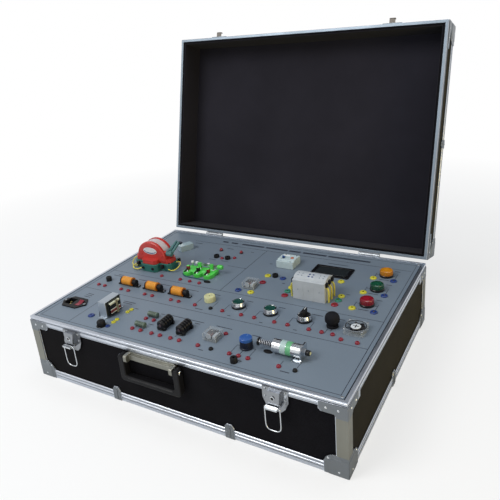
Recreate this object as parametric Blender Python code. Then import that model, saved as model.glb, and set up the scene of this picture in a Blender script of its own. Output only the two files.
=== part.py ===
"""A portable electrical trainer built into a hinged, aluminium-edged carrying case.

The case stands on its underside with the lid open. X runs along the front, Y to the
back and Z up; the origin is the middle of the underside. All sizes are in metres.
The lid's pieces are drawn as they lie with the lid shut and hang from an empty on the
hinge line, which turns them open. Every component stands on the control panel at a
place given as a share of the panel's half width and half depth.
"""

import math

import bmesh
import bpy
from mathutils import Matrix, Vector

ORIGIN = (0, 0, 0)
TURN = 2 * math.pi

# Gaps and overruns
CLEAR = 0.0003
OVERRUN = 0.001
MERGE = 0.00001
CHAMFER = 0.0008
SHARP_ANGLE = math.radians(35)

# Case
CASE_WIDTH = 0.690
CASE_DEPTH = 0.514
BASE_HEIGHT = 0.144
LID_HEIGHT = 0.077
LID_OPEN = math.radians(105)
FLOOR = 0.009
LID_TOP_WALL = 0.005
LINING = 0.0012
RIM_WIDTH = 0.006
RIM_BAND = 0.0175
RIM_GROOVE_HEIGHT = 0.0010
RIM_GROOVE_DEPTH = 0.0008
RIM_GROOVE_DROP = 0.0074
EDGE_THICK = 0.0015
EDGE_BAND = 0.0195
EDGE_FLANGE = 0.015
EDGE_FLANGE_THICK = 0.0012
POST_WIDTH = 0.020
BRACKET_LENGTH = 0.047
BRACKET_DEPTH = 0.056
BRACKET_DROP = 0.0085
BRACKET_HEIGHT = 0.0175
CORNER_WIDTH = 0.041
CORNER_HEIGHT = 0.039
CORNER_ROUND = 0.016
TRIM_PROUD = 0.0010
CLIP_WIDTH = 0.019
CLIP_HEIGHT = 0.0306
CLIP_PLACE_SHARE = 0.377

# Hinges
HINGE_PLACE_SHARE = 0.623
HINGE_LENGTH = 0.050
HINGE_KNUCKLE_RADIUS = 0.0042
HINGE_PIN_RADIUS = 0.0018
HINGE_BACK = 0.0054
HINGE_LEAF_THICK = 0.0015
HINGE_LEAF_HEIGHT = 0.028
HINGE_MIDDLE = 0.018

# Latches and catches
LATCH_PLACE_SHARE = 0.655
LATCH_PLATE_WIDTH = 0.046
LATCH_PLATE_DROP = 0.0085
LATCH_PLATE_HEIGHT = 0.0435
LATCH_PLATE_NECK = 0.034
LATCH_PLATE_THICK = 0.0015
LOCK_WIDTH = 0.0225
LOCK_TOP_PROUD = 0.0065
LOCK_BOTTOM_PROUD = 0.0105
LOCK_HEIGHT = 0.021
LOCK_TOP_DROP = 0.0020
KEYHOLE_RADIUS = 0.0019
KEYHOLE_DEPTH = 0.004
LEVER_PIVOT_PROUD = 0.0050
LEVER_PIVOT_DROP = 0.0262
LEVER_LENGTH = 0.0135
LEVER_WIDTH = 0.0213
LEVER_THICK = 0.0014
LEVER_BARREL = 0.0021
LEVER_PIN = 0.0010
BAIL_OFFSET = 0.0072
BAIL_LENGTH = 0.0464
BAIL_WIDTH = 0.0276
BAIL_WIRE = 0.0011
BAIL_ROUND = 0.0095
CATCH_WIDTH = 0.043
CATCH_HEIGHT = 0.024
CATCH_THICK = 0.0015
CATCH_RISE = 0.0005
HOOK_WIDTH = 0.012
HOOK_REACH = 0.0105
HOOK_THICK = 0.0018
HOOK_LIP = 0.0075

# Carrying handle
HANDLE_CENTRE_SHARE = -0.072
HANDLE_BAR_LENGTH = 0.112
HANDLE_BAR_HEIGHT = 0.018
HANDLE_BAR_PROUD = 0.0075
HANDLE_PIVOT_DROP = 0.027
HANDLE_PIVOT_PROUD = 0.0085
HANDLE_PIN = 0.0028
HANDLE_PIN_LENGTH = 0.009
HANDLE_BOSS = 0.0072
HANDLE_LEG_WIDTH = 0.013
HANDLE_DROP = 0.047
HANDLE_GRIP_HEIGHT = 0.017
HANDLE_THICK = 0.011
HANDLE_ROUND = 0.012
HANDLE_GRIP_BOW = 0.004

# Panel
PANEL_DROP = 0.0015
PANEL_THICK = 0.002
PANEL_GAP = 0.0006
BATTEN = 0.0043
SCREW_RADIUS = 0.0034
SCREW_HEIGHT = 0.0010
SCREW_INSET = 0.0058
SOCKET_RADIUS = 0.0061
SMALL_SOCKET_RADIUS = 0.0046
SOCKET_HEIGHT = 0.0030
SOCKET_BORE = 0.0022
SOCKET_FLOOR = 0.0006
SOCKET_SIDES = 8

# Small parts fixed on the panel
CAP_RADIUS = 0.0065
CAP_HEIGHT = 0.0100
LOW_CAP_HEIGHT = 0.0070
LAMP_DOT_RADIUS = 0.0043
LAMP_DOT_HEIGHT = 0.0055
GROMMET_LENGTH = 0.017
GROMMET_WIDTH = 0.009
GROMMET_HEIGHT = 0.0035
RESISTOR_RADIUS = 0.0055
RESISTOR_LENGTH = 0.024
RESISTOR_HEIGHT = 0.0060
RESISTOR_SADDLE = 0.007
BLOCK_WIDTH = 0.020
BLOCK_LENGTH = 0.036
BLOCK_HEIGHT = 0.014
BLOCK_TURN = math.radians(-27)
COLLAR_RADIUS = 0.0110
COLLAR_HEIGHT = 0.0048
SMALL_SIDES = 10

# Coils on bobbins
COIL_LENGTH = 0.032
COIL_RADIUS = 0.0092
COIL_HEIGHT = 0.0098
COIL_FLANGE = 0.0105
COIL_FLANGE_THICK = 0.0024
COIL_FOOT_LENGTH = 0.061
COIL_FOOT_WIDTH = 0.012
COIL_FOOT_HEIGHT = 0.0035
COIL_BLOCK_LENGTH = 0.013
COIL_BLOCK_HEIGHT = 0.008
COIL_SIDES = 16

# Finned chokes
CHOKE_LENGTH = 0.036
CHOKE_CORE = 0.0082
CHOKE_FIN = 0.0108
CHOKE_FINS = 5
CHOKE_HEIGHT = 0.0112
CHOKE_FOOT_LENGTH = 0.043
CHOKE_FOOT_WIDTH = 0.014
CHOKE_FOOT_HEIGHT = 0.0030
CHOKE_SIDES = 12

# Buzzer
BUZZER_RADIUS = 0.0118
BUZZER_HEIGHT = 0.0120
BUZZER_HOLE = 0.0022
BUZZER_SIDES = 16

# 22 mm push buttons, selector and lamps
SEAT_RADIUS = 0.0147
SEAT_HEIGHT = 0.0044
BEZEL_RADIUS = 0.0142
BEZEL_TOP_RADIUS = 0.0126
BEZEL_HEIGHT = 0.0118
BEZEL_BORE = 0.0107
NECK_RADIUS = 0.0108
NECK_DEPTH = 0.022
NECK_FLOOR = 0.006
BUTTON_GAP = 0.0004
BUTTON_RISE = 0.0006
BUTTON_LENGTH = 0.012
KNOB_BAR_WIDTH = 0.0075
KNOB_BAR_HEIGHT = 0.0105
KNOB_BAR_LENGTH = 0.021
LENS_RADIUS = 0.0134
LENS_HEIGHT = 0.0105
LENS_CROWN = 0.0018
ROUND_SIDES = 16

# Mushroom button
MUSHROOM_NECK = 0.0080
MUSHROOM_RADIUS = 0.0137
MUSHROOM_TOP = 0.0088
MUSHROOM_UNDER = 0.0100
MUSHROOM_WAIST = 0.0190
MUSHROOM_HEIGHT = 0.0280
MUSHROOM_STEM = 0.014

# Fan
FAN_SIDE = 0.040
FAN_ROUND = 0.006
FAN_HEIGHT = 0.010
FAN_BORE = 0.0186
FAN_HOLE = 0.0017
FAN_HOLE_SPACING = 0.032
FAN_ARM_WIDTH = 0.0026
FAN_ARM_HEIGHT = 0.0016
FAN_BOSS = 0.0085
FAN_HUB = 0.0105
FAN_HUB_DROP = 0.0004
FAN_BLADES = 7
FAN_BLADE_GAP = 0.0009
FAN_BLADE_THICK = 0.0010
FAN_BLADE_TILT = math.radians(38)
FAN_BLADE_WIDTH = 0.0078

# Display
DISPLAY_WIDTH = 0.0885
DISPLAY_DEPTH = 0.050
DISPLAY_HEIGHT = 0.0022
DISPLAY_FRAME = 0.0062
DISPLAY_RECESS = 0.0008

# Breaker
BREAKER_WIDTH = 0.0415
BREAKER_DEPTH = 0.043
BREAKER_HEIGHT = 0.0130
BREAKER_STEP = 0.0055
BREAKER_TOP_DEPTH = 0.029
BREAKER_SLOT_WIDTH = 0.0062
BREAKER_SLOT_LENGTH = 0.0150
BREAKER_SLOT_DEPTH = 0.0060
TOGGLE_WIDTH = 0.0052
TOGGLE_HUB = 0.0026
TOGGLE_HEIGHT = 0.0085
TOGGLE_THICK = 0.0030
TOGGLE_TILT = math.radians(28)
TEST_SIDE = 0.0062
TEST_DEPTH = 0.0060
TEST_RISE = 0.0016
TEST_TRAVEL = 0.0012

# Contactor
CONTACTOR_WIDTH = 0.069
CONTACTOR_DEPTH = 0.045
CONTACTOR_HEIGHT = 0.0425
CONTACTOR_CROWN = 0.0065
CONTACTOR_MODULES = 3
CONTACTOR_GROOVE = 0.0008
CONTACTOR_TOP_SHARE = 0.60
LEAD_RADIUS = 0.0015
LEAD_BULGE = 0.0055
LEAD_TOP_SHARE = 0.82
LEAD_COUNT = 3
TERMINAL_SIZE = 0.0060

# Relays
RELAY_SIDE = 0.0275
RELAY_HEIGHT = 0.0150
RELAY_BASE = 0.0030
RELAY_LIP = 0.0010
RELAY_ROUND = 0.0020

# Potentiometer knob
POT_RADIUS = 0.0115
POT_SKIRT = 0.0122
POT_HEIGHT = 0.0215
POT_STEM = 0.0030
POT_STEM_DEPTH = 0.009
POT_SIDES = 16

# Solenoid
SOLENOID_RADIUS = 0.0120
SOLENOID_LENGTH = 0.0535
SOLENOID_HEIGHT = 0.0136
SOLENOID_BORE = 0.0040
SOLENOID_CHEEK = 0.0024
SOLENOID_BAND = 0.0004
SOLENOID_FOOT_LENGTH = 0.018
SOLENOID_FOOT_WIDTH = 0.032
SOLENOID_BRACKET = 0.0015
SOLENOID_BRACKET_WIDTH = 0.027
SOLENOID_NUT = 0.0070
SOLENOID_NUT_HEIGHT = 0.0045
PLUNGER_GAP = 0.0004
PLUNGER_DISC = 0.0073
PLUNGER_DISC_THICK = 0.0024
PLUNGER_TAIL = 0.007
SPRING_LENGTH = 0.029
SPRING_RADIUS = 0.0056
SPRING_WIRE = 0.0006
SPRING_TURNS = 8
SPRING_STEPS = 9

# Transformer
TRANSFORMER_WIDTH = 0.019
TRANSFORMER_DEPTH = 0.044
TRANSFORMER_HEIGHT = 0.035
TRANSFORMER_SHEET = 0.0012
TRANSFORMER_FOOT = 0.0070
CORE_STACK = 0.011
BOBBIN_DEPTH = 0.024
BOBBIN_PROUD = 0.0030
BOBBIN_FLANGE = 0.0018

# Fuse holder
FUSE_RADIUS = 0.0082
FUSE_HEIGHT = 0.0100
FUSE_SEAT = 0.0015
FUSE_SLOT = 0.0016
FUSE_STEM = 0.0058
FUSE_STEM_DEPTH = 0.014
FUSE_BORE_GAP = 0.0005

# Mains inlet
INLET_LENGTH = 0.066
INLET_WIDTH = 0.040
INLET_POINT = 0.014
INLET_FLANGE = 0.0025
INLET_BODY_LENGTH = 0.047
INLET_BODY_WIDTH = 0.028
INLET_BODY_DEPTH = 0.024
INLET_RECESS_LENGTH = 0.0205
INLET_RECESS_WIDTH = 0.0225
INLET_RECESS_DEPTH = 0.016
INLET_PIN = 0.0018
INLET_PIN_HEIGHT = 0.010
INLET_PIN_PITCH = 0.007
ROCKER_LENGTH = 0.0115
ROCKER_WIDTH = 0.0200
ROCKER_RISE = 0.0022
ROCKER_DEPTH = 0.0070
ROCKER_TILT = math.radians(9)
ROCKER_GAP = 0.0007
ROCKER_SHIFT = 0.0145

# Generator
GENERATOR_LENGTH = 0.108
GENERATOR_ARM_DEPTH = 0.038
GENERATOR_FRONT_WIDTH = 0.049
GENERATOR_DEPTH = 0.070
GENERATOR_FOOT = 0.018
GENERATOR_FLANGE = 0.010
GENERATOR_INSET = 0.003
GENERATOR_ROUND = 0.006
DRUM_RADIUS = 0.0395
DRUM_RIB = 0.0020
DRUM_RIB_WIDTH = 0.0075
DRUM_LENGTH = 0.036
DRUM_HEIGHT = 0.0275
DRUM_SIDES = 32
DRUM_OVAL_WIDTH = 0.040
DRUM_OVAL_HEIGHT = 0.017
DRUM_OVAL_RISE = 0.0006
ARM_BOSS = 0.0060
ARM_BOSS_HEIGHT = 0.0435
ARM_LENGTH = 0.0415
ARM_RISE = math.radians(17)
ARM_WIDTH = 0.0085
ARM_THICK = 0.0045
ARM_PIN = 0.0032
ARM_PIN_LENGTH = 0.015

# Knife switch
KNIFE_WIDTH = 0.078
KNIFE_DEPTH = 0.030
KNIFE_HEIGHT = 0.008
KNIFE_LOBE = 0.0115
KNIFE_POST = 0.0040
KNIFE_POST_HEIGHT = 0.011
KNIFE_CLIP_WIDTH = 0.0085
KNIFE_CLIP_THICK = 0.0012
KNIFE_CLIP_HEIGHT = 0.014
KNIFE_BLADE_THICK = 0.0018
KNIFE_BLADE_HEIGHT = 0.0060
KNIFE_BLADE_LENGTH = 0.050
KNIFE_HUB = 0.0038
KNIFE_KNOB = 0.0050
KNIFE_KNOB_LENGTH = 0.013
KNIFE_GAP = 0.0004
KNIFE_PIVOT_SHARE = -0.22
KNIFE_JAW_SHARE = 0.62
KNIFE_BACK_SHARE = 0.55

# Power supply inside the base
SUPPLY_LENGTH = 0.180
SUPPLY_WIDTH = 0.120
SUPPLY_BOARD = 0.0016
SUPPLY_PILLAR = 0.004
SUPPLY_PILLAR_HEIGHT = 0.010
SUPPLY_BLOCK_LENGTH = 0.066
SUPPLY_BLOCK_WIDTH = 0.056
SUPPLY_BLOCK_HEIGHT = 0.048
SUPPLY_CAN_RADIUS = 0.011
SUPPLY_CAN_HEIGHT = 0.032
SUPPLY_INSET = 0.012

# Places on the panel, as shares of its half width and half depth
SOCKET_SHARES = (
    # Front row
    (-0.650, -0.819), (-0.303, -0.689), (-0.244, -0.689),
    (-0.306, -0.850), (-0.246, -0.850), (-0.166, -0.850), (-0.107, -0.850),
    (-0.034, -0.850), (0.025, -0.850), (0.148, -0.851), (0.232, -0.853),
    (0.229, -0.641), (0.344, -0.852), (0.398, -0.852), (0.453, -0.852),
    (0.626, -0.852), (0.713, -0.852),
    # Middle row
    (-0.910, -0.361), (-0.856, -0.361), (-0.710, -0.361), (-0.649, -0.361),
    (-0.510, -0.361), (-0.449, -0.361), (-0.300, -0.361), (-0.240, -0.361),
    (-0.118, -0.361), (-0.004, -0.361), (0.079, -0.361), (0.207, -0.361),
    (0.293, -0.361), (0.421, -0.361), (0.503, -0.361), (0.629, -0.361),
    (0.703, -0.361), (0.765, -0.361), (0.821, -0.399), (0.909, -0.399),
    # Back rows
    (-0.570, -0.012), (-0.413, -0.012), (-0.336, -0.012), (-0.259, -0.012),
    (-0.323, 0.519), (-0.238, 0.566), (0.132, 0.199), (0.035, -0.003),
    (0.124, 0.000), (0.120, 0.331), (0.231, 0.327), (0.341, 0.051),
    (0.335, 0.125), (0.337, 0.200), (0.662, 0.050), (0.664, 0.126),
    (0.664, 0.199), (0.597, 0.442), (0.767, 0.600), (0.767, 0.324),
    (0.767, 0.050), (0.895, 0.597), (0.895, 0.324), (0.895, 0.046),
)
SMALL_SOCKET_SHARES = ((-0.462, -0.897), (-0.461, -0.833), (-0.462, -0.790),
                       (-0.462, -0.661), (-0.459, -0.618))
TALL_CAP_SHARES = ((-0.886, -0.258), (0.402, -0.920))
LOW_CAP_SHARES = ((-0.375, 0.532), (-0.281, 0.532), (0.171, 0.341))
LAMP_DOT_SHARES = ((-0.405, 0.686), (-0.236, 0.694))
GROMMET_SHARES = ((0.520, -0.727), (-0.220, 0.036))
RESISTOR_SHARES = ((-0.273, -0.640), (-0.273, -0.800))
BLOCK_SHARE = (-0.681, 0.594)
COIL_SHARES = {"coil_left": (-0.700, -0.262), "coil_middle": (-0.492, -0.262),
               "coil_right": (-0.286, -0.262)}
CHOKE_SHARES = {"choke_left": (-0.136, -0.720), "choke_right": (-0.005, -0.720)}
RELAY_SHARES = {"relay_front": (0.185, -0.720), "relay_back": (0.086, 0.098)}
BUZZER_SHARE = (-0.062, -0.246)
BUTTON_SHARES = {"button_left": (0.142, -0.246), "button_right": (0.355, -0.246)}
SELECTOR_SHARE = (0.567, -0.246)
MUSHROOM_SHARE = (0.734, -0.252)
FAN_SHARE = (0.864, -0.246)
LAMP_SHARES = {"lamp_orange": (0.833, 0.683), "lamp_green": (0.833, 0.411),
               "lamp_red": (0.833, 0.142)}
DISPLAY_SHARE = (0.494, 0.595)
BREAKER_SHARE = (0.176, 0.604)
CONTACTOR_SHARE = (0.503, 0.131)
POT_SHARE = (0.398, -0.735)
SOLENOID_SHARE = (0.631, -0.707)
TRANSFORMER_SHARE = (-0.554, -0.719)
FUSE_SHARE = (-0.505, -0.907)
INLET_SHARE = (-0.873, -0.707)
GENERATOR_SHARE = (-0.709, 0.166)
KNIFE_SHARE = (-0.331, 0.178)
SUPPLY_SHARE = (-0.35, 0.20)

# Sizes worked out from those above
HALF_WIDTH = CASE_WIDTH / 2
HALF_DEPTH = CASE_DEPTH / 2
SHELL_HALF_WIDTH = HALF_WIDTH - EDGE_THICK - CLEAR
SHELL_HALF_DEPTH = HALF_DEPTH - EDGE_THICK - CLEAR
RIM_INNER_WIDTH = HALF_WIDTH - RIM_WIDTH
RIM_INNER_DEPTH = HALF_DEPTH - RIM_WIDTH
RIM_BOTTOM = BASE_HEIGHT - RIM_BAND
LID_BOTTOM = BASE_HEIGHT + CLEAR
LID_TOP = BASE_HEIGHT + LID_HEIGHT
LID_RIM_TOP = LID_BOTTOM + RIM_BAND
PANEL_HALF_WIDTH = RIM_INNER_WIDTH - PANEL_GAP
PANEL_HALF_DEPTH = RIM_INNER_DEPTH - PANEL_GAP
PANEL_TOP = BASE_HEIGHT - PANEL_DROP
PANEL_BOTTOM = PANEL_TOP - PANEL_THICK
SEATED = PANEL_TOP + CLEAR
HINGE_Y = HALF_DEPTH + HINGE_BACK
FRONT = -HALF_DEPTH
LATCH_PLATE_TOP = BASE_HEIGHT - LATCH_PLATE_DROP
POST_TOP = BASE_HEIGHT - BRACKET_DROP - BRACKET_HEIGHT - CLEAR


# Shape helpers

def as_object(bm):
    """Close a bmesh into an object of the scene."""
    bmesh.ops.recalc_face_normals(bm, faces=bm.faces)
    mesh = bpy.data.meshes.new("shape")
    bm.to_mesh(mesh)
    bm.free()
    item = bpy.data.objects.new("shape", mesh)
    bpy.context.scene.collection.objects.link(item)
    return item


def placed_on(axis, across, up, along):
    """A point of a drawing whose depth runs along the named axis."""
    if axis == "X":
        return Vector((along, across, up))
    if axis == "Y":
        return Vector((across, along, up))
    return Vector((across, up, along))


def box(low, high):
    """A block between two corners."""
    bm = bmesh.new()
    bmesh.ops.create_cube(bm, size=1)
    size = Vector(high) - Vector(low)
    middle = (Vector(high) + Vector(low)) / 2
    bmesh.ops.transform(bm, matrix=Matrix.Translation(middle) @ Matrix.Diagonal((*size, 1)), verts=bm.verts)
    return as_object(bm)


def plate(outline, low, high, axis="Z"):
    """A flat outline pushed from low to high along an axis."""
    bm = bmesh.new()
    corners = [bm.verts.new(placed_on(axis, across, up, low)) for across, up in outline]
    face = bm.faces.new(corners)
    pushed = bmesh.ops.extrude_face_region(bm, geom=[face])["geom"]
    moved = [item for item in pushed if isinstance(item, bmesh.types.BMVert)]
    bmesh.ops.translate(bm, vec=placed_on(axis, 0, 0, high - low), verts=moved)
    return as_object(bm)


def turned(profile, centre=ORIGIN, axis="Z", sides=ROUND_SIDES, closed=False):
    """A profile of (radius, height) points turned round an axis through the centre."""
    bm = bmesh.new()
    points = [bm.verts.new((radius, 0, height)) for radius, height in profile]
    pairs = list(zip(points, points[1:]))
    if closed:
        pairs.append((points[-1], points[0]))
    edges = [bm.edges.new(pair) for pair in pairs]
    bmesh.ops.spin(bm, geom=points + edges, cent=ORIGIN, axis=(0, 0, 1), angle=TURN, steps=sides)
    bmesh.ops.remove_doubles(bm, verts=bm.verts, dist=MERGE)
    turn = {"X": Matrix.Rotation(TURN / 4, 4, "Y"), "Y": Matrix.Rotation(-TURN / 4, 4, "X"),
            "Z": Matrix.Identity(4)}[axis]
    bmesh.ops.transform(bm, matrix=Matrix.Translation(centre) @ turn, verts=bm.verts)
    return as_object(bm)


def rod(start, length, radius, axis="Z", sides=ROUND_SIDES):
    """A plain cylinder from its start along an axis."""
    return turned(((0, 0), (radius, 0), (radius, length), (0, length)), start, axis, sides)


def tube(points, radius, detail=1):
    """A round wire along points, with closed ends."""
    curve = bpy.data.curves.new("wire", "CURVE")
    curve.dimensions = "3D"
    curve.bevel_depth = radius
    curve.bevel_resolution = detail
    curve.use_fill_caps = True
    spline = curve.splines.new("POLY")
    spline.points.add(len(points) - 1)
    for point, place in zip(spline.points, points):
        point.co = (*place, 1)
    guide = bpy.data.objects.new("wire", curve)
    bpy.context.scene.collection.objects.link(guide)
    graph = bpy.context.evaluated_depsgraph_get()
    mesh = bpy.data.meshes.new_from_object(guide.evaluated_get(graph))
    bpy.data.objects.remove(guide)
    bm = bmesh.new()
    bm.from_mesh(mesh)
    bmesh.ops.remove_doubles(bm, verts=bm.verts, dist=MERGE)
    return as_object(bm)


def rounded(width, depth, radius, centre=(0, 0), steps=3):
    """The outline of a rectangle with round corners."""
    points = []
    for corner in range(4):
        start = corner * TURN / 4
        side_x = 1 if corner in (0, 3) else -1
        side_y = 1 if corner in (0, 1) else -1
        for step in range(steps + 1):
            angle = start + step / steps * TURN / 4
            points.append((centre[0] + side_x * (width / 2 - radius) + radius * math.cos(angle),
                           centre[1] + side_y * (depth / 2 - radius) + radius * math.sin(angle)))
    return points


def rectangle(width, depth, centre=(0, 0)):
    """The outline of a plain rectangle."""
    return [(centre[0] + side_x * width / 2, centre[1] + side_y * depth / 2)
            for side_x, side_y in ((1, 1), (-1, 1), (-1, -1), (1, -1))]


def ellipse(width, height, centre, steps=16):
    """The outline of an ellipse."""
    return [(centre[0] + width / 2 * math.cos(step / steps * TURN),
             centre[1] + height / 2 * math.sin(step / steps * TURN)) for step in range(steps)]


def combine(body, others, operation):
    """Join shapes to a body, or cut them out of it, and drop the shapes."""
    group = bpy.data.collections.new("operands")
    for other in others:
        group.objects.link(other)
    modifier = body.modifiers.new(operation.title(), "BOOLEAN")
    modifier.operation = operation
    modifier.operand_type = "COLLECTION"
    modifier.collection = group
    modifier.solver = "EXACT"
    graph = bpy.context.evaluated_depsgraph_get()
    body.data = bpy.data.meshes.new_from_object(body.evaluated_get(graph))
    body.modifiers.clear()
    for other in others:
        bpy.data.objects.remove(other)
    bpy.data.collections.remove(group)
    return body


def join(body, *others):
    """The union of a body and more shapes."""
    for other in others:
        combine(body, [other], "UNION")
    return body


def join_all(body, others):
    """The union of a body and many shapes that don't touch each other."""
    return combine(body, list(others), "UNION")


def cut(body, *others):
    """A body less each of the shapes."""
    for other in others:
        combine(body, [other], "DIFFERENCE")
    return body


def cut_all(body, others):
    """A body less many shapes that don't touch each other."""
    return combine(body, list(others), "DIFFERENCE")


def rotated(item, angle, axis, centre):
    """A shape turned about an axis through a point."""
    move = Matrix.Translation(centre) @ Matrix.Rotation(angle, 4, axis) @ Matrix.Translation(-Vector(centre))
    item.data.transform(move)
    return item


def copied(item):
    """A second object with the same shape."""
    twin = bpy.data.objects.new("shape", item.data.copy())
    bpy.context.scene.collection.objects.link(twin)
    return twin


def mirrored_x(item):
    """A copy on the other side of the middle."""
    twin = copied(item)
    bm = bmesh.new()
    bm.from_mesh(twin.data)
    bmesh.ops.transform(bm, matrix=Matrix.Diagonal((-1, 1, 1, 1)), verts=bm.verts)
    bmesh.ops.reverse_faces(bm, faces=bm.faces)
    bm.to_mesh(twin.data)
    bm.free()
    return twin


def on_panel(share, height=0):
    """The point of the panel at a pair of shares, at a height over its face."""
    return Vector((share[0] * PANEL_HALF_WIDTH, share[1] * PANEL_HALF_DEPTH, SEATED + height))


# Materials and naming

def material(name, colour, roughness, metallic=0.0, transmission=0.0):
    """A Principled material."""
    made = bpy.data.materials.new(name)
    made.use_nodes = True
    shader = made.node_tree.nodes["Principled BSDF"]
    shader.inputs["Base Color"].default_value = (*colour, 1)
    shader.inputs["Roughness"].default_value = roughness
    shader.inputs["Metallic"].default_value = metallic
    shader.inputs["Transmission Weight"].default_value = transmission
    made.diffuse_color = (*colour, 1)
    return made


def named(item, name, finish, pivot=ORIGIN, parent=None):
    """Give a shape its name, its finish, its origin and its parent."""
    item.name = name
    item.data.name = name
    item.data.transform(Matrix.Translation(-Vector(pivot)))
    item.location = pivot
    item.data.materials.clear()
    item.data.materials.append(finish)
    item.data.shade_smooth()
    item.data.set_sharp_from_angle(angle=SHARP_ANGLE)
    if parent:
        item.parent = parent
        item.location = Vector(pivot) - Vector((0, HINGE_Y, BASE_HEIGHT))
    return item


# Case pieces

def ring(outer_x, outer_y, inner_x, inner_y, low, high):
    """A rectangular frame between two heights."""
    frame = box((-outer_x, -outer_y, low), (outer_x, outer_y, high))
    hole = box((-inner_x, -inner_y, low - OVERRUN), (inner_x, inner_y, high + OVERRUN))
    return cut(frame, hole)


def build_base_shell(finish):
    """The open wooden box: its wall's inner part rises past the rim to carry the panel."""
    outer_x, outer_y = SHELL_HALF_WIDTH, SHELL_HALF_DEPTH
    collar_x, collar_y = RIM_INNER_WIDTH - CLEAR, RIM_INNER_DEPTH - CLEAR
    shell = box((-outer_x, -outer_y, 0), (outer_x, outer_y, RIM_BOTTOM - CLEAR))
    collar = box((-collar_x, -collar_y, FLOOR), (collar_x, collar_y, PANEL_BOTTOM - CLEAR))
    join(shell, collar)
    inner_x, inner_y = collar_x - BATTEN, collar_y - BATTEN
    bay = box((-inner_x, -inner_y, FLOOR), (inner_x, inner_y, BASE_HEIGHT))
    cut(shell, bay)
    rebate_x = outer_x + EDGE_THICK - EDGE_FLANGE
    rebate_y = outer_y + EDGE_THICK - EDGE_FLANGE
    rebate = ring(outer_x + OVERRUN, outer_y + OVERRUN, rebate_x, rebate_y, -OVERRUN,
                  EDGE_FLANGE_THICK + CLEAR)
    cut(shell, rebate)
    return named(shell, "base_shell", finish)


def groove_cutter(height):
    """A shallow line round the outside of a rim."""
    inner_x, inner_y = HALF_WIDTH - RIM_GROOVE_DEPTH, HALF_DEPTH - RIM_GROOVE_DEPTH
    low = height - RIM_GROOVE_HEIGHT / 2
    high = height + RIM_GROOVE_HEIGHT / 2
    return ring(HALF_WIDTH + OVERRUN, HALF_DEPTH + OVERRUN, inner_x, inner_y, low, high)


def corner_bracket(low, high):
    """One sheet-metal angle that wraps a case corner, with its rivets."""
    reach_x = HALF_WIDTH - BRACKET_LENGTH
    reach_y = HALF_DEPTH - BRACKET_DEPTH
    front = plate([(reach_x, high), (reach_x, low + CORNER_ROUND / 4), (reach_x + CORNER_ROUND / 4, low),
                   (HALF_WIDTH + TRIM_PROUD, low), (HALF_WIDTH + TRIM_PROUD, high)],
                  -HALF_DEPTH - TRIM_PROUD, -HALF_DEPTH + RIM_WIDTH / 2, "Y")
    side = box((HALF_WIDTH - RIM_WIDTH / 2, -HALF_DEPTH - TRIM_PROUD, low), (HALF_WIDTH + TRIM_PROUD,
            -reach_y, high))
    return join(front, side)


def build_rim(name, finish, low, high, groove, bracket_low, bracket_high, extras=(), parent=None):
    """An aluminium rim with its groove and the four brackets that tie its corners."""
    rim = ring(HALF_WIDTH, HALF_DEPTH, RIM_INNER_WIDTH, RIM_INNER_DEPTH, low, high)
    cut(rim, groove_cutter(groove))
    for turn in range(4):
        shape = corner_bracket(bracket_low, bracket_high)
        hollow = box((-SHELL_HALF_WIDTH - 2 * CLEAR, -SHELL_HALF_DEPTH - 2 * CLEAR, min(bracket_low,
                low) - OVERRUN), (SHELL_HALF_WIDTH + 2 * CLEAR, SHELL_HALF_DEPTH + 2 * CLEAR,
                                  low if bracket_low < low else bracket_low))
        top_hollow = box((-SHELL_HALF_WIDTH - 2 * CLEAR, -SHELL_HALF_DEPTH - 2 * CLEAR,
                          high if bracket_high > high else bracket_high), (SHELL_HALF_WIDTH + 2 * CLEAR,
                SHELL_HALF_DEPTH + 2 * CLEAR, bracket_high + 2 * OVERRUN))
        cut(shape, hollow, top_hollow)
        if turn in (1, 3):
            twin = mirrored_x(shape)
            bpy.data.objects.remove(shape)
            shape = twin
        if turn in (2, 3):
            rotated(shape, math.pi, "Z", ORIGIN)
        join(rim, shape)
    for extra in extras:
        join(rim, extra)
    return named(rim, name, finish, parent=parent)


def edging_corner(low, high, outline_high):
    """The rounded three-way cap of one case corner, on its front and side."""
    reach_x = HALF_WIDTH - CORNER_WIDTH
    reach_y = HALF_DEPTH - CORNER_WIDTH
    cap_x, cap_y = HALF_WIDTH + TRIM_PROUD, HALF_DEPTH + TRIM_PROUD
    up = high if outline_high else low
    down = low if outline_high else high
    lean = CORNER_ROUND if outline_high else -CORNER_ROUND
    front = plate([(reach_x, down), (cap_x, down), (cap_x, up), (reach_x + CORNER_ROUND, up), (reach_x,
            up - lean)], -cap_y, -SHELL_HALF_DEPTH - CLEAR, "Y")
    side = plate([(-reach_y, down), (-cap_y, down), (-cap_y, up), (-reach_y - CORNER_ROUND, up),
                  (-reach_y, up - lean)], SHELL_HALF_WIDTH + CLEAR, cap_x, "X")
    return join(front, side)


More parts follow.
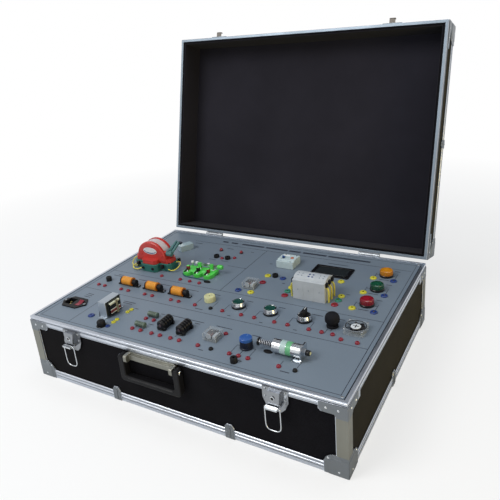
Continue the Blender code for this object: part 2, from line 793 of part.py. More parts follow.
def build_edging(name, finish, bottom, top, post_end, parent=None):
    """The aluminium edging: a band with a flange, corner posts, corner caps and clips."""
    upward = top > bottom
    step = 1 if upward else -1

    def band(outer_x, outer_y, inner_x, inner_y, start, end):
        low, high = sorted((start, end))
        return ring(outer_x, outer_y, inner_x, inner_y, low, high)

    inner_x, inner_y = SHELL_HALF_WIDTH + CLEAR, SHELL_HALF_DEPTH + CLEAR
    edging = band(HALF_WIDTH, HALF_DEPTH, inner_x, inner_y, bottom, bottom + step * EDGE_BAND)
    flange = band(HALF_WIDTH - OVERRUN, HALF_DEPTH - OVERRUN, HALF_WIDTH - EDGE_FLANGE + CLEAR,
                  HALF_DEPTH - EDGE_FLANGE + CLEAR, bottom, bottom + step * EDGE_FLANGE_THICK)
    join(edging, flange)
    low, high = sorted((bottom, post_end))
    posts = ring(HALF_WIDTH, HALF_DEPTH, inner_x, inner_y, low, high)
    cut(posts,
        box((-HALF_WIDTH + POST_WIDTH, -HALF_DEPTH - OVERRUN, low - OVERRUN),
            (HALF_WIDTH - POST_WIDTH, HALF_DEPTH + OVERRUN, high + OVERRUN)),
        box((-HALF_WIDTH - OVERRUN, -HALF_DEPTH + POST_WIDTH, low - OVERRUN),
            (HALF_WIDTH + OVERRUN, HALF_DEPTH - POST_WIDTH, high + OVERRUN)))
    join(edging, posts)
    cap_low, cap_high = sorted((bottom, bottom + step * CORNER_HEIGHT))
    for turn in range(4):
        shape = edging_corner(cap_low, cap_high, upward)
        if turn in (1, 3):
            twin = mirrored_x(shape)
            bpy.data.objects.remove(shape)
            shape = twin
        if turn in (2, 3):
            rotated(shape, math.pi, "Z", ORIGIN)
        join(edging, shape)
    clip_end = bottom + step * CLIP_HEIGHT
    shoulder = clip_end - step * CLIP_WIDTH / 3
    for side in (-1, 1):
        x = side * CLIP_PLACE_SHARE * HALF_WIDTH
        outline = [(x - CLIP_WIDTH / 2, bottom), (x + CLIP_WIDTH / 2, bottom), (x + CLIP_WIDTH / 2,
                shoulder), (x + CLIP_WIDTH / 4, clip_end), (x - CLIP_WIDTH / 4, clip_end),
                   (x - CLIP_WIDTH / 2, shoulder)]
        join(edging, plate(outline, -HALF_DEPTH - TRIM_PROUD, -SHELL_HALF_DEPTH - CLEAR, "Y"),
             plate(outline, SHELL_HALF_DEPTH + CLEAR, HALF_DEPTH + TRIM_PROUD, "Y"))
        flank = [(across - x, up) for across, up in outline]
        start, end = sorted((side * (SHELL_HALF_WIDTH + CLEAR), side * (HALF_WIDTH + TRIM_PROUD)))
        join(edging, plate(flank, start, end, "X"))
    return named(edging, name, finish, parent=parent)


def build_lid_shell(finish, parent):
    """The wooden lid, drawn shut, with the inner collar that its rim sits round."""
    outer_x, outer_y = SHELL_HALF_WIDTH, SHELL_HALF_DEPTH
    collar_x, collar_y = RIM_INNER_WIDTH - CLEAR, RIM_INNER_DEPTH - CLEAR
    shell = box((-outer_x, -outer_y, LID_RIM_TOP + CLEAR), (outer_x, outer_y, LID_TOP))
    join(shell, box((-collar_x, -collar_y, LID_BOTTOM + OVERRUN), (collar_x, collar_y,
            LID_TOP - LID_TOP_WALL)))
    inner_x, inner_y = collar_x - BATTEN, collar_y - BATTEN
    cut(shell, box((-inner_x, -inner_y, BASE_HEIGHT - OVERRUN), (inner_x, inner_y, LID_TOP - LID_TOP_WALL)))
    rebate_x = outer_x + EDGE_THICK - EDGE_FLANGE
    rebate_y = outer_y + EDGE_THICK - EDGE_FLANGE
    cut(shell, ring(outer_x + OVERRUN, outer_y + OVERRUN, rebate_x, rebate_y,
                    LID_TOP - EDGE_FLANGE_THICK - CLEAR, LID_TOP + OVERRUN))
    return named(shell, "lid_shell", finish, parent=parent)


def build_lid_lining(finish, parent):
    """The thin cloth-covered tray that lines the lid."""
    outer_x = RIM_INNER_WIDTH - 2 * CLEAR - BATTEN
    outer_y = RIM_INNER_DEPTH - 2 * CLEAR - BATTEN
    high = LID_TOP - LID_TOP_WALL - CLEAR
    low = LID_BOTTOM + OVERRUN
    tray = box((-outer_x, -outer_y, low), (outer_x, outer_y, high))
    cut(tray, box((-outer_x + LINING, -outer_y + LINING, low - OVERRUN), (outer_x - LINING,
            outer_y - LINING, high - LINING)))
    return named(tray, "lid_lining", finish, parent=parent)


def build_hinges(finish, lid):
    """Two butt hinges; the base leaf carries the pin and the lid leaf the middle knuckle."""
    leaf_front = HALF_DEPTH + CLEAR
    leaf_back = leaf_front + HINGE_LEAF_THICK
    side_length = (HINGE_LENGTH - HINGE_MIDDLE) / 2 - CLEAR
    for label, side in (("left", -1), ("right", 1)):
        x = side * HINGE_PLACE_SHARE * HALF_WIDTH
        start = x - HINGE_LENGTH / 2
        end = x + HINGE_LENGTH / 2
        leaf_low = BASE_HEIGHT - HINGE_LEAF_HEIGHT
        centre = (start, HINGE_Y, BASE_HEIGHT)
        base = rod(centre, HINGE_LENGTH, HINGE_PIN_RADIUS, "X", 10)
        for knuckle in (start, end - side_length):
            web = box((knuckle, leaf_front, leaf_low), (knuckle + side_length, leaf_back, BASE_HEIGHT))
            neck = box((knuckle, leaf_front, BASE_HEIGHT - HINGE_KNUCKLE_RADIUS), (knuckle + side_length,
                     HINGE_Y, BASE_HEIGHT - HINGE_KNUCKLE_RADIUS + HINGE_LEAF_THICK))
            join(base, rod((knuckle, HINGE_Y, BASE_HEIGHT), side_length, HINGE_KNUCKLE_RADIUS, "X", 14),
                 web, neck)
        join(base, box((start, leaf_front, leaf_low), (end, leaf_back,
                                                       BASE_HEIGHT - HINGE_KNUCKLE_RADIUS - 2 * CLEAR)))
        named(base, f"base_hinge_{label}", finish, centre)
        middle = x - HINGE_MIDDLE / 2
        bore = HINGE_PIN_RADIUS + CLEAR
        knuckle = turned(((bore, 0), (HINGE_KNUCKLE_RADIUS, 0), (HINGE_KNUCKLE_RADIUS, HINGE_MIDDLE),
                          (bore, HINGE_MIDDLE)), (middle, HINGE_Y, BASE_HEIGHT), "X", 14, closed=True)
        leaf_start = BASE_HEIGHT + HINGE_KNUCKLE_RADIUS + 2 * CLEAR
        leaf = box((start, leaf_front, leaf_start), (end, leaf_back, BASE_HEIGHT + HINGE_LEAF_HEIGHT))
        web = box((middle, leaf_front, BASE_HEIGHT + HINGE_KNUCKLE_RADIUS - HINGE_LEAF_THICK),
                  (middle + HINGE_MIDDLE, leaf_back, leaf_start + OVERRUN))
        neck = box((middle, leaf_front, BASE_HEIGHT + HINGE_KNUCKLE_RADIUS - HINGE_LEAF_THICK),
                   (middle + HINGE_MIDDLE, HINGE_Y, BASE_HEIGHT + HINGE_KNUCKLE_RADIUS - CLEAR))
        join(knuckle, neck, web, leaf)
        named(knuckle, f"lid_hinge_{label}", finish, (middle, HINGE_Y, BASE_HEIGHT), lid)


def catch(x):
    """A lid catch: a riveted plate whose hook the latch bail pulls on."""
    low = LID_BOTTOM + CATCH_RISE
    front = FRONT - CATCH_THICK
    outline = [(x - CATCH_WIDTH / 2, low), (x + CATCH_WIDTH / 2, low),
               (x + CATCH_WIDTH / 2, low + CATCH_HEIGHT / 2), (x + CATCH_WIDTH / 4, low + CATCH_HEIGHT),
               (x - CATCH_WIDTH / 4, low + CATCH_HEIGHT), (x - CATCH_WIDTH / 2, low + CATCH_HEIGHT / 2)]
    base = plate(outline, front, FRONT + RIM_WIDTH / 4, "Y")
    reach = front - HOOK_REACH
    hook = plate([(front + CATCH_THICK / 2, low), (front + CATCH_THICK / 2, low + HOOK_THICK),
                  (reach + HOOK_THICK, low + HOOK_THICK), (reach + HOOK_THICK, low + HOOK_LIP),
                  (reach, low + HOOK_LIP), (reach, low)],
                 x - HOOK_WIDTH / 2, x + HOOK_WIDTH / 2, "X")
    return join(base, hook)


def build_latches(finish):
    """Two key latches: plate with lock, folding lever, and the wire bail that it pulls."""
    front = FRONT - CLEAR - LATCH_PLATE_THICK
    low = LATCH_PLATE_TOP - LATCH_PLATE_HEIGHT
    pivot_y = front - LEVER_PIVOT_PROUD
    pivot_z = LATCH_PLATE_TOP - LEVER_PIVOT_DROP
    for label, side in (("left", -1), ("right", 1)):
        x = side * LATCH_PLACE_SHARE * HALF_WIDTH
        half, neck = LATCH_PLATE_WIDTH / 2, LATCH_PLATE_NECK / 2
        waist = low + LATCH_PLATE_HEIGHT / 2
        outline = [(x - half, LATCH_PLATE_TOP), (x - half, waist), (x - neck, low + half / 3),
                   (x - neck + half / 3, low), (x + neck - half / 3, low), (x + neck, low + half / 3),
                   (x + half, waist), (x + half, LATCH_PLATE_TOP)]
        body = plate(outline, front, front + LATCH_PLATE_THICK, "Y")
        lock_top = LATCH_PLATE_TOP - LOCK_TOP_DROP
        lock_low = lock_top - LOCK_HEIGHT
        seat = front + LATCH_PLATE_THICK / 2
        lock = plate([(seat, lock_top), (front - LOCK_TOP_PROUD, lock_top), (front - LOCK_BOTTOM_PROUD,
                lock_low + LOCK_HEIGHT / 4), (front - LOCK_BOTTOM_PROUD, lock_low), (seat, lock_low)],
                     x - LOCK_WIDTH / 2, x + LOCK_WIDTH / 2, "X")
        keyhole = rod((x, front - LOCK_BOTTOM_PROUD - OVERRUN, (lock_top + lock_low) / 2),
                      KEYHOLE_DEPTH + OVERRUN, KEYHOLE_RADIUS, "Y", 10)
        join(body, lock)
        cut(body, keyhole)
        ear = LEVER_BARREL + CLEAR
        for ear_side in (-1, 1):
            start = x + ear_side * (LEVER_WIDTH / 2 + CLEAR)
            stop = start + ear_side * LATCH_PLATE_THICK
            low_x, high_x = sorted((start, stop))
            join(body, plate([(seat, pivot_z + ear), (pivot_y - ear, pivot_z + ear), (pivot_y - ear,
                    pivot_z - ear), (seat, pivot_z - ear)], low_x, high_x, "X"))
        join(body, rod((x - LEVER_WIDTH / 2 - LATCH_PLATE_THICK, pivot_y, pivot_z),
                       LEVER_WIDTH + 2 * LATCH_PLATE_THICK, LEVER_PIN, "X", 10))
        named(body, f"latch_plate_{label}", finish)

        bore = LEVER_PIN + CLEAR
        lever = turned(((bore, 0), (LEVER_BARREL, 0), (LEVER_BARREL, LEVER_WIDTH), (bore, LEVER_WIDTH)),
                       (x - LEVER_WIDTH / 2, pivot_y, pivot_z), "X", 12, closed=True)
        tip = pivot_y - LEVER_LENGTH
        leaf = plate([(pivot_y - bore - CLEAR, pivot_z + LEVER_THICK / 2), (pivot_y - bore - CLEAR,
                pivot_z - LEVER_THICK / 2), (tip + LEVER_THICK, pivot_z - LEVER_THICK / 2),
                      (tip + LEVER_THICK, pivot_z - 2 * LEVER_THICK), (tip, pivot_z - 2 * LEVER_THICK),
                      (tip, pivot_z + LEVER_THICK / 2)], x - LEVER_WIDTH / 2, x + LEVER_WIDTH / 2, "X")
        bail_y = pivot_y - BAIL_OFFSET
        barrel_z = pivot_z - LEVER_THICK / 2
        barrel = rod((x - LEVER_WIDTH / 2, bail_y, barrel_z), LEVER_WIDTH, LEVER_BARREL, "X", 12)
        join(lever, leaf, barrel)
        eye = BAIL_WIRE + CLEAR
        cut(lever, rod((x - LEVER_WIDTH / 2 - OVERRUN, bail_y, barrel_z), LEVER_WIDTH + 2 * OVERRUN, eye,
                        "X", 10))
        named(lever, f"latch_lever_{label}", finish, (x, pivot_y, pivot_z))

        leg = BAIL_WIDTH / 2
        foot = barrel_z - BAIL_LENGTH
        arc = [(x + leg - BAIL_ROUND + BAIL_ROUND * math.sin(step / 5 * TURN / 4),
                foot + BAIL_ROUND - BAIL_ROUND * math.cos(step / 5 * TURN / 4)) for step in range(6)]
        half_loop = [(x + LEVER_WIDTH / 4, barrel_z), (x + leg - BAIL_WIRE, barrel_z), (x + leg,
                barrel_z - BAIL_WIRE)]
        half_loop += list(reversed(arc))
        loop = half_loop + [(2 * x - across, up) for across, up in reversed(half_loop)]
        bail = tube([(across, bail_y, up) for across, up in loop], BAIL_WIRE, 1)
        named(bail, f"latch_bail_{label}", finish, (x, bail_y, barrel_z))


def build_handle(metal, black):
    """The bright bar on the front and the black handle that swings on its pins."""
    x = HANDLE_CENTRE_SHARE * HALF_WIDTH
    pivot_z = BASE_HEIGHT - HANDLE_PIVOT_DROP
    pivot_y = FRONT - HANDLE_PIVOT_PROUD
    half = HANDLE_BAR_LENGTH / 2
    back = -SHELL_HALF_DEPTH - CLEAR
    outline = rounded(HANDLE_BAR_LENGTH, HANDLE_BAR_HEIGHT, HANDLE_BAR_HEIGHT / 3, (x, pivot_z))
    bar = plate(outline, back - HANDLE_BAR_PROUD / 2, back, "Y")
    raised = rounded(HANDLE_BAR_LENGTH - HANDLE_BAR_HEIGHT / 2, HANDLE_BAR_HEIGHT / 2,
                     HANDLE_BAR_HEIGHT / 5, (x, pivot_z))
    join(bar, plate(raised, back - HANDLE_BAR_PROUD, back - OVERRUN, "Y"))
    for side in (-1, 1):
        start, end = sorted((x + side * (half - HANDLE_BOSS), x + side * half))
        ear = plate(rounded(2 * HANDLE_BOSS, 2 * HANDLE_BOSS, HANDLE_BOSS / 2, (pivot_y, pivot_z)),
                    start, end, "X")
        web = box((start, pivot_y, pivot_z - HANDLE_BOSS), (end, back, pivot_z + HANDLE_BOSS))
        pin_start = min(x + side * (half - OVERRUN), x + side * (half + HANDLE_PIN_LENGTH))
        cut(ear, box((start - OVERRUN, back, pivot_z - 2 * HANDLE_BOSS), (end + OVERRUN,
                back + 2 * HANDLE_BOSS, pivot_z + 2 * HANDLE_BOSS)))
        join(bar, ear, web, rod((pin_start, pivot_y, pivot_z), HANDLE_PIN_LENGTH + OVERRUN, HANDLE_PIN,
                                "X", 12))
    named(bar, "handle_mount", metal)

    front, rear = pivot_y - HANDLE_THICK / 2, pivot_y + HANDLE_THICK / 2
    inner = half + 2 * CLEAR
    outer = inner + HANDLE_LEG_WIDTH
    low = pivot_z - HANDLE_DROP
    outside = [(x + outer, pivot_z), (x + outer, low + HANDLE_ROUND), (x + outer - HANDLE_ROUND / 3,
            low + HANDLE_ROUND / 3), (x + outer - HANDLE_ROUND, low), (x, low - HANDLE_GRIP_BOW)]
    inside = [(x + inner, pivot_z), (x + inner, low + HANDLE_GRIP_HEIGHT + HANDLE_ROUND / 2),
              (x + inner - HANDLE_ROUND / 2, low + HANDLE_GRIP_HEIGHT), (x,
            low + HANDLE_GRIP_HEIGHT - HANDLE_GRIP_BOW)]
    left_outside = [(2 * x - across, up) for across, up in reversed(outside[:-1])]
    left_inside = [(2 * x - across, up) for across, up in inside[:-1]]
    handle = plate(outside + left_outside + left_inside + list(reversed(inside)), front, rear, "Y")
    for side in (-1, 1):
        start = min(x + side * inner, x + side * outer)
        join(handle, rod((start, pivot_y, pivot_z), HANDLE_LEG_WIDTH, HANDLE_BOSS, "X", 16))
    bore_length = 2 * outer + 2 * OVERRUN
    cut(handle, rod((x - bore_length / 2, pivot_y, pivot_z), bore_length, HANDLE_PIN + CLEAR, "X", 12))
    named(handle, "carry_handle", black, (x, pivot_y, pivot_z))


# Panel

def socket(share, radius):
    """One banana socket: a low flanged insulator with its bore."""
    x, y, _ = on_panel(share)
    low = PANEL_TOP - PANEL_THICK / 2
    return turned(((0, low), (radius, low), (radius, PANEL_TOP + SOCKET_HEIGHT),
                   (SOCKET_BORE, PANEL_TOP + SOCKET_HEIGHT), (SOCKET_BORE, PANEL_TOP + SOCKET_FLOOR),
                   (0, PANEL_TOP + SOCKET_FLOOR)), (x, y, 0), "Z", SOCKET_SIDES)


def stud(share, radius, height, crown=0.0):
    """A round part fixed on the panel, domed when it has a crown."""
    x, y, _ = on_panel(share)
    low = PANEL_TOP - PANEL_THICK / 2
    top = PANEL_TOP + height
    profile = [(0, low), (radius, low), (radius, top - crown), (radius - CHAMFER - crown / 2,
                                                                top - crown / 3), (0, top)]
    if not crown:
        profile = [(0, low), (radius, low), (radius, top - CHAMFER), (radius - CHAMFER, top), (0, top)]
    return turned(profile, (x, y, 0), "Z", SMALL_SIDES)


def resistor(share):
    """A wire-ended resistor lying across the panel on its saddle."""
    x, y, _ = on_panel(share)
    axis_z = PANEL_TOP + RESISTOR_HEIGHT
    body = rod((x - RESISTOR_LENGTH / 2, y, axis_z), RESISTOR_LENGTH, RESISTOR_RADIUS, "X", 12)
    saddle = box((x - RESISTOR_SADDLE / 2, y - RESISTOR_RADIUS / 2, PANEL_TOP - PANEL_THICK / 2),
                 (x + RESISTOR_SADDLE / 2, y + RESISTOR_RADIUS / 2, axis_z))
    return join(body, saddle)


def build_panel(finish):
    """The printed panel with its sockets and the small parts fixed on it."""
    panel = box((-PANEL_HALF_WIDTH, -PANEL_HALF_DEPTH, PANEL_BOTTOM), (PANEL_HALF_WIDTH,
            PANEL_HALF_DEPTH, PANEL_TOP))

    def hole(share, radius, sides=ROUND_SIDES):
        x, y, _ = on_panel(share)
        return rod((x, y, PANEL_BOTTOM - OVERRUN), PANEL_THICK + 2 * OVERRUN, radius, "Z", sides)

    def window(share, width, depth):
        x, y, _ = on_panel(share)
        return box((x - width / 2, y - depth / 2, PANEL_BOTTOM - OVERRUN), (x + width / 2, y + depth / 2,
                 PANEL_TOP + OVERRUN))

    collar_x, collar_y, _ = on_panel(MUSHROOM_SHARE)
    join(panel, rod((collar_x, collar_y, PANEL_TOP - PANEL_THICK / 2), COLLAR_HEIGHT + PANEL_THICK / 2,
                    COLLAR_RADIUS))
    fuse_x, fuse_y, _ = on_panel(FUSE_SHARE)
    join(panel, rod((fuse_x, fuse_y, PANEL_TOP - PANEL_THICK / 2), FUSE_SEAT + PANEL_THICK / 2,
                    FUSE_RADIUS, "Z", 16))
    rounds = [hole(share, NECK_RADIUS + CLEAR) for share in (*BUTTON_SHARES.values(), SELECTOR_SHARE,
                                                             *LAMP_SHARES.values())]
    pot_hole = hole(POT_SHARE, POT_STEM + CLEAR, 10)
    gap = 2 * CLEAR
    inlet = window(INLET_SHARE, INLET_BODY_LENGTH + gap, INLET_BODY_WIDTH + gap)
    mushroom_hole = rod((collar_x, collar_y, PANEL_BOTTOM - OVERRUN),
                        PANEL_THICK + COLLAR_HEIGHT + 2 * OVERRUN, MUSHROOM_NECK + CLEAR)
    fuse_hole = rod((fuse_x, fuse_y, PANEL_BOTTOM - OVERRUN), PANEL_THICK + FUSE_SEAT + 2 * OVERRUN,
                    FUSE_STEM + FUSE_BORE_GAP, "Z", 16)
    cut_all(panel, [*rounds, pot_hole, inlet, mushroom_hole, fuse_hole])
    parts = [socket(share, SOCKET_RADIUS) for share in SOCKET_SHARES]
    parts += [socket(share, SMALL_SOCKET_RADIUS) for share in SMALL_SOCKET_SHARES]
    parts += [stud(share, CAP_RADIUS, CAP_HEIGHT) for share in TALL_CAP_SHARES]
    parts += [stud(share, CAP_RADIUS, LOW_CAP_HEIGHT) for share in LOW_CAP_SHARES]
    parts += [stud(share, LAMP_DOT_RADIUS, LAMP_DOT_HEIGHT, LAMP_DOT_RADIUS / 2) for share in LAMP_DOT_SHARES]
    parts += [resistor(share) for share in RESISTOR_SHARES]
    for share in GROMMET_SHARES:
        x, y, _ = on_panel(share)
        parts.append(plate(ellipse(GROMMET_LENGTH, GROMMET_WIDTH, (x, y), 12), PANEL_TOP - PANEL_THICK / 2,
                           PANEL_TOP + GROMMET_HEIGHT))
    x, y, _ = on_panel(BLOCK_SHARE)
    block = box((x - BLOCK_WIDTH / 2, y - BLOCK_LENGTH / 2, PANEL_TOP - PANEL_THICK / 2),
                (x + BLOCK_WIDTH / 2, y + BLOCK_LENGTH / 2, PANEL_TOP + BLOCK_HEIGHT))
    parts.append(rotated(block, BLOCK_TURN, "Z", (x, y, 0)))
    for side_x in (-1, 1):
        for side_y in (-1, 1):
            place = (side_x * (PANEL_HALF_WIDTH - SCREW_INSET), side_y * (PANEL_HALF_DEPTH - SCREW_INSET),
                     PANEL_TOP - PANEL_THICK / 2)
            parts.append(rod(place, SCREW_HEIGHT + PANEL_THICK / 2, SCREW_RADIUS, "Z", 10))
    join_all(panel, parts)
    return named(panel, "control_panel", finish)


# Components on the panel

def build_coil(name, share, finish):
    """A wound bobbin lying along X on its foot, with the tag at its left and block at its right."""
    x, y, z = on_panel(share)
    start = x - COIL_LENGTH / 2
    end = x + COIL_LENGTH / 2
    axis_z = z + COIL_HEIGHT
    thick = COIL_FLANGE_THICK
    profile = ((0, 0), (COIL_FLANGE, 0), (COIL_FLANGE, thick), (COIL_RADIUS, thick), (COIL_RADIUS,
            COIL_LENGTH - thick), (COIL_FLANGE, COIL_LENGTH - thick), (COIL_FLANGE, COIL_LENGTH), (0,
            COIL_LENGTH))
    coil = turned(profile, (start, y, axis_z), "X", COIL_SIDES)
    floor = box((start - COIL_FLANGE, y - COIL_FLANGE * 2, z - COIL_FLANGE * 2), (end + COIL_FLANGE,
            y + COIL_FLANGE * 2, z))
    cut(coil, floor)
    foot_low = x - COIL_FOOT_LENGTH / 2
    foot = plate(rounded(COIL_FOOT_LENGTH, COIL_FOOT_WIDTH, COIL_FOOT_WIDTH / 4,
                         (foot_low + COIL_FOOT_LENGTH / 2, y)), z, z + COIL_FOOT_HEIGHT)
    block = box((end - thick / 2, y - COIL_FOOT_WIDTH / 2, z + COIL_FOOT_HEIGHT / 2),
                (end + COIL_BLOCK_LENGTH - thick, y + COIL_FOOT_WIDTH / 2, z + COIL_BLOCK_HEIGHT))
    return named(join(coil, foot, block), name, finish)


def build_choke(name, share, finish):
    """A finned cylinder lying along Y on a flat foot."""
    x, y, z = on_panel(share)
    pitch = CHOKE_LENGTH / CHOKE_FINS
    profile = [(0, 0)]
    for fin in range(CHOKE_FINS):
        low = fin * pitch
        profile += [(CHOKE_FIN, low), (CHOKE_FIN, low + pitch * 5 / 8)]
        if fin < CHOKE_FINS - 1:
            profile += [(CHOKE_CORE, low + pitch * 3 / 4), (CHOKE_CORE, low + pitch * 7 / 8)]
    profile.append((0, CHOKE_LENGTH - pitch * 3 / 8))
    choke = turned(profile, (x, y - CHOKE_LENGTH / 2, z + CHOKE_HEIGHT), "Y", CHOKE_SIDES)
    foot = box((x - CHOKE_FOOT_WIDTH / 2, y - CHOKE_FOOT_LENGTH / 2, z),
               (x + CHOKE_FOOT_WIDTH / 2, y + CHOKE_FOOT_LENGTH / 2, z + CHOKE_FOOT_HEIGHT))
    web = box((x - CHOKE_CORE / 2, y - CHOKE_LENGTH / 3, z + CHOKE_FOOT_HEIGHT / 2),
              (x + CHOKE_CORE / 2, y + CHOKE_LENGTH / 3, z + CHOKE_HEIGHT))
    return named(join(choke, web, foot), name, finish)


def build_buzzer(finish):
    """A round buzzer with its sound hole."""
    place = on_panel(BUZZER_SHARE)
    buzzer = turned(((0, 0), (BUZZER_RADIUS, 0), (BUZZER_RADIUS, BUZZER_HEIGHT - CHAMFER),
                     (BUZZER_RADIUS - CHAMFER, BUZZER_HEIGHT), (BUZZER_HOLE, BUZZER_HEIGHT),
                     (BUZZER_HOLE, BUZZER_HEIGHT / 2), (0, BUZZER_HEIGHT / 2)), place, "Z", BUZZER_SIDES)
    return named(buzzer, "buzzer", finish)


def bezel_profile():
    """Half section of a 22 mm bezel: neck, seat ring, bright ring and the open bore."""
    neck_low = -PANEL_THICK - NECK_DEPTH
    return ((0, neck_low), (NECK_RADIUS, neck_low), (NECK_RADIUS, 0), (SEAT_RADIUS, 0), (SEAT_RADIUS,
            SEAT_HEIGHT), (BEZEL_RADIUS, SEAT_HEIGHT), (BEZEL_TOP_RADIUS, BEZEL_HEIGHT), (BEZEL_BORE,
            BEZEL_HEIGHT), (BEZEL_BORE, -NECK_FLOOR), (0, -NECK_FLOOR))


def build_bezel(name, share, finish):
    """One bezel standing on the panel, its neck through the hole."""
    return named(turned(bezel_profile(), on_panel(share)), name, finish)


def build_button(name, share, finish):
    """A flush push cap that slides in its bezel."""
    place = on_panel(share)
    radius = BEZEL_BORE - BUTTON_GAP
    top = BEZEL_HEIGHT + BUTTON_RISE
    cap = turned(((0, top - BUTTON_LENGTH), (radius, top - BUTTON_LENGTH), (radius, top - CHAMFER),
                  (radius - CHAMFER, top), (0, top)), place)
    return named(cap, name, finish, place)


def build_selector(finish):
    """The rotary selector's knob with its raised grip bar."""
    place = on_panel(SELECTOR_SHARE)
    x, y, z = place
    radius = BEZEL_BORE - BUTTON_GAP
    knob = turned(((0, 0), (radius, 0), (radius, BEZEL_HEIGHT), (0, BEZEL_HEIGHT)), place)
    bar = plate(rounded(KNOB_BAR_WIDTH, KNOB_BAR_LENGTH - OVERRUN, KNOB_BAR_WIDTH / 3, (x, y), 2),
                z + BEZEL_HEIGHT / 2, z + BEZEL_HEIGHT + KNOB_BAR_HEIGHT)
    return named(join(knob, bar), "selector_knob", finish, place)


def build_mushroom(finish):
    """The mushroom-headed push button on its neck."""
    place = on_panel(MUSHROOM_SHARE)
    profile = ((0, -MUSHROOM_STEM), (MUSHROOM_NECK, -MUSHROOM_STEM), (MUSHROOM_NECK, MUSHROOM_UNDER),
               (MUSHROOM_RADIUS * 15 / 16, MUSHROOM_UNDER), (MUSHROOM_RADIUS, MUSHROOM_UNDER + CHAMFER * 2),
               (MUSHROOM_RADIUS, MUSHROOM_WAIST), (MUSHROOM_TOP, MUSHROOM_HEIGHT - CHAMFER),
               (MUSHROOM_TOP - CHAMFER, MUSHROOM_HEIGHT), (0, MUSHROOM_HEIGHT))
    return named(turned(profile, place), "mushroom_button", finish, place)


def build_lamp(name, share, finish):
    """A pilot lamp: seat ring and domed lens above the panel, neck below."""
    neck_low = -PANEL_THICK - NECK_DEPTH
    top = SEAT_HEIGHT + LENS_HEIGHT
    profile = ((0, neck_low), (NECK_RADIUS, neck_low), (NECK_RADIUS, 0), (SEAT_RADIUS, 0), (SEAT_RADIUS,
            SEAT_HEIGHT), (LENS_RADIUS, SEAT_HEIGHT), (LENS_RADIUS, top - LENS_CROWN),
               (LENS_RADIUS * 7 / 8, top - LENS_CROWN / 3), (0, top))
    return named(turned(profile, on_panel(share)), name, finish)


def build_fan(clear, black):
    """A small axial fan: square frame with four screw holes, arms and boss, and its rotor."""
    place = on_panel(FAN_SHARE)
    x, y, z = place
    frame = plate(rounded(FAN_SIDE, FAN_SIDE, FAN_ROUND, (x, y), 2), z, z + FAN_HEIGHT)
    cutters = [rod((x, y, z - OVERRUN), FAN_HEIGHT + 2 * OVERRUN, FAN_BORE, "Z", 28)]
    for side_x in (-1, 1):
        for side_y in (-1, 1):
            corner = (x + side_x * FAN_HOLE_SPACING / 2, y + side_y * FAN_HOLE_SPACING / 2, z - OVERRUN)
            cutters.append(rod(corner, FAN_HEIGHT + 2 * OVERRUN, FAN_HOLE, "Z", 8))
    cut_all(frame, cutters)
    boss = rod((x, y, z), FAN_ARM_HEIGHT, FAN_BOSS, "Z", 16)
    for arm in range(3):
        bar = box((x + FAN_BOSS / 2, y - FAN_ARM_WIDTH / 2, z + CLEAR / 2),
                  (x + FAN_BORE + CHAMFER, y + FAN_ARM_WIDTH / 2, z + FAN_ARM_HEIGHT - CLEAR / 2))
        join(boss, rotated(bar, arm * TURN / 3, "Z", place))
    named(join(frame, boss), "fan_frame", clear)

    hub_low = z + FAN_ARM_HEIGHT + CLEAR
    hub_high = z + FAN_HEIGHT - FAN_HUB_DROP
    rotor = turned(((0, hub_low), (FAN_HUB, hub_low), (FAN_HUB, hub_high - CHAMFER), (FAN_HUB - CHAMFER,
            hub_high), (0, hub_high)), (x, y, 0), "Z", 16)
    middle = (hub_low + hub_high) / 2
    reach = FAN_BORE - FAN_BLADE_GAP
    blades = []
    for blade in range(FAN_BLADES):
        shape = box((x + FAN_HUB * 3 / 4, y - FAN_BLADE_WIDTH / 2, middle - FAN_BLADE_THICK / 2),
                    (x + reach, y + FAN_BLADE_WIDTH / 2, middle + FAN_BLADE_THICK / 2))
        rotated(shape, FAN_BLADE_TILT, "X", (x, y, middle))
        blades.append(rotated(shape, blade / FAN_BLADES * TURN, "Z", place))
    join(rotor, *blades)
    named(rotor, "fan_rotor", black, place)


def build_display(finish):
    """The framed display."""
    x, y, z = on_panel(DISPLAY_SHARE)
    body = plate(rounded(DISPLAY_WIDTH, DISPLAY_DEPTH, DISPLAY_FRAME / 3, (x, y), 2), z, z + DISPLAY_HEIGHT)
    glass_x, glass_y = DISPLAY_WIDTH / 2 - DISPLAY_FRAME, DISPLAY_DEPTH / 2 - DISPLAY_FRAME
    cut(body, box((x - glass_x, y - glass_y, z + DISPLAY_HEIGHT - DISPLAY_RECESS), (x + glass_x,
            y + glass_y, z + 2 * DISPLAY_HEIGHT)))
    return named(body, "display", finish)


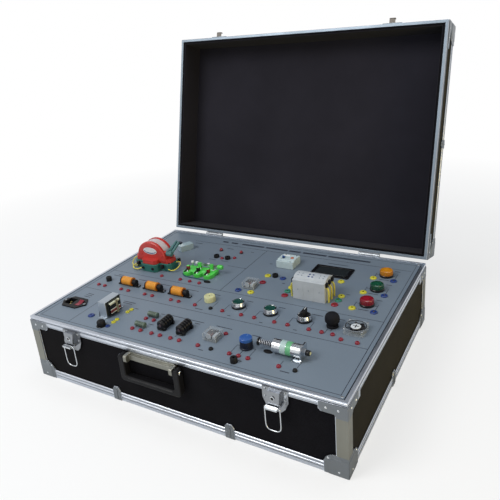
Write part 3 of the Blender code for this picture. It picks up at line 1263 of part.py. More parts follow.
def build_breaker(white, blue, orange):
    """The residual-current breaker with its toggle and test button."""
    x, y, z = on_panel(BREAKER_SHARE)
    half = BREAKER_DEPTH / 2
    top = z + BREAKER_HEIGHT + BREAKER_STEP
    shoulder = z + BREAKER_HEIGHT
    crest = BREAKER_TOP_DEPTH / 2
    body = plate([(y - half, z), (y + half, z), (y + half, shoulder), (y + crest, shoulder),
                  (y + crest - BREAKER_STEP / 2, top), (y - crest + BREAKER_STEP / 2, top), (y - crest,
            shoulder), (y - half, shoulder)], x - BREAKER_WIDTH / 2, x + BREAKER_WIDTH / 2, "X")
    toggle_x = x - BREAKER_WIDTH / 4
    test_x = x + BREAKER_WIDTH / 4
    slot = box((toggle_x - BREAKER_SLOT_WIDTH / 2, y - BREAKER_SLOT_LENGTH / 2, top - BREAKER_SLOT_DEPTH),
               (toggle_x + BREAKER_SLOT_WIDTH / 2, y + BREAKER_SLOT_LENGTH / 2, top + OVERRUN))
    well_side = TEST_SIDE + 2 * CLEAR
    well = box((test_x - well_side / 2, y - well_side / 2, top - TEST_DEPTH), (test_x + well_side / 2,
            y + well_side / 2, top + OVERRUN))
    joint = box((x - CONTACTOR_GROOVE / 2, y - half - OVERRUN, shoulder - BREAKER_STEP / 4),
                (x + CONTACTOR_GROOVE / 2, y - crest, top))
    cut(body, slot, well, joint)
    named(body, "breaker_body", white)

    pivot = Vector((toggle_x, y, top - TOGGLE_HUB))
    toggle = rod((toggle_x - TOGGLE_WIDTH / 2, y, pivot.z), TOGGLE_WIDTH, TOGGLE_HUB, "X", 12)
    paddle = plate([(y - TOGGLE_THICK / 2, pivot.z), (y + TOGGLE_THICK / 2, pivot.z),
                    (y + TOGGLE_THICK / 3, pivot.z + TOGGLE_HEIGHT), (y - TOGGLE_THICK / 3,
            pivot.z + TOGGLE_HEIGHT)], toggle_x - TOGGLE_WIDTH / 2, toggle_x + TOGGLE_WIDTH / 2, "X")
    join(toggle, paddle)
    rotated(toggle, TOGGLE_TILT, "X", pivot)
    named(toggle, "breaker_toggle", blue, pivot)

    low = top - TEST_DEPTH + TEST_TRAVEL + CLEAR
    button = plate(rectangle(TEST_SIDE, TEST_SIDE, (test_x, y)), low, top + TEST_RISE)
    named(button, "test_button", orange, (test_x, y, top))


def lead(x, y, z, side):
    """One yellow lead bowing out from a contactor terminal down to the panel."""
    high = CONTACTOR_HEIGHT * LEAD_TOP_SHARE
    base = z + CLEAR
    points = []
    steps = 5
    for step in range(steps + 1):
        part = step / steps
        out = LEAD_RADIUS + LEAD_BULGE * math.sin(part * TURN / 2)
        points.append((x + side * out, y, z + high - (high - base + z) * part))
    points[0] = (x - side * LEAD_RADIUS, y, z + high)
    return tube(points, LEAD_RADIUS, 1)


def build_contactor(finish):
    """A three-module contactor with an arched crown, terminals and its end leads."""
    x, y, z = on_panel(CONTACTOR_SHARE)
    half = CONTACTOR_DEPTH / 2
    shoulder = z + CONTACTOR_HEIGHT
    crest = half * CONTACTOR_TOP_SHARE
    steps = 8
    arch = [(y + crest * math.cos(step / steps * TURN / 2),
             shoulder + CONTACTOR_CROWN * math.sin(step / steps * TURN / 2)) for step in range(steps + 1)]
    outline = [(y - half, z), (y + half, z), (y + half, shoulder), *arch, (y - half, shoulder)]
    start, end = x - CONTACTOR_WIDTH / 2, x + CONTACTOR_WIDTH / 2
    body = plate(outline, start, end, "X")
    pitch = CONTACTOR_WIDTH / CONTACTOR_MODULES
    grooves = []
    for module in range(1, CONTACTOR_MODULES):
        seam = start + module * pitch
        grooves.append(box((seam - CONTACTOR_GROOVE / 2, y - half - OVERRUN, z + CONTACTOR_GROOVE),
                           (seam + CONTACTOR_GROOVE / 2, y - half + CONTACTOR_GROOVE, shoulder + OVERRUN)))
    cut_all(body, grooves)
    parts = []
    for row in range(LEAD_COUNT):
        lead_y = y - half + CONTACTOR_DEPTH * (row + 1 / 2) / LEAD_COUNT
        for side, face in ((-1, start), (1, end)):
            parts.append(lead(face, lead_y, z, side))
            low, high = sorted((face - side * TERMINAL_SIZE / 2, face + side * TERMINAL_SIZE / 4))
            block_z = z + CONTACTOR_HEIGHT / 3
            block_y = lead_y + TERMINAL_SIZE
            parts.append(box((low, block_y - TERMINAL_SIZE / 2, block_z), (high,
                    block_y + TERMINAL_SIZE / 4, block_z + TERMINAL_SIZE)))
    join_all(body, parts)
    return named(body, "contactor", finish)


def build_relay(name, share, finish):
    """A relay with a clear cover on its base."""
    x, y, z = on_panel(share)
    relay = plate(rounded(RELAY_SIDE + RELAY_LIP, RELAY_SIDE + RELAY_LIP, RELAY_ROUND, (x, y), 2), z,
                  z + RELAY_BASE)
    cover = plate(rounded(RELAY_SIDE, RELAY_SIDE, RELAY_ROUND, (x, y), 2), z + RELAY_BASE / 2,
                  z + RELAY_HEIGHT)
    return named(join(relay, cover), name, finish)


def build_pot(finish):
    """The potentiometer knob: fluted skirt, cap and the spindle through the panel."""
    place = on_panel(POT_SHARE)
    profile = ((0, -POT_STEM_DEPTH), (POT_STEM, -POT_STEM_DEPTH), (POT_STEM, 0), (POT_SKIRT, 0),
               (POT_SKIRT, CHAMFER * 2), (POT_RADIUS, CHAMFER * 4), (POT_RADIUS, POT_HEIGHT - CHAMFER),
               (POT_RADIUS - CHAMFER, POT_HEIGHT), (0, POT_HEIGHT))
    return named(turned(profile, place, "Z", POT_SIDES), "pot_knob", finish, place)


def spring_path(start, y, z):
    """The points of the solenoid's spring, with a straight end at each seat."""
    wire = SPRING_WIRE * 2
    run = SPRING_LENGTH - 2 * wire - 2 * CLEAR
    points = [Vector((start + CLEAR, y + SPRING_RADIUS, z))]
    for step in range(SPRING_TURNS * SPRING_STEPS + 1):
        angle = step / SPRING_STEPS * TURN
        along = start + CLEAR + wire + run * step / (SPRING_TURNS * SPRING_STEPS)
        points.append(Vector((along, y + SPRING_RADIUS * math.cos(angle),
                              z + SPRING_RADIUS * math.sin(angle))))
    points.append(Vector((start + SPRING_LENGTH - CLEAR, y + SPRING_RADIUS, z)))
    return points


def least_gap(points, radius, apart):
    """The least clear space between stretches of one wire that aren't neighbours."""
    gaps = [(first - second).length for index,
            first in enumerate(points) for second in points[index + apart:]]
    return min(gaps) - 2 * radius


def build_solenoid(metal, black, steel):
    """The solenoid: barrel on its bracket, plunger, and the spring that returns it."""
    x, y, z = on_panel(SOLENOID_SHARE)
    axis_z = z + SOLENOID_HEIGHT
    start = x - SOLENOID_LENGTH / 2
    end = x + SOLENOID_LENGTH / 2
    band = SOLENOID_RADIUS + SOLENOID_BAND
    cheek = SOLENOID_CHEEK
    profile = ((SOLENOID_BORE, 0), (band, 0), (band, cheek), (SOLENOID_RADIUS, cheek), (SOLENOID_RADIUS,
            SOLENOID_LENGTH - cheek), (band, SOLENOID_LENGTH - cheek), (band, SOLENOID_LENGTH),
               (SOLENOID_BORE, SOLENOID_LENGTH))
    body = turned(profile, (start, y, axis_z), "X", 24, closed=True)
    face = end + SOLENOID_BRACKET
    wall = plate(rounded(SOLENOID_BRACKET_WIDTH, SOLENOID_HEIGHT * 2, SOLENOID_HEIGHT / 3, (y,
            z + SOLENOID_HEIGHT), 2), end - SOLENOID_BRACKET / 2, face, "X")
    foot = box((face - SOLENOID_FOOT_LENGTH, y - SOLENOID_FOOT_WIDTH / 2, z), (face,
            y + SOLENOID_FOOT_WIDTH / 2, z + SOLENOID_BRACKET))
    nut = rod((face - OVERRUN, y, axis_z), SOLENOID_NUT_HEIGHT + OVERRUN, SOLENOID_NUT, "X", 6)
    post = box((end - 2 * SOLENOID_BRACKET, y - SOLENOID_BRACKET_WIDTH / 3, z), (face,
            y + SOLENOID_BRACKET_WIDTH / 3, z + SOLENOID_HEIGHT / 2))
    join(body, wall, post, foot, nut)
    bore = rod((start - OVERRUN, y, axis_z), SOLENOID_LENGTH + 4 * SOLENOID_NUT, SOLENOID_BORE, "X", 16)
    named(cut(body, bore), "solenoid_body", metal)

    disc_face = start - SPRING_LENGTH
    rod_radius = SOLENOID_BORE - PLUNGER_GAP
    tail = face + SOLENOID_NUT_HEIGHT + PLUNGER_TAIL
    disc_start = disc_face - PLUNGER_DISC_THICK
    length = tail - disc_start
    plunger = turned(((0, 0), (PLUNGER_DISC, 0), (PLUNGER_DISC, PLUNGER_DISC_THICK), (rod_radius,
            PLUNGER_DISC_THICK), (rod_radius, length - CHAMFER), (rod_radius - CHAMFER, length), (0,
            length)), (disc_start, y, axis_z), "X", 14)
    named(plunger, "solenoid_plunger", black, (disc_face, y, axis_z))

    points = spring_path(disc_face, y, axis_z)
    print("least gap of the spring's turns, mm:", round(1000 * least_gap(points, SPRING_WIRE,
            SPRING_STEPS - 2), 2))
    named(tube(points, SPRING_WIRE, 1), "solenoid_spring", steel, (start, y, axis_z))


def build_transformer(sheet, core):
    """A small clamp transformer: bent sheet frame round a core with its wound bobbin."""
    x, y, z = on_panel(TRANSFORMER_SHARE)
    half_x, half_y = TRANSFORMER_WIDTH / 2, TRANSFORMER_DEPTH / 2
    top = z + TRANSFORMER_HEIGHT
    thick = TRANSFORMER_SHEET
    frame = box((x - half_x, y - half_y, z), (x + half_x, y + half_y, top))
    cut(frame, box((x - half_x + thick, y - half_y + thick, z - OVERRUN), (x + half_x + OVERRUN,
            y + half_y - thick, top - thick)))
    for side in (-1, 1):
        low, high = sorted((y + side * (half_y - thick), y + side * (half_y + TRANSFORMER_FOOT)))
        join(frame, box((x - half_x, low, z), (x + half_x * 3 / 4, high, z + thick)))
    named(frame, "transformer_frame", sheet)

    gap = thick + CLEAR
    stack_x = x - half_x + gap
    block = box((stack_x, y - half_y + gap, z), (stack_x + CORE_STACK, y + half_y - gap, top - gap))
    bobbin_x = x + half_x
    bobbin_half = BOBBIN_DEPTH / 2
    bobbin = box((stack_x + CORE_STACK / 2, y - bobbin_half, z + BOBBIN_FLANGE), (bobbin_x,
            y + bobbin_half, top - gap - BOBBIN_FLANGE))
    flanges = [box((stack_x + CORE_STACK / 2, y + side * bobbin_half - BOBBIN_FLANGE / 2,
                    z + BOBBIN_FLANGE / 2), (bobbin_x + BOBBIN_PROUD / 2,
                                             y + side * bobbin_half + BOBBIN_FLANGE / 2,
                                             top - gap - BOBBIN_FLANGE / 2)) for side in (-1, 1)]
    named(join(block, bobbin, *flanges), "transformer_core", core)


def build_fuse(finish):
    """The fuse holder's cap with its slot and carrier."""
    place = on_panel(FUSE_SHARE, FUSE_SEAT)
    x, y, z = place
    cap = turned(((0, -FUSE_STEM_DEPTH), (FUSE_STEM, -FUSE_STEM_DEPTH), (FUSE_STEM, 0), (FUSE_RADIUS, 0),
                   (FUSE_RADIUS, FUSE_HEIGHT - CHAMFER), (FUSE_RADIUS - CHAMFER, FUSE_HEIGHT), (0,
            FUSE_HEIGHT)), place, "Z", 16)
    slot = box((x - FUSE_RADIUS, y - FUSE_SLOT / 2, z + FUSE_HEIGHT - FUSE_SLOT), (x + FUSE_RADIUS,
            y + FUSE_SLOT / 2, z + FUSE_HEIGHT + OVERRUN))
    return named(cut(cap, slot), "fuse_cap", finish, place)


def build_inlet(black, red):
    """The mains inlet with its plug recess and pins, and the lit rocker switch beside it."""
    x, y, z = on_panel(INLET_SHARE)
    half_x, half_y = INLET_LENGTH / 2, INLET_WIDTH / 2
    shoulder = half_x - INLET_POINT
    outline = [(x + half_x, y), (x + shoulder, y + half_y), (x - shoulder, y + half_y), (x - half_x, y),
               (x - shoulder, y - half_y), (x + shoulder, y - half_y)]
    body = plate(outline, z, z + INLET_FLANGE)
    join(body, box((x - INLET_BODY_LENGTH / 2, y - INLET_BODY_WIDTH / 2, z - INLET_BODY_DEPTH),
                   (x + INLET_BODY_LENGTH / 2, y + INLET_BODY_WIDTH / 2, z + INLET_FLANGE / 2)))
    recess_x = x - INLET_BODY_LENGTH / 2 + OVERRUN + INLET_RECESS_LENGTH / 2
    top = z + INLET_FLANGE
    recess = plate(rounded(INLET_RECESS_LENGTH, INLET_RECESS_WIDTH, INLET_PIN, (recess_x, y), 2),
                   top - INLET_RECESS_DEPTH, top + OVERRUN)
    rocker_x = x + ROCKER_SHIFT
    well_gap = 2 * ROCKER_GAP
    well = box((rocker_x - ROCKER_LENGTH / 2 - ROCKER_GAP, y - ROCKER_WIDTH / 2 - ROCKER_GAP,
                top - ROCKER_DEPTH - well_gap), (rocker_x + ROCKER_LENGTH / 2 + ROCKER_GAP,
                                                 y + ROCKER_WIDTH / 2 + ROCKER_GAP, top + OVERRUN))
    cut(body, recess, well)
    floor = top - INLET_RECESS_DEPTH
    for pin, (shift_x, shift_y) in enumerate(((0, -1), (0, 0), (0, 1))):
        pin_x = recess_x + shift_x * INLET_PIN_PITCH + (INLET_PIN if pin == 1 else 0)
        pin_y = y + shift_y * INLET_PIN_PITCH
        join(body, box((pin_x - INLET_PIN, pin_y - INLET_PIN / 2, floor - OVERRUN), (pin_x + INLET_PIN,
                pin_y + INLET_PIN / 2, floor + INLET_PIN_HEIGHT)))
    named(body, "inlet_body", black)

    pivot = Vector((rocker_x, y, top - ROCKER_DEPTH / 2))
    half = ROCKER_WIDTH / 2 - ROCKER_GAP
    rocker = plate([(y - half, pivot.z), (y - half / 2, top - ROCKER_DEPTH), (y + half / 2,
            top - ROCKER_DEPTH), (y + half, pivot.z), (y + half, top + ROCKER_RISE), (y, top), (y - half,
             top + ROCKER_RISE)], rocker_x - ROCKER_LENGTH / 2, rocker_x + ROCKER_LENGTH / 2, "X")
    rotated(rocker, ROCKER_TILT, "X", pivot)
    named(rocker, "inlet_rocker", red, pivot)


def cross_outline(x, y, inset):
    """The generator's plan: a wide arm across and a front lobe, drawn in by an inset."""
    half = GENERATOR_LENGTH / 2 - inset
    arm_low = y + inset
    arm_high = y + GENERATOR_ARM_DEPTH - inset
    lobe = GENERATOR_FRONT_WIDTH / 2 - inset
    front = y - (GENERATOR_DEPTH - GENERATOR_ARM_DEPTH) / 2 + inset
    back = y + (GENERATOR_DEPTH + GENERATOR_ARM_DEPTH) / 2 - inset
    turn = GENERATOR_ROUND
    quarter = [(lobe, front + turn), (lobe, arm_low), (half - turn, arm_low), (half, arm_low + turn),
               (half, arm_high - turn), (half - turn, arm_high), (lobe, arm_high), (lobe, back - turn),
               (lobe - turn, back)]
    right = [(lobe - turn, front)] + quarter
    return [(x + across, up) for across, up in right] + [(x - across, up) for across, up in reversed(right)]


def build_generator(green, red, dark):
    """The generator: plus-shaped foot, drum housing, and the side arm."""
    x, y, z = on_panel(GENERATOR_SHARE)
    arm_y = y - GENERATOR_ARM_DEPTH / 2
    foot = plate(cross_outline(x, arm_y, 0), z, z + GENERATOR_FOOT)
    named(foot, "generator_foot", green)

    low = z + GENERATOR_FOOT + CLEAR
    housing = plate(cross_outline(x, arm_y, GENERATOR_INSET), low, low + GENERATOR_FLANGE)
    axis_z = z + DRUM_HEIGHT
    drum_start = y - DRUM_LENGTH / 2
    rib = DRUM_RADIUS + DRUM_RIB
    width = DRUM_RIB_WIDTH
    profile = ((0, 0), (rib - DRUM_RIB, 0), (rib, DRUM_RIB), (rib, width), (DRUM_RADIUS, width),
               (DRUM_RADIUS, DRUM_LENGTH - width), (rib, DRUM_LENGTH - width), (rib,
            DRUM_LENGTH - DRUM_RIB), (rib - DRUM_RIB, DRUM_LENGTH), (0, DRUM_LENGTH))
    drum = turned(profile, (x, drum_start, axis_z), "Y", DRUM_SIDES)
    cut(drum, box((x - 2 * rib, y - DRUM_LENGTH, z - 2 * rib), (x + 2 * rib, y + DRUM_LENGTH,
                                                                low + GENERATOR_FLANGE / 2)))
    oval = plate(ellipse(DRUM_OVAL_WIDTH, DRUM_OVAL_HEIGHT, (x, axis_z + DRUM_RADIUS / 2)),
                 drum_start - DRUM_OVAL_RISE, drum_start + OVERRUN, "Y")
    boss_x = x + rib
    boss_y = drum_start + DRUM_RIB_WIDTH + ARM_BOSS / 2
    boss_z = z + ARM_BOSS_HEIGHT
    boss = rod((x + rib / 2, boss_y, boss_z), rib / 2, ARM_BOSS * 2 / 3, "X", 12)
    join(housing, drum, oval, boss)
    named(housing, "generator_housing", red)

    start = boss_x + CLEAR
    arm = rod((start, boss_y, boss_z), ARM_THICK, ARM_BOSS, "X", 14)
    bar = box((start, boss_y, boss_z - ARM_WIDTH / 2), (start + ARM_THICK, boss_y + ARM_LENGTH,
                                                        boss_z + ARM_WIDTH / 2))
    pin = rod((start, boss_y + ARM_LENGTH - ARM_PIN, boss_z), ARM_PIN_LENGTH, ARM_PIN, "X", 10)
    join(arm, bar, pin)
    pivot = (start, boss_y, boss_z)
    rotated(arm, ARM_RISE, "X", pivot)
    named(arm, "generator_arm", dark, pivot)


def build_knife_switch(green, steel):
    """The knife switch: lobed base with posts and clips, and the hinged blade with its knob."""
    x, y, z = on_panel(KNIFE_SHARE)
    half = KNIFE_WIDTH / 2
    base = plate(rounded(KNIFE_WIDTH, KNIFE_DEPTH, KNIFE_HEIGHT / 3, (x, y), 2), z, z + KNIFE_HEIGHT)
    lobe_y = y - KNIFE_DEPTH / 2
    for lobe in (-1, 0, 1):
        lobe_x = x + lobe * (half - KNIFE_LOBE)
        join(base, rod((lobe_x, lobe_y, z), KNIFE_HEIGHT, KNIFE_LOBE, "Z", 18))
        post_x = lobe_x - KNIFE_LOBE / 3
        join(base, turned(((0, 0), (KNIFE_POST, 0), (KNIFE_POST, KNIFE_POST_HEIGHT - CHAMFER),
                           (KNIFE_POST - CHAMFER, KNIFE_POST_HEIGHT), (0, KNIFE_POST_HEIGHT)), (post_x,
                y - KNIFE_DEPTH / 4, z + KNIFE_HEIGHT - OVERRUN), "Z", 10))
    blade_y = y + KNIFE_DEPTH / 2 * KNIFE_BACK_SHARE
    slot = KNIFE_BLADE_THICK / 2 + KNIFE_GAP
    pivot_x = x + half * KNIFE_PIVOT_SHARE
    jaw_x = x + half * KNIFE_JAW_SHARE
    clip_top = z + KNIFE_HEIGHT + KNIFE_CLIP_HEIGHT
    for clip_x in (pivot_x, jaw_x):
        for side in (-1, 1):
            low, high = sorted((blade_y + side * slot, blade_y + side * (slot + KNIFE_CLIP_THICK)))
            join(base, box((clip_x - KNIFE_CLIP_WIDTH / 2, low, z + KNIFE_HEIGHT - OVERRUN),
                           (clip_x + KNIFE_CLIP_WIDTH / 2, high, clip_top)))
    pivot_z = clip_top - KNIFE_HUB
    pin_start = blade_y - slot - KNIFE_CLIP_THICK
    join(base, rod((pivot_x, pin_start, pivot_z), 2 * (slot + KNIFE_CLIP_THICK), LEVER_PIN, "Y", 10))
    named(base, "knife_base", green)

    bore = LEVER_PIN + CLEAR
    hub_y = blade_y - KNIFE_BLADE_THICK / 2
    blade = turned(((bore, 0), (KNIFE_HUB, 0), (KNIFE_HUB, KNIFE_BLADE_THICK), (bore, KNIFE_BLADE_THICK)),
                   (pivot_x, hub_y, pivot_z), "Y", 14, closed=True)
    reach = pivot_x + KNIFE_BLADE_LENGTH
    bar = box((pivot_x + bore + CLEAR, hub_y, pivot_z - KNIFE_BLADE_HEIGHT / 2), (reach,
            hub_y + KNIFE_BLADE_THICK, pivot_z + KNIFE_BLADE_HEIGHT / 2))
    knob = turned(((0, 0), (KNIFE_KNOB * 2 / 3, 0), (KNIFE_KNOB, KNIFE_KNOB / 2), (KNIFE_KNOB,
            KNIFE_KNOB_LENGTH - CHAMFER), (KNIFE_KNOB - CHAMFER, KNIFE_KNOB_LENGTH), (0,
            KNIFE_KNOB_LENGTH)), (reach - OVERRUN, blade_y, pivot_z), "X", 12)
    join(blade, bar, knob)
    named(blade, "knife_blade", steel, (pivot_x, blade_y, pivot_z))


def build_supply(finish):
    """The power supply on its pillars inside the base."""
    x = SUPPLY_SHARE[0] * PANEL_HALF_WIDTH
    y = SUPPLY_SHARE[1] * PANEL_HALF_DEPTH
    low = FLOOR + CLEAR
    board_low = low + SUPPLY_PILLAR_HEIGHT
    board = plate(rectangle(SUPPLY_LENGTH, SUPPLY_WIDTH, (x, y)), board_low, board_low + SUPPLY_BOARD)
    for side_x in (-1, 1):
        for side_y in (-1, 1):
            place = (x + side_x * (SUPPLY_LENGTH / 2 - SUPPLY_INSET),
                     y + side_y * (SUPPLY_WIDTH / 2 - SUPPLY_INSET), low)
            join(board, rod(place, SUPPLY_PILLAR_HEIGHT + SUPPLY_BOARD / 2, SUPPLY_PILLAR, "Z", 8))
    board_top = board_low + SUPPLY_BOARD / 2
    block_x = x - SUPPLY_LENGTH / 4
    join(board, box((block_x - SUPPLY_BLOCK_LENGTH / 2, y - SUPPLY_BLOCK_WIDTH / 2, board_top),
                    (block_x + SUPPLY_BLOCK_LENGTH / 2, y + SUPPLY_BLOCK_WIDTH / 2,
                     board_top + SUPPLY_BLOCK_HEIGHT)))
    for row in (-1, 1):
        place = (x + SUPPLY_LENGTH / 4, y + row * SUPPLY_WIDTH / 5, board_top)
        join(board, rod(place, SUPPLY_CAN_HEIGHT, SUPPLY_CAN_RADIUS, "Z", 14))
    return named(board, "power_supply", finish)


def clear_scene():
    """Remove the objects that a new file starts with."""
    for item in list(bpy.data.objects):
        bpy.data.objects.remove(item)


def build_case(paint):
    """The case, its lid and what fastens them."""
    lid = bpy.data.objects.new("lid_pivot", None)
    bpy.context.scene.collection.objects.link(lid)
    lid.location = (0, HINGE_Y, BASE_HEIGHT)
    lid.rotation_euler = (-LID_OPEN, 0, 0)
    build_base_shell(paint["skin"])
    bracket_high = BASE_HEIGHT - BRACKET_DROP
    build_rim("base_rim", paint["aluminium"], RIM_BOTTOM, BASE_HEIGHT, BASE_HEIGHT - RIM_GROOVE_DROP,
              bracket_high - BRACKET_HEIGHT, bracket_high)
    build_edging("base_edging", paint["aluminium"], 0, BASE_HEIGHT, POST_TOP)
    catches = [catch(side * LATCH_PLACE_SHARE * HALF_WIDTH) for side in (-1, 1)]
    bracket_low = LID_BOTTOM + BRACKET_DROP
    build_rim("lid_rim", paint["aluminium"], LID_BOTTOM, LID_RIM_TOP, LID_BOTTOM + RIM_GROOVE_DROP,
              bracket_low, bracket_low + BRACKET_HEIGHT, catches, lid)
    build_edging("lid_edging", paint["aluminium"], LID_TOP, BASE_HEIGHT,
                 bracket_low + BRACKET_HEIGHT + CLEAR, lid)
    build_lid_shell(paint["skin"], lid)
    build_lid_lining(paint["lining"], lid)
    build_hinges(paint["steel"], lid)
    build_latches(paint["chrome"])
    build_handle(paint["chrome"], paint["black"])


def build_components(paint):
    """Everything that stands on the panel or under it."""
    build_panel(paint["panel"])
    for name, share in COIL_SHARES.items():
        build_coil(name, share, paint["orange"])
    for name, share in CHOKE_SHARES.items():
        build_choke(name, share, paint["black"])
    for name, share in RELAY_SHARES.items():
        build_relay(name, share, paint["clear"])
    build_buzzer(paint["cream"])
    for name, share in BUTTON_SHARES.items():
        build_bezel(f"{name}_bezel", share, paint["chrome"])
        build_button(name, share, paint["green"])
    build_bezel("selector_bezel", SELECTOR_SHARE, paint["chrome"])
    build_selector(paint["black"])
    build_mushroom(paint["black"])
    for name, share in LAMP_SHARES.items():
        build_lamp(name, share, paint[name.split("_")[1]])
    build_fan(paint["clear"], paint["black"])
    build_display(paint["black"])
    build_breaker(paint["white"], paint["blue"], paint["orange"])
    build_contactor(paint["white"])
    build_pot(paint["black"])
    build_solenoid(paint["chrome"], paint["black"], paint["steel"])
    build_transformer(paint["aluminium"], paint["black"])
    build_fuse(paint["black"])
    build_inlet(paint["black"], paint["red"])
    build_generator(paint["green"], paint["red"], paint["teal"])
    build_knife_switch(paint["bright_green"], paint["steel"])
    build_supply(paint["board"])


def main():
    """Build the whole trainer."""
    clear_scene()
    paint = {
        "skin": material("black_skin", (0.012, 0.012, 0.015), 0.55),
        "lining": material("lid_lining", (0.02, 0.02, 0.025), 0.9),
        "aluminium": material("aluminium", (0.75, 0.78, 0.82), 0.35, 1.0),
        "chrome": material("chrome", (0.8, 0.8, 0.82), 0.15, 1.0),
        "steel": material("steel", (0.6, 0.6, 0.62), 0.35, 1.0),
        "panel": material("panel_grey", (0.17, 0.2, 0.26), 0.5),
        "black": material("black_plastic", (0.02, 0.02, 0.022), 0.4),
        "white": material("white_plastic", (0.6, 0.63, 0.65), 0.4),
        "cream": material("cream_plastic", (0.6, 0.6, 0.36), 0.5),
        "orange": material("orange", (0.8, 0.35, 0.03), 0.4),
        "red": material("red", (0.55, 0.08, 0.05), 0.4),
        "green": material("green", (0.02, 0.14, 0.1), 0.4),
        "bright_green": material("bright_green", (0.1, 0.55, 0.12), 0.4),
        "teal": material("teal", (0.03, 0.15, 0.13), 0.4),
        "blue": material("blue", (0.02, 0.04, 0.25), 0.4),
        "clear": material("clear_plastic", (0.7, 0.75, 0.8), 0.1, 0.0, 0.6),
        "board": material("circuit_board", (0.03, 0.2, 0.08), 0.5),
    }
    build_case(paint)
    build_components(paint)


main()
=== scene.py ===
"""Dresses the circuit training case: finishes, modelled detail, printed panel, lamps and camera."""

import logging
import math
from dataclasses import dataclass
from enum import Enum
from typing import ClassVar, Iterable, Sequence

import bpy
from mathutils import Matrix, Vector

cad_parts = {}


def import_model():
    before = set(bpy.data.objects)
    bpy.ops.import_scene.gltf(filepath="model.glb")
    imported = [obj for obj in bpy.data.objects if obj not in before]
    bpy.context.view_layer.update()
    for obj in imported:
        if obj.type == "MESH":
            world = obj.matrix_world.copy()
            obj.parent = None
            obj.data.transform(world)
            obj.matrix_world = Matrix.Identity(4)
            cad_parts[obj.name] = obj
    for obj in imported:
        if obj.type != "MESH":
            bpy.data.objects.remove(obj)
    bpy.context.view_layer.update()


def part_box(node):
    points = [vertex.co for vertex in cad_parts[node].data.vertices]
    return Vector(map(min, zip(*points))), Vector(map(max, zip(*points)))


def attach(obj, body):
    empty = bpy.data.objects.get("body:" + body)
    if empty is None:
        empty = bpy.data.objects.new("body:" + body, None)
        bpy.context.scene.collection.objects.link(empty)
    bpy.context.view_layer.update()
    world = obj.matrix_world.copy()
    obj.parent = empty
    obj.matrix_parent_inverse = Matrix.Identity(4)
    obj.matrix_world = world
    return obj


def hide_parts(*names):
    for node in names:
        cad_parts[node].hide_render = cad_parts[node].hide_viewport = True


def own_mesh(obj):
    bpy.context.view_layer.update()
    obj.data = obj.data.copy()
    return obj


LOG = logging.getLogger("dressing")
MM = 0.001
MERGE = 1e-6
TURN = 2 * math.pi
PANEL_Z = 142.5
SEAT_Z = 142.8
ORIGIN = (0, 0, 0)
SIDES = (("left", -1), ("right", 1))
WAYS = (-1, 1)

Spot = tuple[float, float]
Point = tuple[float, float, float]
Shade = tuple[int, int, int]
Mesh = bpy.types.Object


class Axis(Enum):
    """The direction that a round piece is turned on, or a plate is thick along."""

    X = 0
    Y = 1
    Z = 2

    @property
    def along(self) -> Vector:
        """The unit vector of the axis."""
        return Vector([float(index == self.value) for index in range(3)])

    @property
    def tilt(self) -> Point:
        """The rotation that stands a flat circle square to the axis."""
        return ((0, math.pi / 2, 0), (-math.pi / 2, 0, 0), (0, 0, 0))[self.value]

    def spot(self, across: float, up: float, depth: float) -> Vector:
        """The point of a plate's outline, with its depth along the axis."""
        return Vector(((depth, across, up), (across, depth, up), (across, up, depth))[self.value])


class Num:
    """One number of a shader, so that shader maths reads as Python."""

    def __init__(self, paint: "Paint", socket: bpy.types.NodeSocket) -> None:
        """Keeps the tree and the socket that carries the number."""
        self.paint = paint
        self.socket = socket

    def _math(self, operation: str, left: "Num | float", right: "Num | float") -> "Num":
        """Adds one Math node."""
        return self.paint.node("ShaderNodeMath", {"operation": operation}, {0: left, 1: right})

    def __add__(self, other: "Num | float") -> "Num":
        """Adds."""
        return self._math("ADD", self, other)

    def __sub__(self, other: "Num | float") -> "Num":
        """Subtracts."""
        return self._math("SUBTRACT", self, other)

    def __rsub__(self, other: float) -> "Num":
        """Subtracts this from a number."""
        return self._math("SUBTRACT", other, self)

    def __mul__(self, other: "Num | float") -> "Num":
        """Multiplies."""
        return self._math("MULTIPLY", self, other)

    def __gt__(self, other: "Num | float") -> "Num":
        """One where this is the greater, and nought elsewhere."""
        return self._math("GREATER_THAN", self, other)

    __radd__ = __add__
    __rmul__ = __mul__

    def root(self) -> "Num":
        """Its square root."""
        return self._math("POWER", self, 0.5)

    def wave(self, pitch: float) -> "Num":
        """A sine from nought to one that repeats every pitch, in metres."""
        swing = self._math("SINE", self * (TURN / pitch), 0.0)
        return swing * 0.5 + 0.5

    def between(self, low: float, high: float) -> "Num":
        """Rises from nought at low to one at high, and stays in that range."""
        return self.paint.node("ShaderNodeMapRange", {"clamp": True},
            {"Value": self, "From Min": low, "From Max": high})


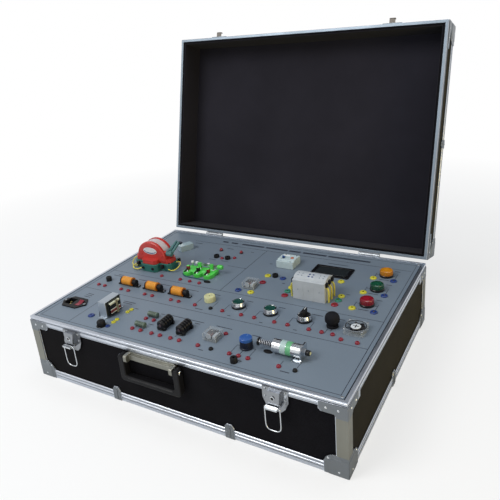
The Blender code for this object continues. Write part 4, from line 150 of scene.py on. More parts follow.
class Paint:
    """The node tree of one material."""

    def __init__(self, tree: bpy.types.NodeTree) -> None:
        """Starts from an empty tree."""
        self.tree = tree
        tree.nodes.clear()

    def node(self, kind: str, settings: dict | None = None, inputs: dict | None = None,
            outlet: int | str = 0) -> Num:
        """Adds a node.

        Args:
            kind: the node's type.
            settings: its properties, set before its sockets; stops is a ramp's places and colours.
            inputs: a value or link for each socket, by name or number.
            outlet: the output that is wanted.

        Returns:
            The output, wrapped.
        """
        node = self.tree.nodes.new(kind)
        for key, value in (settings or {}).items():
            if key == "stops":
                ramp = node.color_ramp.elements
                for index, (place, colour) in enumerate(value):
                    stop = ramp[index] if index < 2 else ramp.new(place)
                    stop.position, stop.color = place, colour
            else:
                setattr(node, key, value)
        for key, value in (inputs or {}).items():
            if isinstance(value, Num):
                self.tree.links.new(value.socket, node.inputs[key])
            else:
                node.inputs[key].default_value = value
        return Num(self, node.outputs[outlet]) if node.outputs else Num(self, node.inputs[0])

    def place(self, stretch: Point = (1, 1, 1), turn: Point = (0, 0, 0)) -> Num:
        """Object coordinates, stretched and turned."""
        spot = self.node("ShaderNodeTexCoord", outlet="Object")
        return self.node("ShaderNodeMapping", inputs={"Vector": spot, "Scale": stretch, "Rotation": turn})

    def reach(self, axis: Axis) -> Num:
        """The place along one axis, in metres."""
        spot = self.node("ShaderNodeTexCoord", outlet="Object")
        return self.node("ShaderNodeSeparateXYZ", inputs={0: spot}, outlet=axis.value)

    def noise(self, scale: float, detail: float = 3, stretch: Point = (1, 1, 1)) -> Num:
        """Cloudy noise, with scale in features a metre."""
        return self.node("ShaderNodeTexNoise", inputs={"Vector": self.place(stretch), "Scale": scale,
            "Detail": detail, "Roughness": 0.55})

    def cells(self, scale: float, stretch: Point = (1, 1, 1)) -> Num:
        """Distance from the middle of the nearest cell."""
        return self.node("ShaderNodeTexVoronoi", inputs={"Vector": self.place(stretch), "Scale": scale})

    def mix(self, factor: Num | float, first: tuple | Num, second: tuple | Num) -> Num:
        """Blends two colours."""
        return self.node("ShaderNodeMix", {"data_type": "RGBA"}, {0: factor, 6: first, 7: second}, 2)

    def bump(self, height: Num, strength: float, depth: float = 0.0002) -> Num:
        """The normal of a relief whose depth is in metres."""
        return self.node("ShaderNodeBump", inputs={"Height": height, "Strength": strength,
            "Distance": depth})

    def surface(self, inputs: dict) -> None:
        """Ends the tree in a Principled shader with these inputs."""
        shader = self.node("ShaderNodeBsdfPrincipled", inputs=inputs)
        self.node("ShaderNodeOutputMaterial", inputs={"Surface": shader})


def tone(shade: Shade, gain: float = 1.0) -> tuple[float, float, float, float]:
    """A colour as the photograph shows it, made linear, with its brightness scaled by gain."""
    linear = [(value / 255 / 12.92) if value < 11 else ((value / 255 + 0.055) / 1.055) ** 2.4
        for value in shade]
    return (*[min(1.0, value * gain) for value in linear], 1.0)


@dataclass(frozen=True)
class Finish:
    """A material that is made once and shared by every piece that wears it."""

    name: str
    slot: str
    made: ClassVar[dict["Finish", bpy.types.Material]] = {}

    def material(self) -> bpy.types.Material:
        """The finish as a material."""
        if self not in Finish.made:
            fresh = bpy.data.materials.new(self.name)
            fresh.use_nodes = True
            self.dress(Paint(fresh.node_tree))
            Finish.made[self] = fresh
        return Finish.made[self]

    def dress(self, paint: Paint) -> None:
        """Fills the node tree; each finish does this its own way."""
        raise NotImplementedError


@dataclass(frozen=True)
class Moulded(Finish):
    """Injection-moulded plastic: a fine orange peel, faint mottling and handled spots."""

    shade: Shade = (30, 30, 32)
    rough: float = 0.38
    peel: float = 0.12
    coat: float = 0.0
    specular: float = 0.4
    scatter: float = 0.0

    def dress(self, paint: Paint) -> None:
        """Mottles the colour and the gloss, and raises the peel."""
        mottle = paint.noise(70, 2).between(0.35, 0.65)
        colour = paint.mix(mottle, tone(self.shade, 0.95), tone(self.shade, 1.04))
        peel = paint.noise(1700, 2)
        gloss = paint.noise(160, 3) * 0.16 + (self.rough - 0.08)
        paint.surface({"Base Color": colour, "Roughness": gloss, "Normal": paint.bump(peel, self.peel),
            "Coat Weight": self.coat, "Coat Roughness": 0.08, "Specular IOR Level": self.specular,
            "Subsurface Weight": self.scatter, "Subsurface Radius": (0.002, 0.002, 0.002)})


@dataclass(frozen=True)
class Leatherette(Finish):
    """The black pebbled covering of the case's boards."""

    shade: Shade = (19, 19, 24)
    grains: float = 620.0

    def dress(self, paint: Paint) -> None:
        """Pebbles the surface, lighter on the crests, with scuffs along broad patches."""
        pebble = paint.cells(self.grains)
        scuff = paint.noise(9, 5).between(0.52, 0.78)
        crest = paint.mix(pebble.between(0.0, 0.7), tone(self.shade, 1.3), tone(self.shade, 0.6))
        colour = paint.mix(scuff * 0.3, crest, tone((34, 34, 38)))
        # The warm sheen tint is a painted warm reflection, which tints the walls seen edge-on.
        paint.surface({"Base Color": colour, "Roughness": paint.noise(30, 3) * 0.12 + 0.66,
            "Normal": paint.bump(1 - pebble, 0.45, 0.0003), "Specular IOR Level": 0.04, "Sheen Weight": 0.16,
            "Sheen Roughness": 0.3, "Sheen Tint": (0.75, 0.58, 0.16, 1)})


@dataclass(frozen=True)
class Lining(Finish):
    """The dark foam-backed cloth inside the lid."""

    shade: Shade = (42, 41, 48)

    def dress(self, paint: Paint) -> None:
        """Weaves a fine rib over soft, wide shading."""
        warp = paint.reach(Axis.X).wave(0.0016)
        weft = paint.reach(Axis.Z).wave(0.0016)
        cloud = paint.noise(5, 4).between(0.3, 0.7)
        fibre = paint.noise(900, 2)
        colour = paint.mix(cloud, tone(self.shade, 0.78), tone(self.shade, 1.2))
        paint.surface({"Base Color": paint.mix(fibre * 0.5, colour, tone(self.shade, 0.6)),
            "Roughness": paint.noise(40, 2) * 0.08 + 0.86, "Specular IOR Level": 0.03, "Sheen Weight": 0.04,
            "Normal": paint.bump(warp * weft + fibre * 0.4, 0.3, 0.0002)})


@dataclass(frozen=True)
class Metal(Finish):
    """Bare or plated metal, drawn or brushed along one direction."""

    shade: Shade = (214, 220, 226)
    rough: float = 0.3
    stretch: Point = (6, 6, 900)
    streak: float = 0.16
    wear: float = 0.25

    def dress(self, paint: Paint) -> None:
        """Draws fine lines through the gloss and clouds the oxide."""
        lines = paint.noise(1, 4, self.stretch)
        cloud = paint.noise(14, 4).between(0.4, 0.75)
        scratch = paint.noise(260, 5).between(0.64, 0.74)
        colour = paint.mix(cloud * self.wear, tone(self.shade), tone(self.shade, 0.62))
        colour = paint.mix(scratch * 0.3, colour, tone(self.shade, 1.2))
        gloss = lines * self.streak + cloud * 0.08 + (self.rough - self.streak / 2)
        paint.surface({"Base Color": colour, "Metallic": 1.0, "Roughness": gloss,
            "Normal": paint.bump(lines + scratch * 0.4, 0.12, 0.0001)})


@dataclass(frozen=True)
class PrintedSheet(Finish):
    """The satin grey panel, with a fine sprayed grain."""

    shade: Shade = (117, 130, 144)

    def dress(self, paint: Paint) -> None:
        """Speckles the coat, and makes it lighter at the front and darker at the back as a painted light
        falloff.
        """
        speckle = paint.noise(1300, 2)
        # Lighter at the front, darker at the back: painted light falloff across the panel.
        painted_falloff = paint.reach(Axis.Y).between(-0.25, 0.25)
        cloud = paint.noise(7, 4)
        colour = paint.mix(painted_falloff, tone(self.shade, 1.02), tone(self.shade, 0.93))
        colour = paint.mix(speckle.between(0.4, 0.6) * 0.4, colour, tone(self.shade, 0.8))
        colour = paint.mix(cloud.between(0.45, 0.8) * 0.3, colour, tone(self.shade, 1.14))
        paint.surface({"Base Color": colour, "Roughness": cloud * 0.12 + 0.4, "Specular IOR Level": 0.35,
            "Normal": paint.bump(speckle, 0.16, 0.0001)})


@dataclass(frozen=True)
class Clear(Finish):
    """A thin see-through cover."""

    shade: Shade = (225, 232, 238)
    cover: float = 0.3

    def dress(self, paint: Paint) -> None:
        """Lets most of the view through, with a faint haze and moulding ripples."""
        haze = paint.noise(60, 3)
        paint.surface({"Base Color": paint.mix(haze, tone(self.shade), tone(self.shade, 0.85)),
            "Roughness": haze * 0.08 + 0.06, "Alpha": haze * 0.16 + self.cover,
            "Normal": paint.bump(haze, 0.1), "Coat Weight": 0.3, "Coat Roughness": 0.04})


@dataclass(frozen=True)
class Lens(Finish):
    """A coloured indicator lens with moulded rings about its own centre."""

    shade: Shade = (220, 150, 30)
    centre: Spot = (0, 0)
    rough: float = 0.16

    def dress(self, paint: Paint) -> None:
        """Rings the lens and darkens its colour away from the centre, a painted shade on its curved rim."""
        east = paint.reach(Axis.X) - self.centre[0] * MM
        north = paint.reach(Axis.Y) - self.centre[1] * MM
        radius = (east * east + north * north).root()
        rings = radius.wave(0.0014)
        # Darker towards the rim: painted shade on the lens's curved edge.
        colour = paint.mix(radius.between(0.002, 0.0128), tone(self.shade, 0.95), tone(self.shade, 0.6))
        colour = paint.mix(rings * 0.2, colour, tone(self.shade, 1.4))
        paint.surface({"Base Color": colour, "Roughness": rings * 0.08 + self.rough, "Coat Weight": 0.25,
            "Coat Roughness": 0.08, "Subsurface Weight": 0.2, "Subsurface Radius": (0.003, 0.003, 0.003),
            "Normal": paint.bump(rings, 0.3)})


@dataclass(frozen=True)
class Wound(Finish):
    """Enamelled wire or lacquered ribs, wound along one axis."""

    shade: Shade = (238, 158, 40)
    axis: Axis = Axis.X
    pitch: float = 0.0011
    rough: float = 0.35

    def dress(self, paint: Paint) -> None:
        """Lays the turns side by side."""
        turns = paint.reach(self.axis).wave(self.pitch)
        cloud = paint.noise(90, 3).between(0.3, 0.75)
        colour = paint.mix(turns, tone(self.shade, 0.62), tone(self.shade, 1.12))
        paint.surface({"Base Color": paint.mix(cloud * 0.4, colour, tone(self.shade, 0.75)),
            "Roughness": cloud * 0.15 + self.rough, "Normal": paint.bump(turns, 0.6, 0.0004)})


@dataclass(frozen=True)
class Ink(Finish):
    """Screen-printed ink, a little worn."""

    shade: Shade = (42, 47, 60)

    def dress(self, paint: Paint) -> None:
        """Thins the ink in small spots."""
        thin = paint.noise(500, 3).between(0.5, 0.75)
        paint.surface({"Base Color": paint.mix(thin * 0.5, tone(self.shade), tone((96, 104, 116))),
            "Roughness": thin * 0.1 + 0.45, "Specular IOR Level": 0.3})


BLACK = Moulded("black_moulding", "black", (19, 20, 23), 0.5, specular=0.22)
RUBBER = Moulded("black_rubber", "black", (15, 15, 18), 0.55, 0.2, specular=0.2)
MATT_BLACK = Moulded("matt_black", "black", (25, 26, 31), 0.72, 0.2, specular=0.12)
GLOSS_BLACK = Moulded("gloss_black", "black", (13, 13, 16), 0.3, 0.05, 0.1, 0.3)
SKIN = Leatherette("case_covering", "skin")
LINING = Lining("lid_cloth", "lining")
EXTRUSION = Metal("drawn_aluminium", "aluminium", (198, 204, 214), 0.34)
# The lid's aluminium is the base's metal in a darker colour: painted shade on the lid's frame.
LID_SHADED_EXTRUSION = Metal("aged_aluminium", "aluminium", (126, 137, 148), 0.42)
CATCH = Moulded("catch_grey", "steel", (112, 106, 100), 0.4)
# Dark rods laid along the extrusions' grooves: painted shade in the grooves.
GROOVE_SHADE = Metal("dark_groove", "aluminium", (70, 74, 84), 0.5)
UPRIGHT = Metal("drawn_upright", "aluminium", (140, 140, 132), 0.42, (900, 900, 6))
ARMOUR = Metal("rolled_steel", "steel", (128, 133, 138), 0.38, (90, 90, 90), 0.1, 0.3)
EDGE_LINE = Metal("bright_edge", "aluminium", (210, 214, 222), 0.3, streak=0.04, wear=0.05)
CHROME = Metal("plated_steel", "chrome", (206, 210, 214), 0.14, (300, 300, 300), 0.06, 0.25)
NICKEL = Metal("worn_nickel", "chrome", (150, 153, 158), 0.24, (300, 300, 300), 0.05, 0.15)
STEEL = Metal("hinge_steel", "steel", (170, 174, 178), 0.36, (8, 900, 900), 0.1)
BRASS = Metal("socket_sleeve", "steel", (214, 190, 120), 0.24, (300, 300, 300), 0.06)
PANEL = PrintedSheet("grey_panel", "panel")
INK = Ink("panel_ink", "panel")
WHITE = Moulded("warm_white", "white", (214, 219, 222), 0.4, scatter=0.1)
GREY_WHITE = Moulded("grey_white", "white", (186, 203, 208), 0.42, scatter=0.1)
PALE_GREY = Moulded("pale_grey", "white", (182, 188, 194), 0.46, specular=0.25)
CREAM = Moulded("cream_body", "cream", (204, 204, 158), 0.46, scatter=0.1)
RED = Moulded("red_moulding", "red", (132, 24, 46), 0.36, coat=0.1)
MAROON = Moulded("maroon_moulding", "red", (112, 22, 34), 0.34, coat=0.2)
HOUSING_RED = Moulded("coral_housing", "red", (190, 56, 50), 0.36, coat=0.2)
YELLOW = Moulded("yellow_moulding", "orange", (198, 192, 56), 0.4, coat=0.1)
WIRE_YELLOW = Moulded("yellow_wire", "orange", (214, 202, 84), 0.42)
AMBER = Moulded("amber_cheek", "orange", (196, 112, 24), 0.34)
GREEN_BAND = Moulded("pale_green_band", "green", (104, 178, 128), 0.4)
PALE_BAND = Moulded("pale_band", "white", (176, 200, 198), 0.4)
BLUE = Moulded("blue_moulding", "blue", (24, 54, 118), 0.36, coat=0.1)
CAP_BLUE = Moulded("cap_blue", "blue", (40, 86, 158), 0.32, coat=0.2)
NAVY = Moulded("navy_moulding", "blue", (20, 26, 46), 0.34)
GREEN = Moulded("deep_green", "green", (20, 70, 62), 0.3, coat=0.25)
MID_GREEN = Moulded("socket_green", "green", (40, 120, 98), 0.32, coat=0.2)
TEAL = Moulded("teal_moulding", "teal", (44, 106, 98), 0.4)
ARM_TEAL = Moulded("arm_teal", "teal", (72, 112, 114), 0.36)
LIME = Moulded("switch_green", "bright_green", (84, 206, 84), 0.32, coat=0.2, scatter=0.1)
CLEAR = Clear("clear_cover", "clear", (196, 204, 210), 0.14)
FROSTED = Clear("frosted_frame", "clear", (196, 204, 210), 0.12)
MILKY = Clear("milky_block", "clear", (178, 200, 208), 0.74)
BOARD = Moulded("circuit_board", "board", (24, 84, 48), 0.4)


class Bench:
    """Models pieces with Blender's own tools. Every size is in millimetres."""

    @staticmethod
    def take(*pieces: Mesh) -> None:
        """Selects these pieces alone, so an operator acts on nothing else."""
        bpy.ops.object.select_all(action="DESELECT")
        for piece in pieces:
            piece.select_set(True)
        if pieces:
            bpy.context.view_layer.objects.active = pieces[0]

    @staticmethod
    def edit() -> None:
        """Enters edit mode with all of the piece selected."""
        bpy.ops.object.mode_set(mode="EDIT")
        bpy.ops.mesh.select_all(action="SELECT")

    @staticmethod
    def close(smooth: float = 35.0) -> Mesh:
        """Merges doubles, turns faces outwards, puts the place in the mesh and shades it.

        Args:
            smooth: edges flatter than this many degrees are shaded smooth.

        Returns:
            The finished piece.
        """
        bpy.ops.mesh.select_all(action="SELECT")
        bpy.ops.mesh.remove_doubles(threshold=MERGE)
        bpy.ops.mesh.normals_make_consistent(inside=False)
        bpy.ops.object.mode_set(mode="OBJECT")
        bpy.ops.object.transform_apply(location=True, rotation=True, scale=True)
        bpy.ops.object.shade_smooth_by_angle(angle=math.radians(smooth))
        return bpy.context.object

    @classmethod
    def turned(cls, rings: Sequence[Spot], at: Point, axis: Axis = Axis.Z, sides: int = 32) -> Mesh:
        """Turns a round piece from a disc that is extruded ring by ring.

        Args:
            rings: radius and height along the axis of each ring, in order.
            at: the point that heights are counted from.
            axis: the axis of the piece.
            sides: how many faces go round.

        Returns:
            The closed piece.
        """
        cls.take()
        foot = Vector(at) * MM
        radius, height = rings[0]
        bpy.ops.mesh.primitive_circle_add(vertices=sides, radius=radius * MM, fill_type="NGON", location=foot
            + axis.along * height * MM, rotation=axis.tilt)
        cls.edit()
        for wide, high in rings[1:]:
            step = axis.along * (high - height) * MM
            bpy.ops.mesh.extrude_region_move(TRANSFORM_OT_translate={"value": step})
            ratio = max(wide / radius, 1e-4)
            if abs(ratio - 1) > 1e-6:
                factor = [1.0 if index == axis.value else ratio for index in range(3)]
                bpy.ops.transform.resize(value=factor, center_override=foot + axis.along * high * MM)
            radius, height = max(wide, radius * 1e-4), high
        return cls.close()

    @classmethod
    def plate(cls, outline: Sequence[Spot], low: float, high: float, axis: Axis = Axis.Z,
            bevel: float = 0.0) -> Mesh:
        """Cuts a plate to an outline and extrudes it.

        Args:
            outline: the corners in order.
            low: where it starts along the axis.
            high: where it ends.
            axis: the direction of its thickness.
            bevel: the width of the bevel on its edges.

        Returns:
            The closed plate.
        """
        cls.take()
        bpy.ops.mesh.primitive_circle_add(vertices=len(outline), radius=1, fill_type="NGON")
        piece = bpy.context.object
        for vertex, (across, up) in zip(piece.data.vertices, outline):
            vertex.co = axis.spot(across, up, low) * MM
        cls.edit()
        bpy.ops.mesh.extrude_region_move(TRANSFORM_OT_translate={"value": axis.along * (high - low) * MM})
        cls.close()
        return cls.soften(piece, bevel) if bevel else piece

    @classmethod
    def block(cls, low: Point, high: Point, bevel: float = 0.4) -> Mesh:
        """A bevelled block between two corners."""
        outline = [(low[0], low[1]), (high[0], low[1]), (high[0], high[1]), (low[0], high[1])]
        return cls.plate(outline, low[2], high[2], Axis.Z, bevel)

    @classmethod
    def tube(cls, points: Sequence[Point], radius: float, sides: int = 3, loop: bool = False) -> Mesh:
        """A round wire through points.

        Args:
            points: the line that the wire follows.
            radius: the wire's radius.
            sides: the fineness of its section.
            loop: whether its ends meet.

        Returns:
            The wire as a mesh.
        """
        data = bpy.data.curves.new("wire", "CURVE")
        data.dimensions = "3D"
        data.bevel_depth = radius * MM
        data.bevel_resolution = sides
        data.use_fill_caps = True
        data.resolution_u = 5
        line = data.splines.new("NURBS")
        line.points.add(len(points) - 1)
        for knot, point in zip(line.points, points):
            knot.co = (*(Vector(point) * MM), 1)
        line.order_u = 4 if len(points) > 3 else len(points)
        line.use_endpoint_u = not loop
        line.use_cyclic_u = loop
        piece = bpy.data.objects.new("wire", data)
        bpy.context.collection.objects.link(piece)
        cls.take(piece)
        bpy.ops.object.convert(target="MESH")
        piece = bpy.context.object
        cls.edit()
        return cls.close(60)

    @classmethod
    def clone(cls, node: str) -> Mesh:
        """Copies a CAD node to work on: merged, flat faces joined, without its frame marks."""
        piece = bpy.data.objects[node].copy()
        piece.data = piece.data.copy()
        for mark in [key for key in piece.keys() if key.startswith("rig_")]:
            del piece[mark]
        piece.parent = None
        piece.hide_render = piece.hide_viewport = False
        bpy.context.collection.objects.link(piece)
        piece.matrix_world = Matrix.Identity(4)
        cls.take(piece)
        if piece.data.has_custom_normals:
            bpy.ops.mesh.customdata_custom_splitnormals_clear()
        cls.edit()
        bpy.ops.mesh.remove_doubles(threshold=MERGE)
        bpy.ops.mesh.dissolve_limited(angle_limit=math.radians(1))
        return cls.close()

    @classmethod
    def soften(cls, piece: Mesh, width: float, segments: int = 2, angle: float = 35.0) -> Mesh:
        """Bevels the sharp edges of a piece.

        Args:
            piece: the piece, changed in place.
            width: the bevel's width.
            segments: the steps across the bevel.
            angle: edges sharper than this many degrees are bevelled.

        Returns:
            The same piece.
        """
        cls.take(piece)
        bevel = piece.modifiers.new("soften", "BEVEL")
        bevel.width, bevel.segments = width * MM, segments
        bevel.limit_method, bevel.angle_limit = "ANGLE", math.radians(angle)
        bevel.use_clamp_overlap = True
        bpy.ops.object.modifier_apply(modifier=bevel.name)
        bpy.ops.object.shade_smooth_by_angle(angle=math.radians(angle + 10))
        return piece

    @classmethod
    def carve(cls, piece: Mesh, *tools: Mesh) -> Mesh:
        """Cuts the tools out of a piece and clears them away."""
        for tool in tools:
            cls.take(piece)
            cut = piece.modifiers.new("carve", "BOOLEAN")
            cut.object, cut.solver = tool, "EXACT"
            bpy.ops.object.modifier_apply(modifier=cut.name)
            bpy.data.objects.remove(tool)
        bpy.ops.object.shade_smooth_by_angle(angle=math.radians(35))
        return piece

    @staticmethod
    def twin(piece: Mesh, move: Point = (0, 0, 0), spin: float = 0.0, about: Point = (0, 0, 0),
            axis: Axis = Axis.Z) -> Mesh:
        """Copies a piece with a mesh of its own.

        Args:
            piece: what is copied.
            move: how far the copy moves.
            spin: how far it turns, in radians.
            about: the point that it turns about.
            axis: the axis that it turns on.

        Returns:
            The copy.
        """
        copy = piece.copy()
        copy.data = piece.data.copy()
        bpy.context.collection.objects.link(copy)
        copy.data.transform(Matrix.Translation(Vector(move) * MM) @ swung(spin, axis, about))
        return copy

    @classmethod
    def circled(cls, piece: Mesh, count: int, about: Point) -> list[Mesh]:
        """A piece and its copies, spread evenly round an upright axis."""
        return [piece] + [cls.twin(piece, spin=step / count * TURN, about=about) for step in range(1, count)]

    @classmethod
    def joined(cls, pieces: Iterable[Mesh]) -> Mesh:
        """Joins pieces of one finish into one."""
        whole = list(pieces)
        cls.take(*whole)
        if len(whole) > 1:
            bpy.ops.object.join()
        return bpy.context.object

    @classmethod
    def strewn(cls, pattern: Mesh, spots: Iterable[Point]) -> Mesh:
        """Copies a pattern piece, modelled at the origin, to each place, and joins the copies."""
        copies = [cls.twin(pattern, spot) for spot in spots]
        bpy.data.objects.remove(pattern)
        return cls.joined(copies)


def swung(angle: float, axis: Axis, about: Point) -> Matrix:
    """A turn by an angle in radians about a point in millimetres."""
    centre = Vector(about) * MM
    return Matrix.Translation(centre) @ Matrix.Rotation(angle, 4, axis.name) @ Matrix.Translation(-centre)


def oval(width: float, depth: float, centre: Spot, steps: int = 28) -> list[Spot]:
    """The outline of an ellipse."""
    return [(centre[0] + width / 2 * math.cos(step / steps * TURN), centre[1]
        + depth / 2 * math.sin(step / steps * TURN)) for step in range(steps)]


def rounded(width: float, depth: float, radius: float, centre: Spot, steps: int = 5) -> list[Spot]:
    """The outline of a rectangle with round corners."""
    line = []
    for corner, (east, north) in enumerate(((1, 1), (-1, 1), (-1, -1), (1, -1))):
        middle = (centre[0] + east * (width / 2 - radius), centre[1] + north * (depth / 2 - radius))
        for step in range(steps + 1):
            angle = (corner + step / steps) * math.pi / 2
            line.append((middle[0] + radius * math.cos(angle), middle[1] + radius * math.sin(angle)))
    return line


@dataclass
class Assembly:
    """A group of pieces that belong together."""

    body: str = "case"

    def fit(self, piece: Mesh, name: str, finish: Finish, body: str = "",
            stands_for: Sequence[str] = ()) -> Mesh:
        """Names a piece, gives it its finish and mounts it.

        Args:
            piece: the finished mesh.
            name: its name.
            finish: what it wears.
            body: the CAD body that it rides on, if not the assembly's own.
            stands_for: the CAD nodes that it replaces.

        Returns:
            The same piece.
        """
        piece.name = piece.data.name = name
        piece.data.materials.clear()
        piece.data.materials.append(finish.material())
        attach(piece, body or self.body)
        if stands_for:
            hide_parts(*stands_for)
        LOG.info("%s: %s, %d faces", name, finish.name, len(piece.data.polygons))
        return piece

    def group(self, pieces: Iterable[Mesh], name: str, finish: Finish, body: str = "",
            stands_for: Sequence[str] = ()) -> Mesh:
        """Joins pieces and fits them as one."""
        return self.fit(Bench.joined(pieces), name, finish, body, stands_for)

    def dress(self, finish: Finish, *nodes: str) -> None:
        """Gives CAD nodes that stay as they are their finish."""
        for node in nodes:
            target = bpy.data.objects[node]
            for place in target.material_slots:
                place.link = "OBJECT"
                place.material = finish.material()
            LOG.info("%s: dressed in %s", node, finish.name)

    def eased(self, node: str, finish: Finish, width: float, body: str = "", segments: int = 2) -> Mesh:
        """Stands a copy with eased edges in a CAD node's place."""
        piece = Bench.soften(Bench.clone(node), width, segments)
        return self.fit(piece, f"{node}_eased", finish, body, [node])


@dataclass
class Carcass(Assembly):
    """The base and lid of the case with their extrusions, corners, clips and fastenings."""

    half_width: float = 345.0
    half_depth: float = 257.0
    height: float = 144.0
    lid_height: float = 77.0
    lid_pivot: Point = (0, 262.4, 144.0)
    lid_lean: float = -105.0
    rivet: float = 2.1
    latch_x: float = 225.975
    clip_x: float = 130.1

    def lifted(self, piece: Mesh) -> Mesh:
        """Turns a piece that was modelled on the closed lid to where the lid stands open."""
        piece.data.transform(swung(math.radians(self.lid_lean), Axis.X, self.lid_pivot))
        return piece

    def bolted(self, pieces: Iterable[Mesh], name: str, finish: Finish, lid: bool) -> Mesh:
        """Joins pieces and mounts them on the base, or on the lid, where they are then still shut."""
        piece = Bench.joined(pieces)
        if lid:
            self.lifted(piece)
        return self.fit(piece, name, finish, "lid" if lid else "case")

    def rivets(self, name: str, places: Iterable[tuple[Point, Axis, int]], lid: bool = False) -> Mesh:
        """Sets domed rivets.

        Args:
            name: the piece's name.
            places: each rivet's seat, axis, and the way that it faces.
            lid: whether they sit on the lid, which is then still closed in the places.

        Returns:
            The rivets as one piece.
        """
        size = self.rivet
        heads = []
        for spot, axis, way in places:
            head = [(size, -0.3 * way), (size, 0.25 * way), (size * 0.8, 0.75 * way),
                (size * 0.35, 1.05 * way), (0, 1.1 * way)]
            heads.append(Bench.turned(head, spot, axis, 14))
        return self.bolted(heads, name, CHROME, lid)

    def beads(self, name: str, finish: Finish, loops: Sequence[tuple[float, float, float]],
            lid: bool = False) -> Mesh:
        """Rolls the beads, and the dark rods of painted shade in the grooves, that run round the extrusions.

        Args:
            name: the piece's name.
            finish: what they wear.
            loops: height, how far inside the band's face, and radius of each bead.
            lid: whether they are the lid's.

        Returns:
            The beads as one piece.
        """
        runs = []
        for height, inside, radius in loops:
            east, north = self.half_width - inside, self.half_depth - inside
            for low, high, axis in (((-east, -north), east, Axis.X), ((-east, north), east, Axis.X),
                    ((-east, -north), north, Axis.Y), ((east, -north), north, Axis.Y)):
                start = low[0] if axis is Axis.X else low[1]
                seat = (0, low[1], height) if axis is Axis.X else (low[0], 0, height)
                rings = [(radius * 0.7, start), (radius, start + 0.4), (radius, high - 0.4),
                    (radius * 0.7, high)]
                runs.append(Bench.turned(rings, seat, axis, 10))
        return self.bolted(runs, name, finish, lid)

    def corner_rivets(self, places: Sequence[Spot]) -> list[tuple[Point, Axis, int]]:
        """The seats of the rivets on both faces of four corners, by distance in and height."""
        east, north = self.half_width + 1.5, self.half_depth + 1.5
        seats = []
        for side in WAYS:
            for way in WAYS:
                for inside, up in places:
                    seats.append(((side * (self.half_width - inside), way * north, up), Axis.Y, way))
                    seats.append(((side * east, way * (self.half_depth - inside), up), Axis.X, side))
        return seats

    def plated(self, outline: Sequence[Spot], proud: float) -> list[Mesh]:
        """Lays a thin plate on both faces of four corners.

        Args:
            outline: its corners, as distance in from the case's corner and height.
            proud: how thick it is.

        Returns:
            The eight plates.
        """
        plates = []
        east, north = self.half_width + 1, self.half_depth + 1
        for side in WAYS:
            for way in WAYS:
                front = [(side * (east - inside), up) for inside, up in outline]
                flank = [(way * (north - inside), up) for inside, up in outline]
                for line, face, axis, sign in ((front, north, Axis.Y, way), (flank, east, Axis.X, side)):
                    low, high = sorted((sign * (face - 0.4), sign * (face + proud)))
                    plates.append(Bench.plate(line, low, high, axis, 0.25))
        return plates

    def armour(self, lid: bool = False) -> None:
        """Covers the corners with their rolled caps and brackets, and the sides with their clips."""
        top, crown = self.height, self.height + self.lid_height
        quarter = [step / 6 * math.pi / 2 for step in range(7)]
        cap, boss = ([(0, 0.2), (0, up + radius)] + [(across + radius * math.sin(angle), up
            + radius * math.cos(angle)) for angle in quarter] + [(across + radius, 0.2)] for across, up,
            radius in ((24, 22, 17), (18, 18.5, 14.5)))
        bracket = [(0, 135.5), (0, 112), (18, 112), (22, 118), (38, 118), (44.5, 120), (47, 124),
            (47, 135.5)]
        arch = [(9.5 * math.cos(step / 8 * math.pi), 20 + 10.6 * math.sin(step / 8 * math.pi))
            for step in range(9)]
        clip = [(9.5, 0.2)] + arch + [(-9.5, 0.2)]
        rib = [(1.6, 1.5), (1.6, 25), (-1.6, 25), (-1.6, 1.5)]
        if lid:
            cap, boss, clip, rib = ([(across, crown - up) for across, up in line]
                for line in (cap, boss, clip, rib))
            bracket = [(across, 2 * top - up) for across, up in bracket]
        plates = self.plated(cap, 0.5) + self.plated(bracket, 0.5) + self.plated(boss, 0.95)
        east, north = self.half_width + 1, self.half_depth + 1
        for way in WAYS:
            for line, proud in ((clip, 0.5), (rib, 1.3)):
                for side in WAYS:
                    low, high = sorted((way * (north - 0.4), way * (north + proud)))
                    plates.append(Bench.plate([(side * self.clip_x + across, up) for across, up in line],
                        low, high, Axis.Y, 0.25))
                low, high = sorted((way * (east - 0.4), way * (east + proud)))
                plates.append(Bench.plate(line, low, high, Axis.X, 0.25))
        self.bolted(plates, "lid_armour" if lid else "base_armour", ARMOUR, lid)

    def build(self) -> None:
        """Dresses the base, the lid and the fastenings."""
        self.dress(SKIN, "base_shell")
        self.dress(SKIN, "lid_shell")
        for node in ("base_rim", "base_edging"):
            self.eased(node, EXTRUSION, 0.5)
        for node in ("lid_rim", "lid_edging"):
            self.eased(node, LID_SHADED_EXTRUSION, 0.5, "lid")
        self.eased("lid_lining", LINING, 3.0, "lid", 3)
        top = self.height
        self.beads("base_beads", EDGE_LINE, [(top - 2.9, 0.6, 1.5), (top - 11.4, 0.7, 1.3), (18.2, 0.3, 1.1),
            (11, 0.6, 1.2)])
        # The dark rods at the groove lines are painted shade.
        self.beads("base_grooves", GROOVE_SHADE, [(top - 6.9, 0.3, 0.7), (top - 15.8, 0.4, 0.6), (7.6, 0.3, 0.6),
            (14.6, 0.3, 0.5)])
        lid_top = top + self.lid_height
        self.beads("lid_beads", EDGE_LINE, [(top + 2.4, 0.4, 1.0), (lid_top - 18.4, 0.1, 0.8),
            (lid_top - 10.5, 0.2, 0.6)], True)
        self.beads("lid_grooves", GROOVE_SHADE, [(top + 7.7, 0.3, 0.7), (top + 15.8, 0.4, 0.6),
            (lid_top - 7.6, 0.3, 0.6)], True)
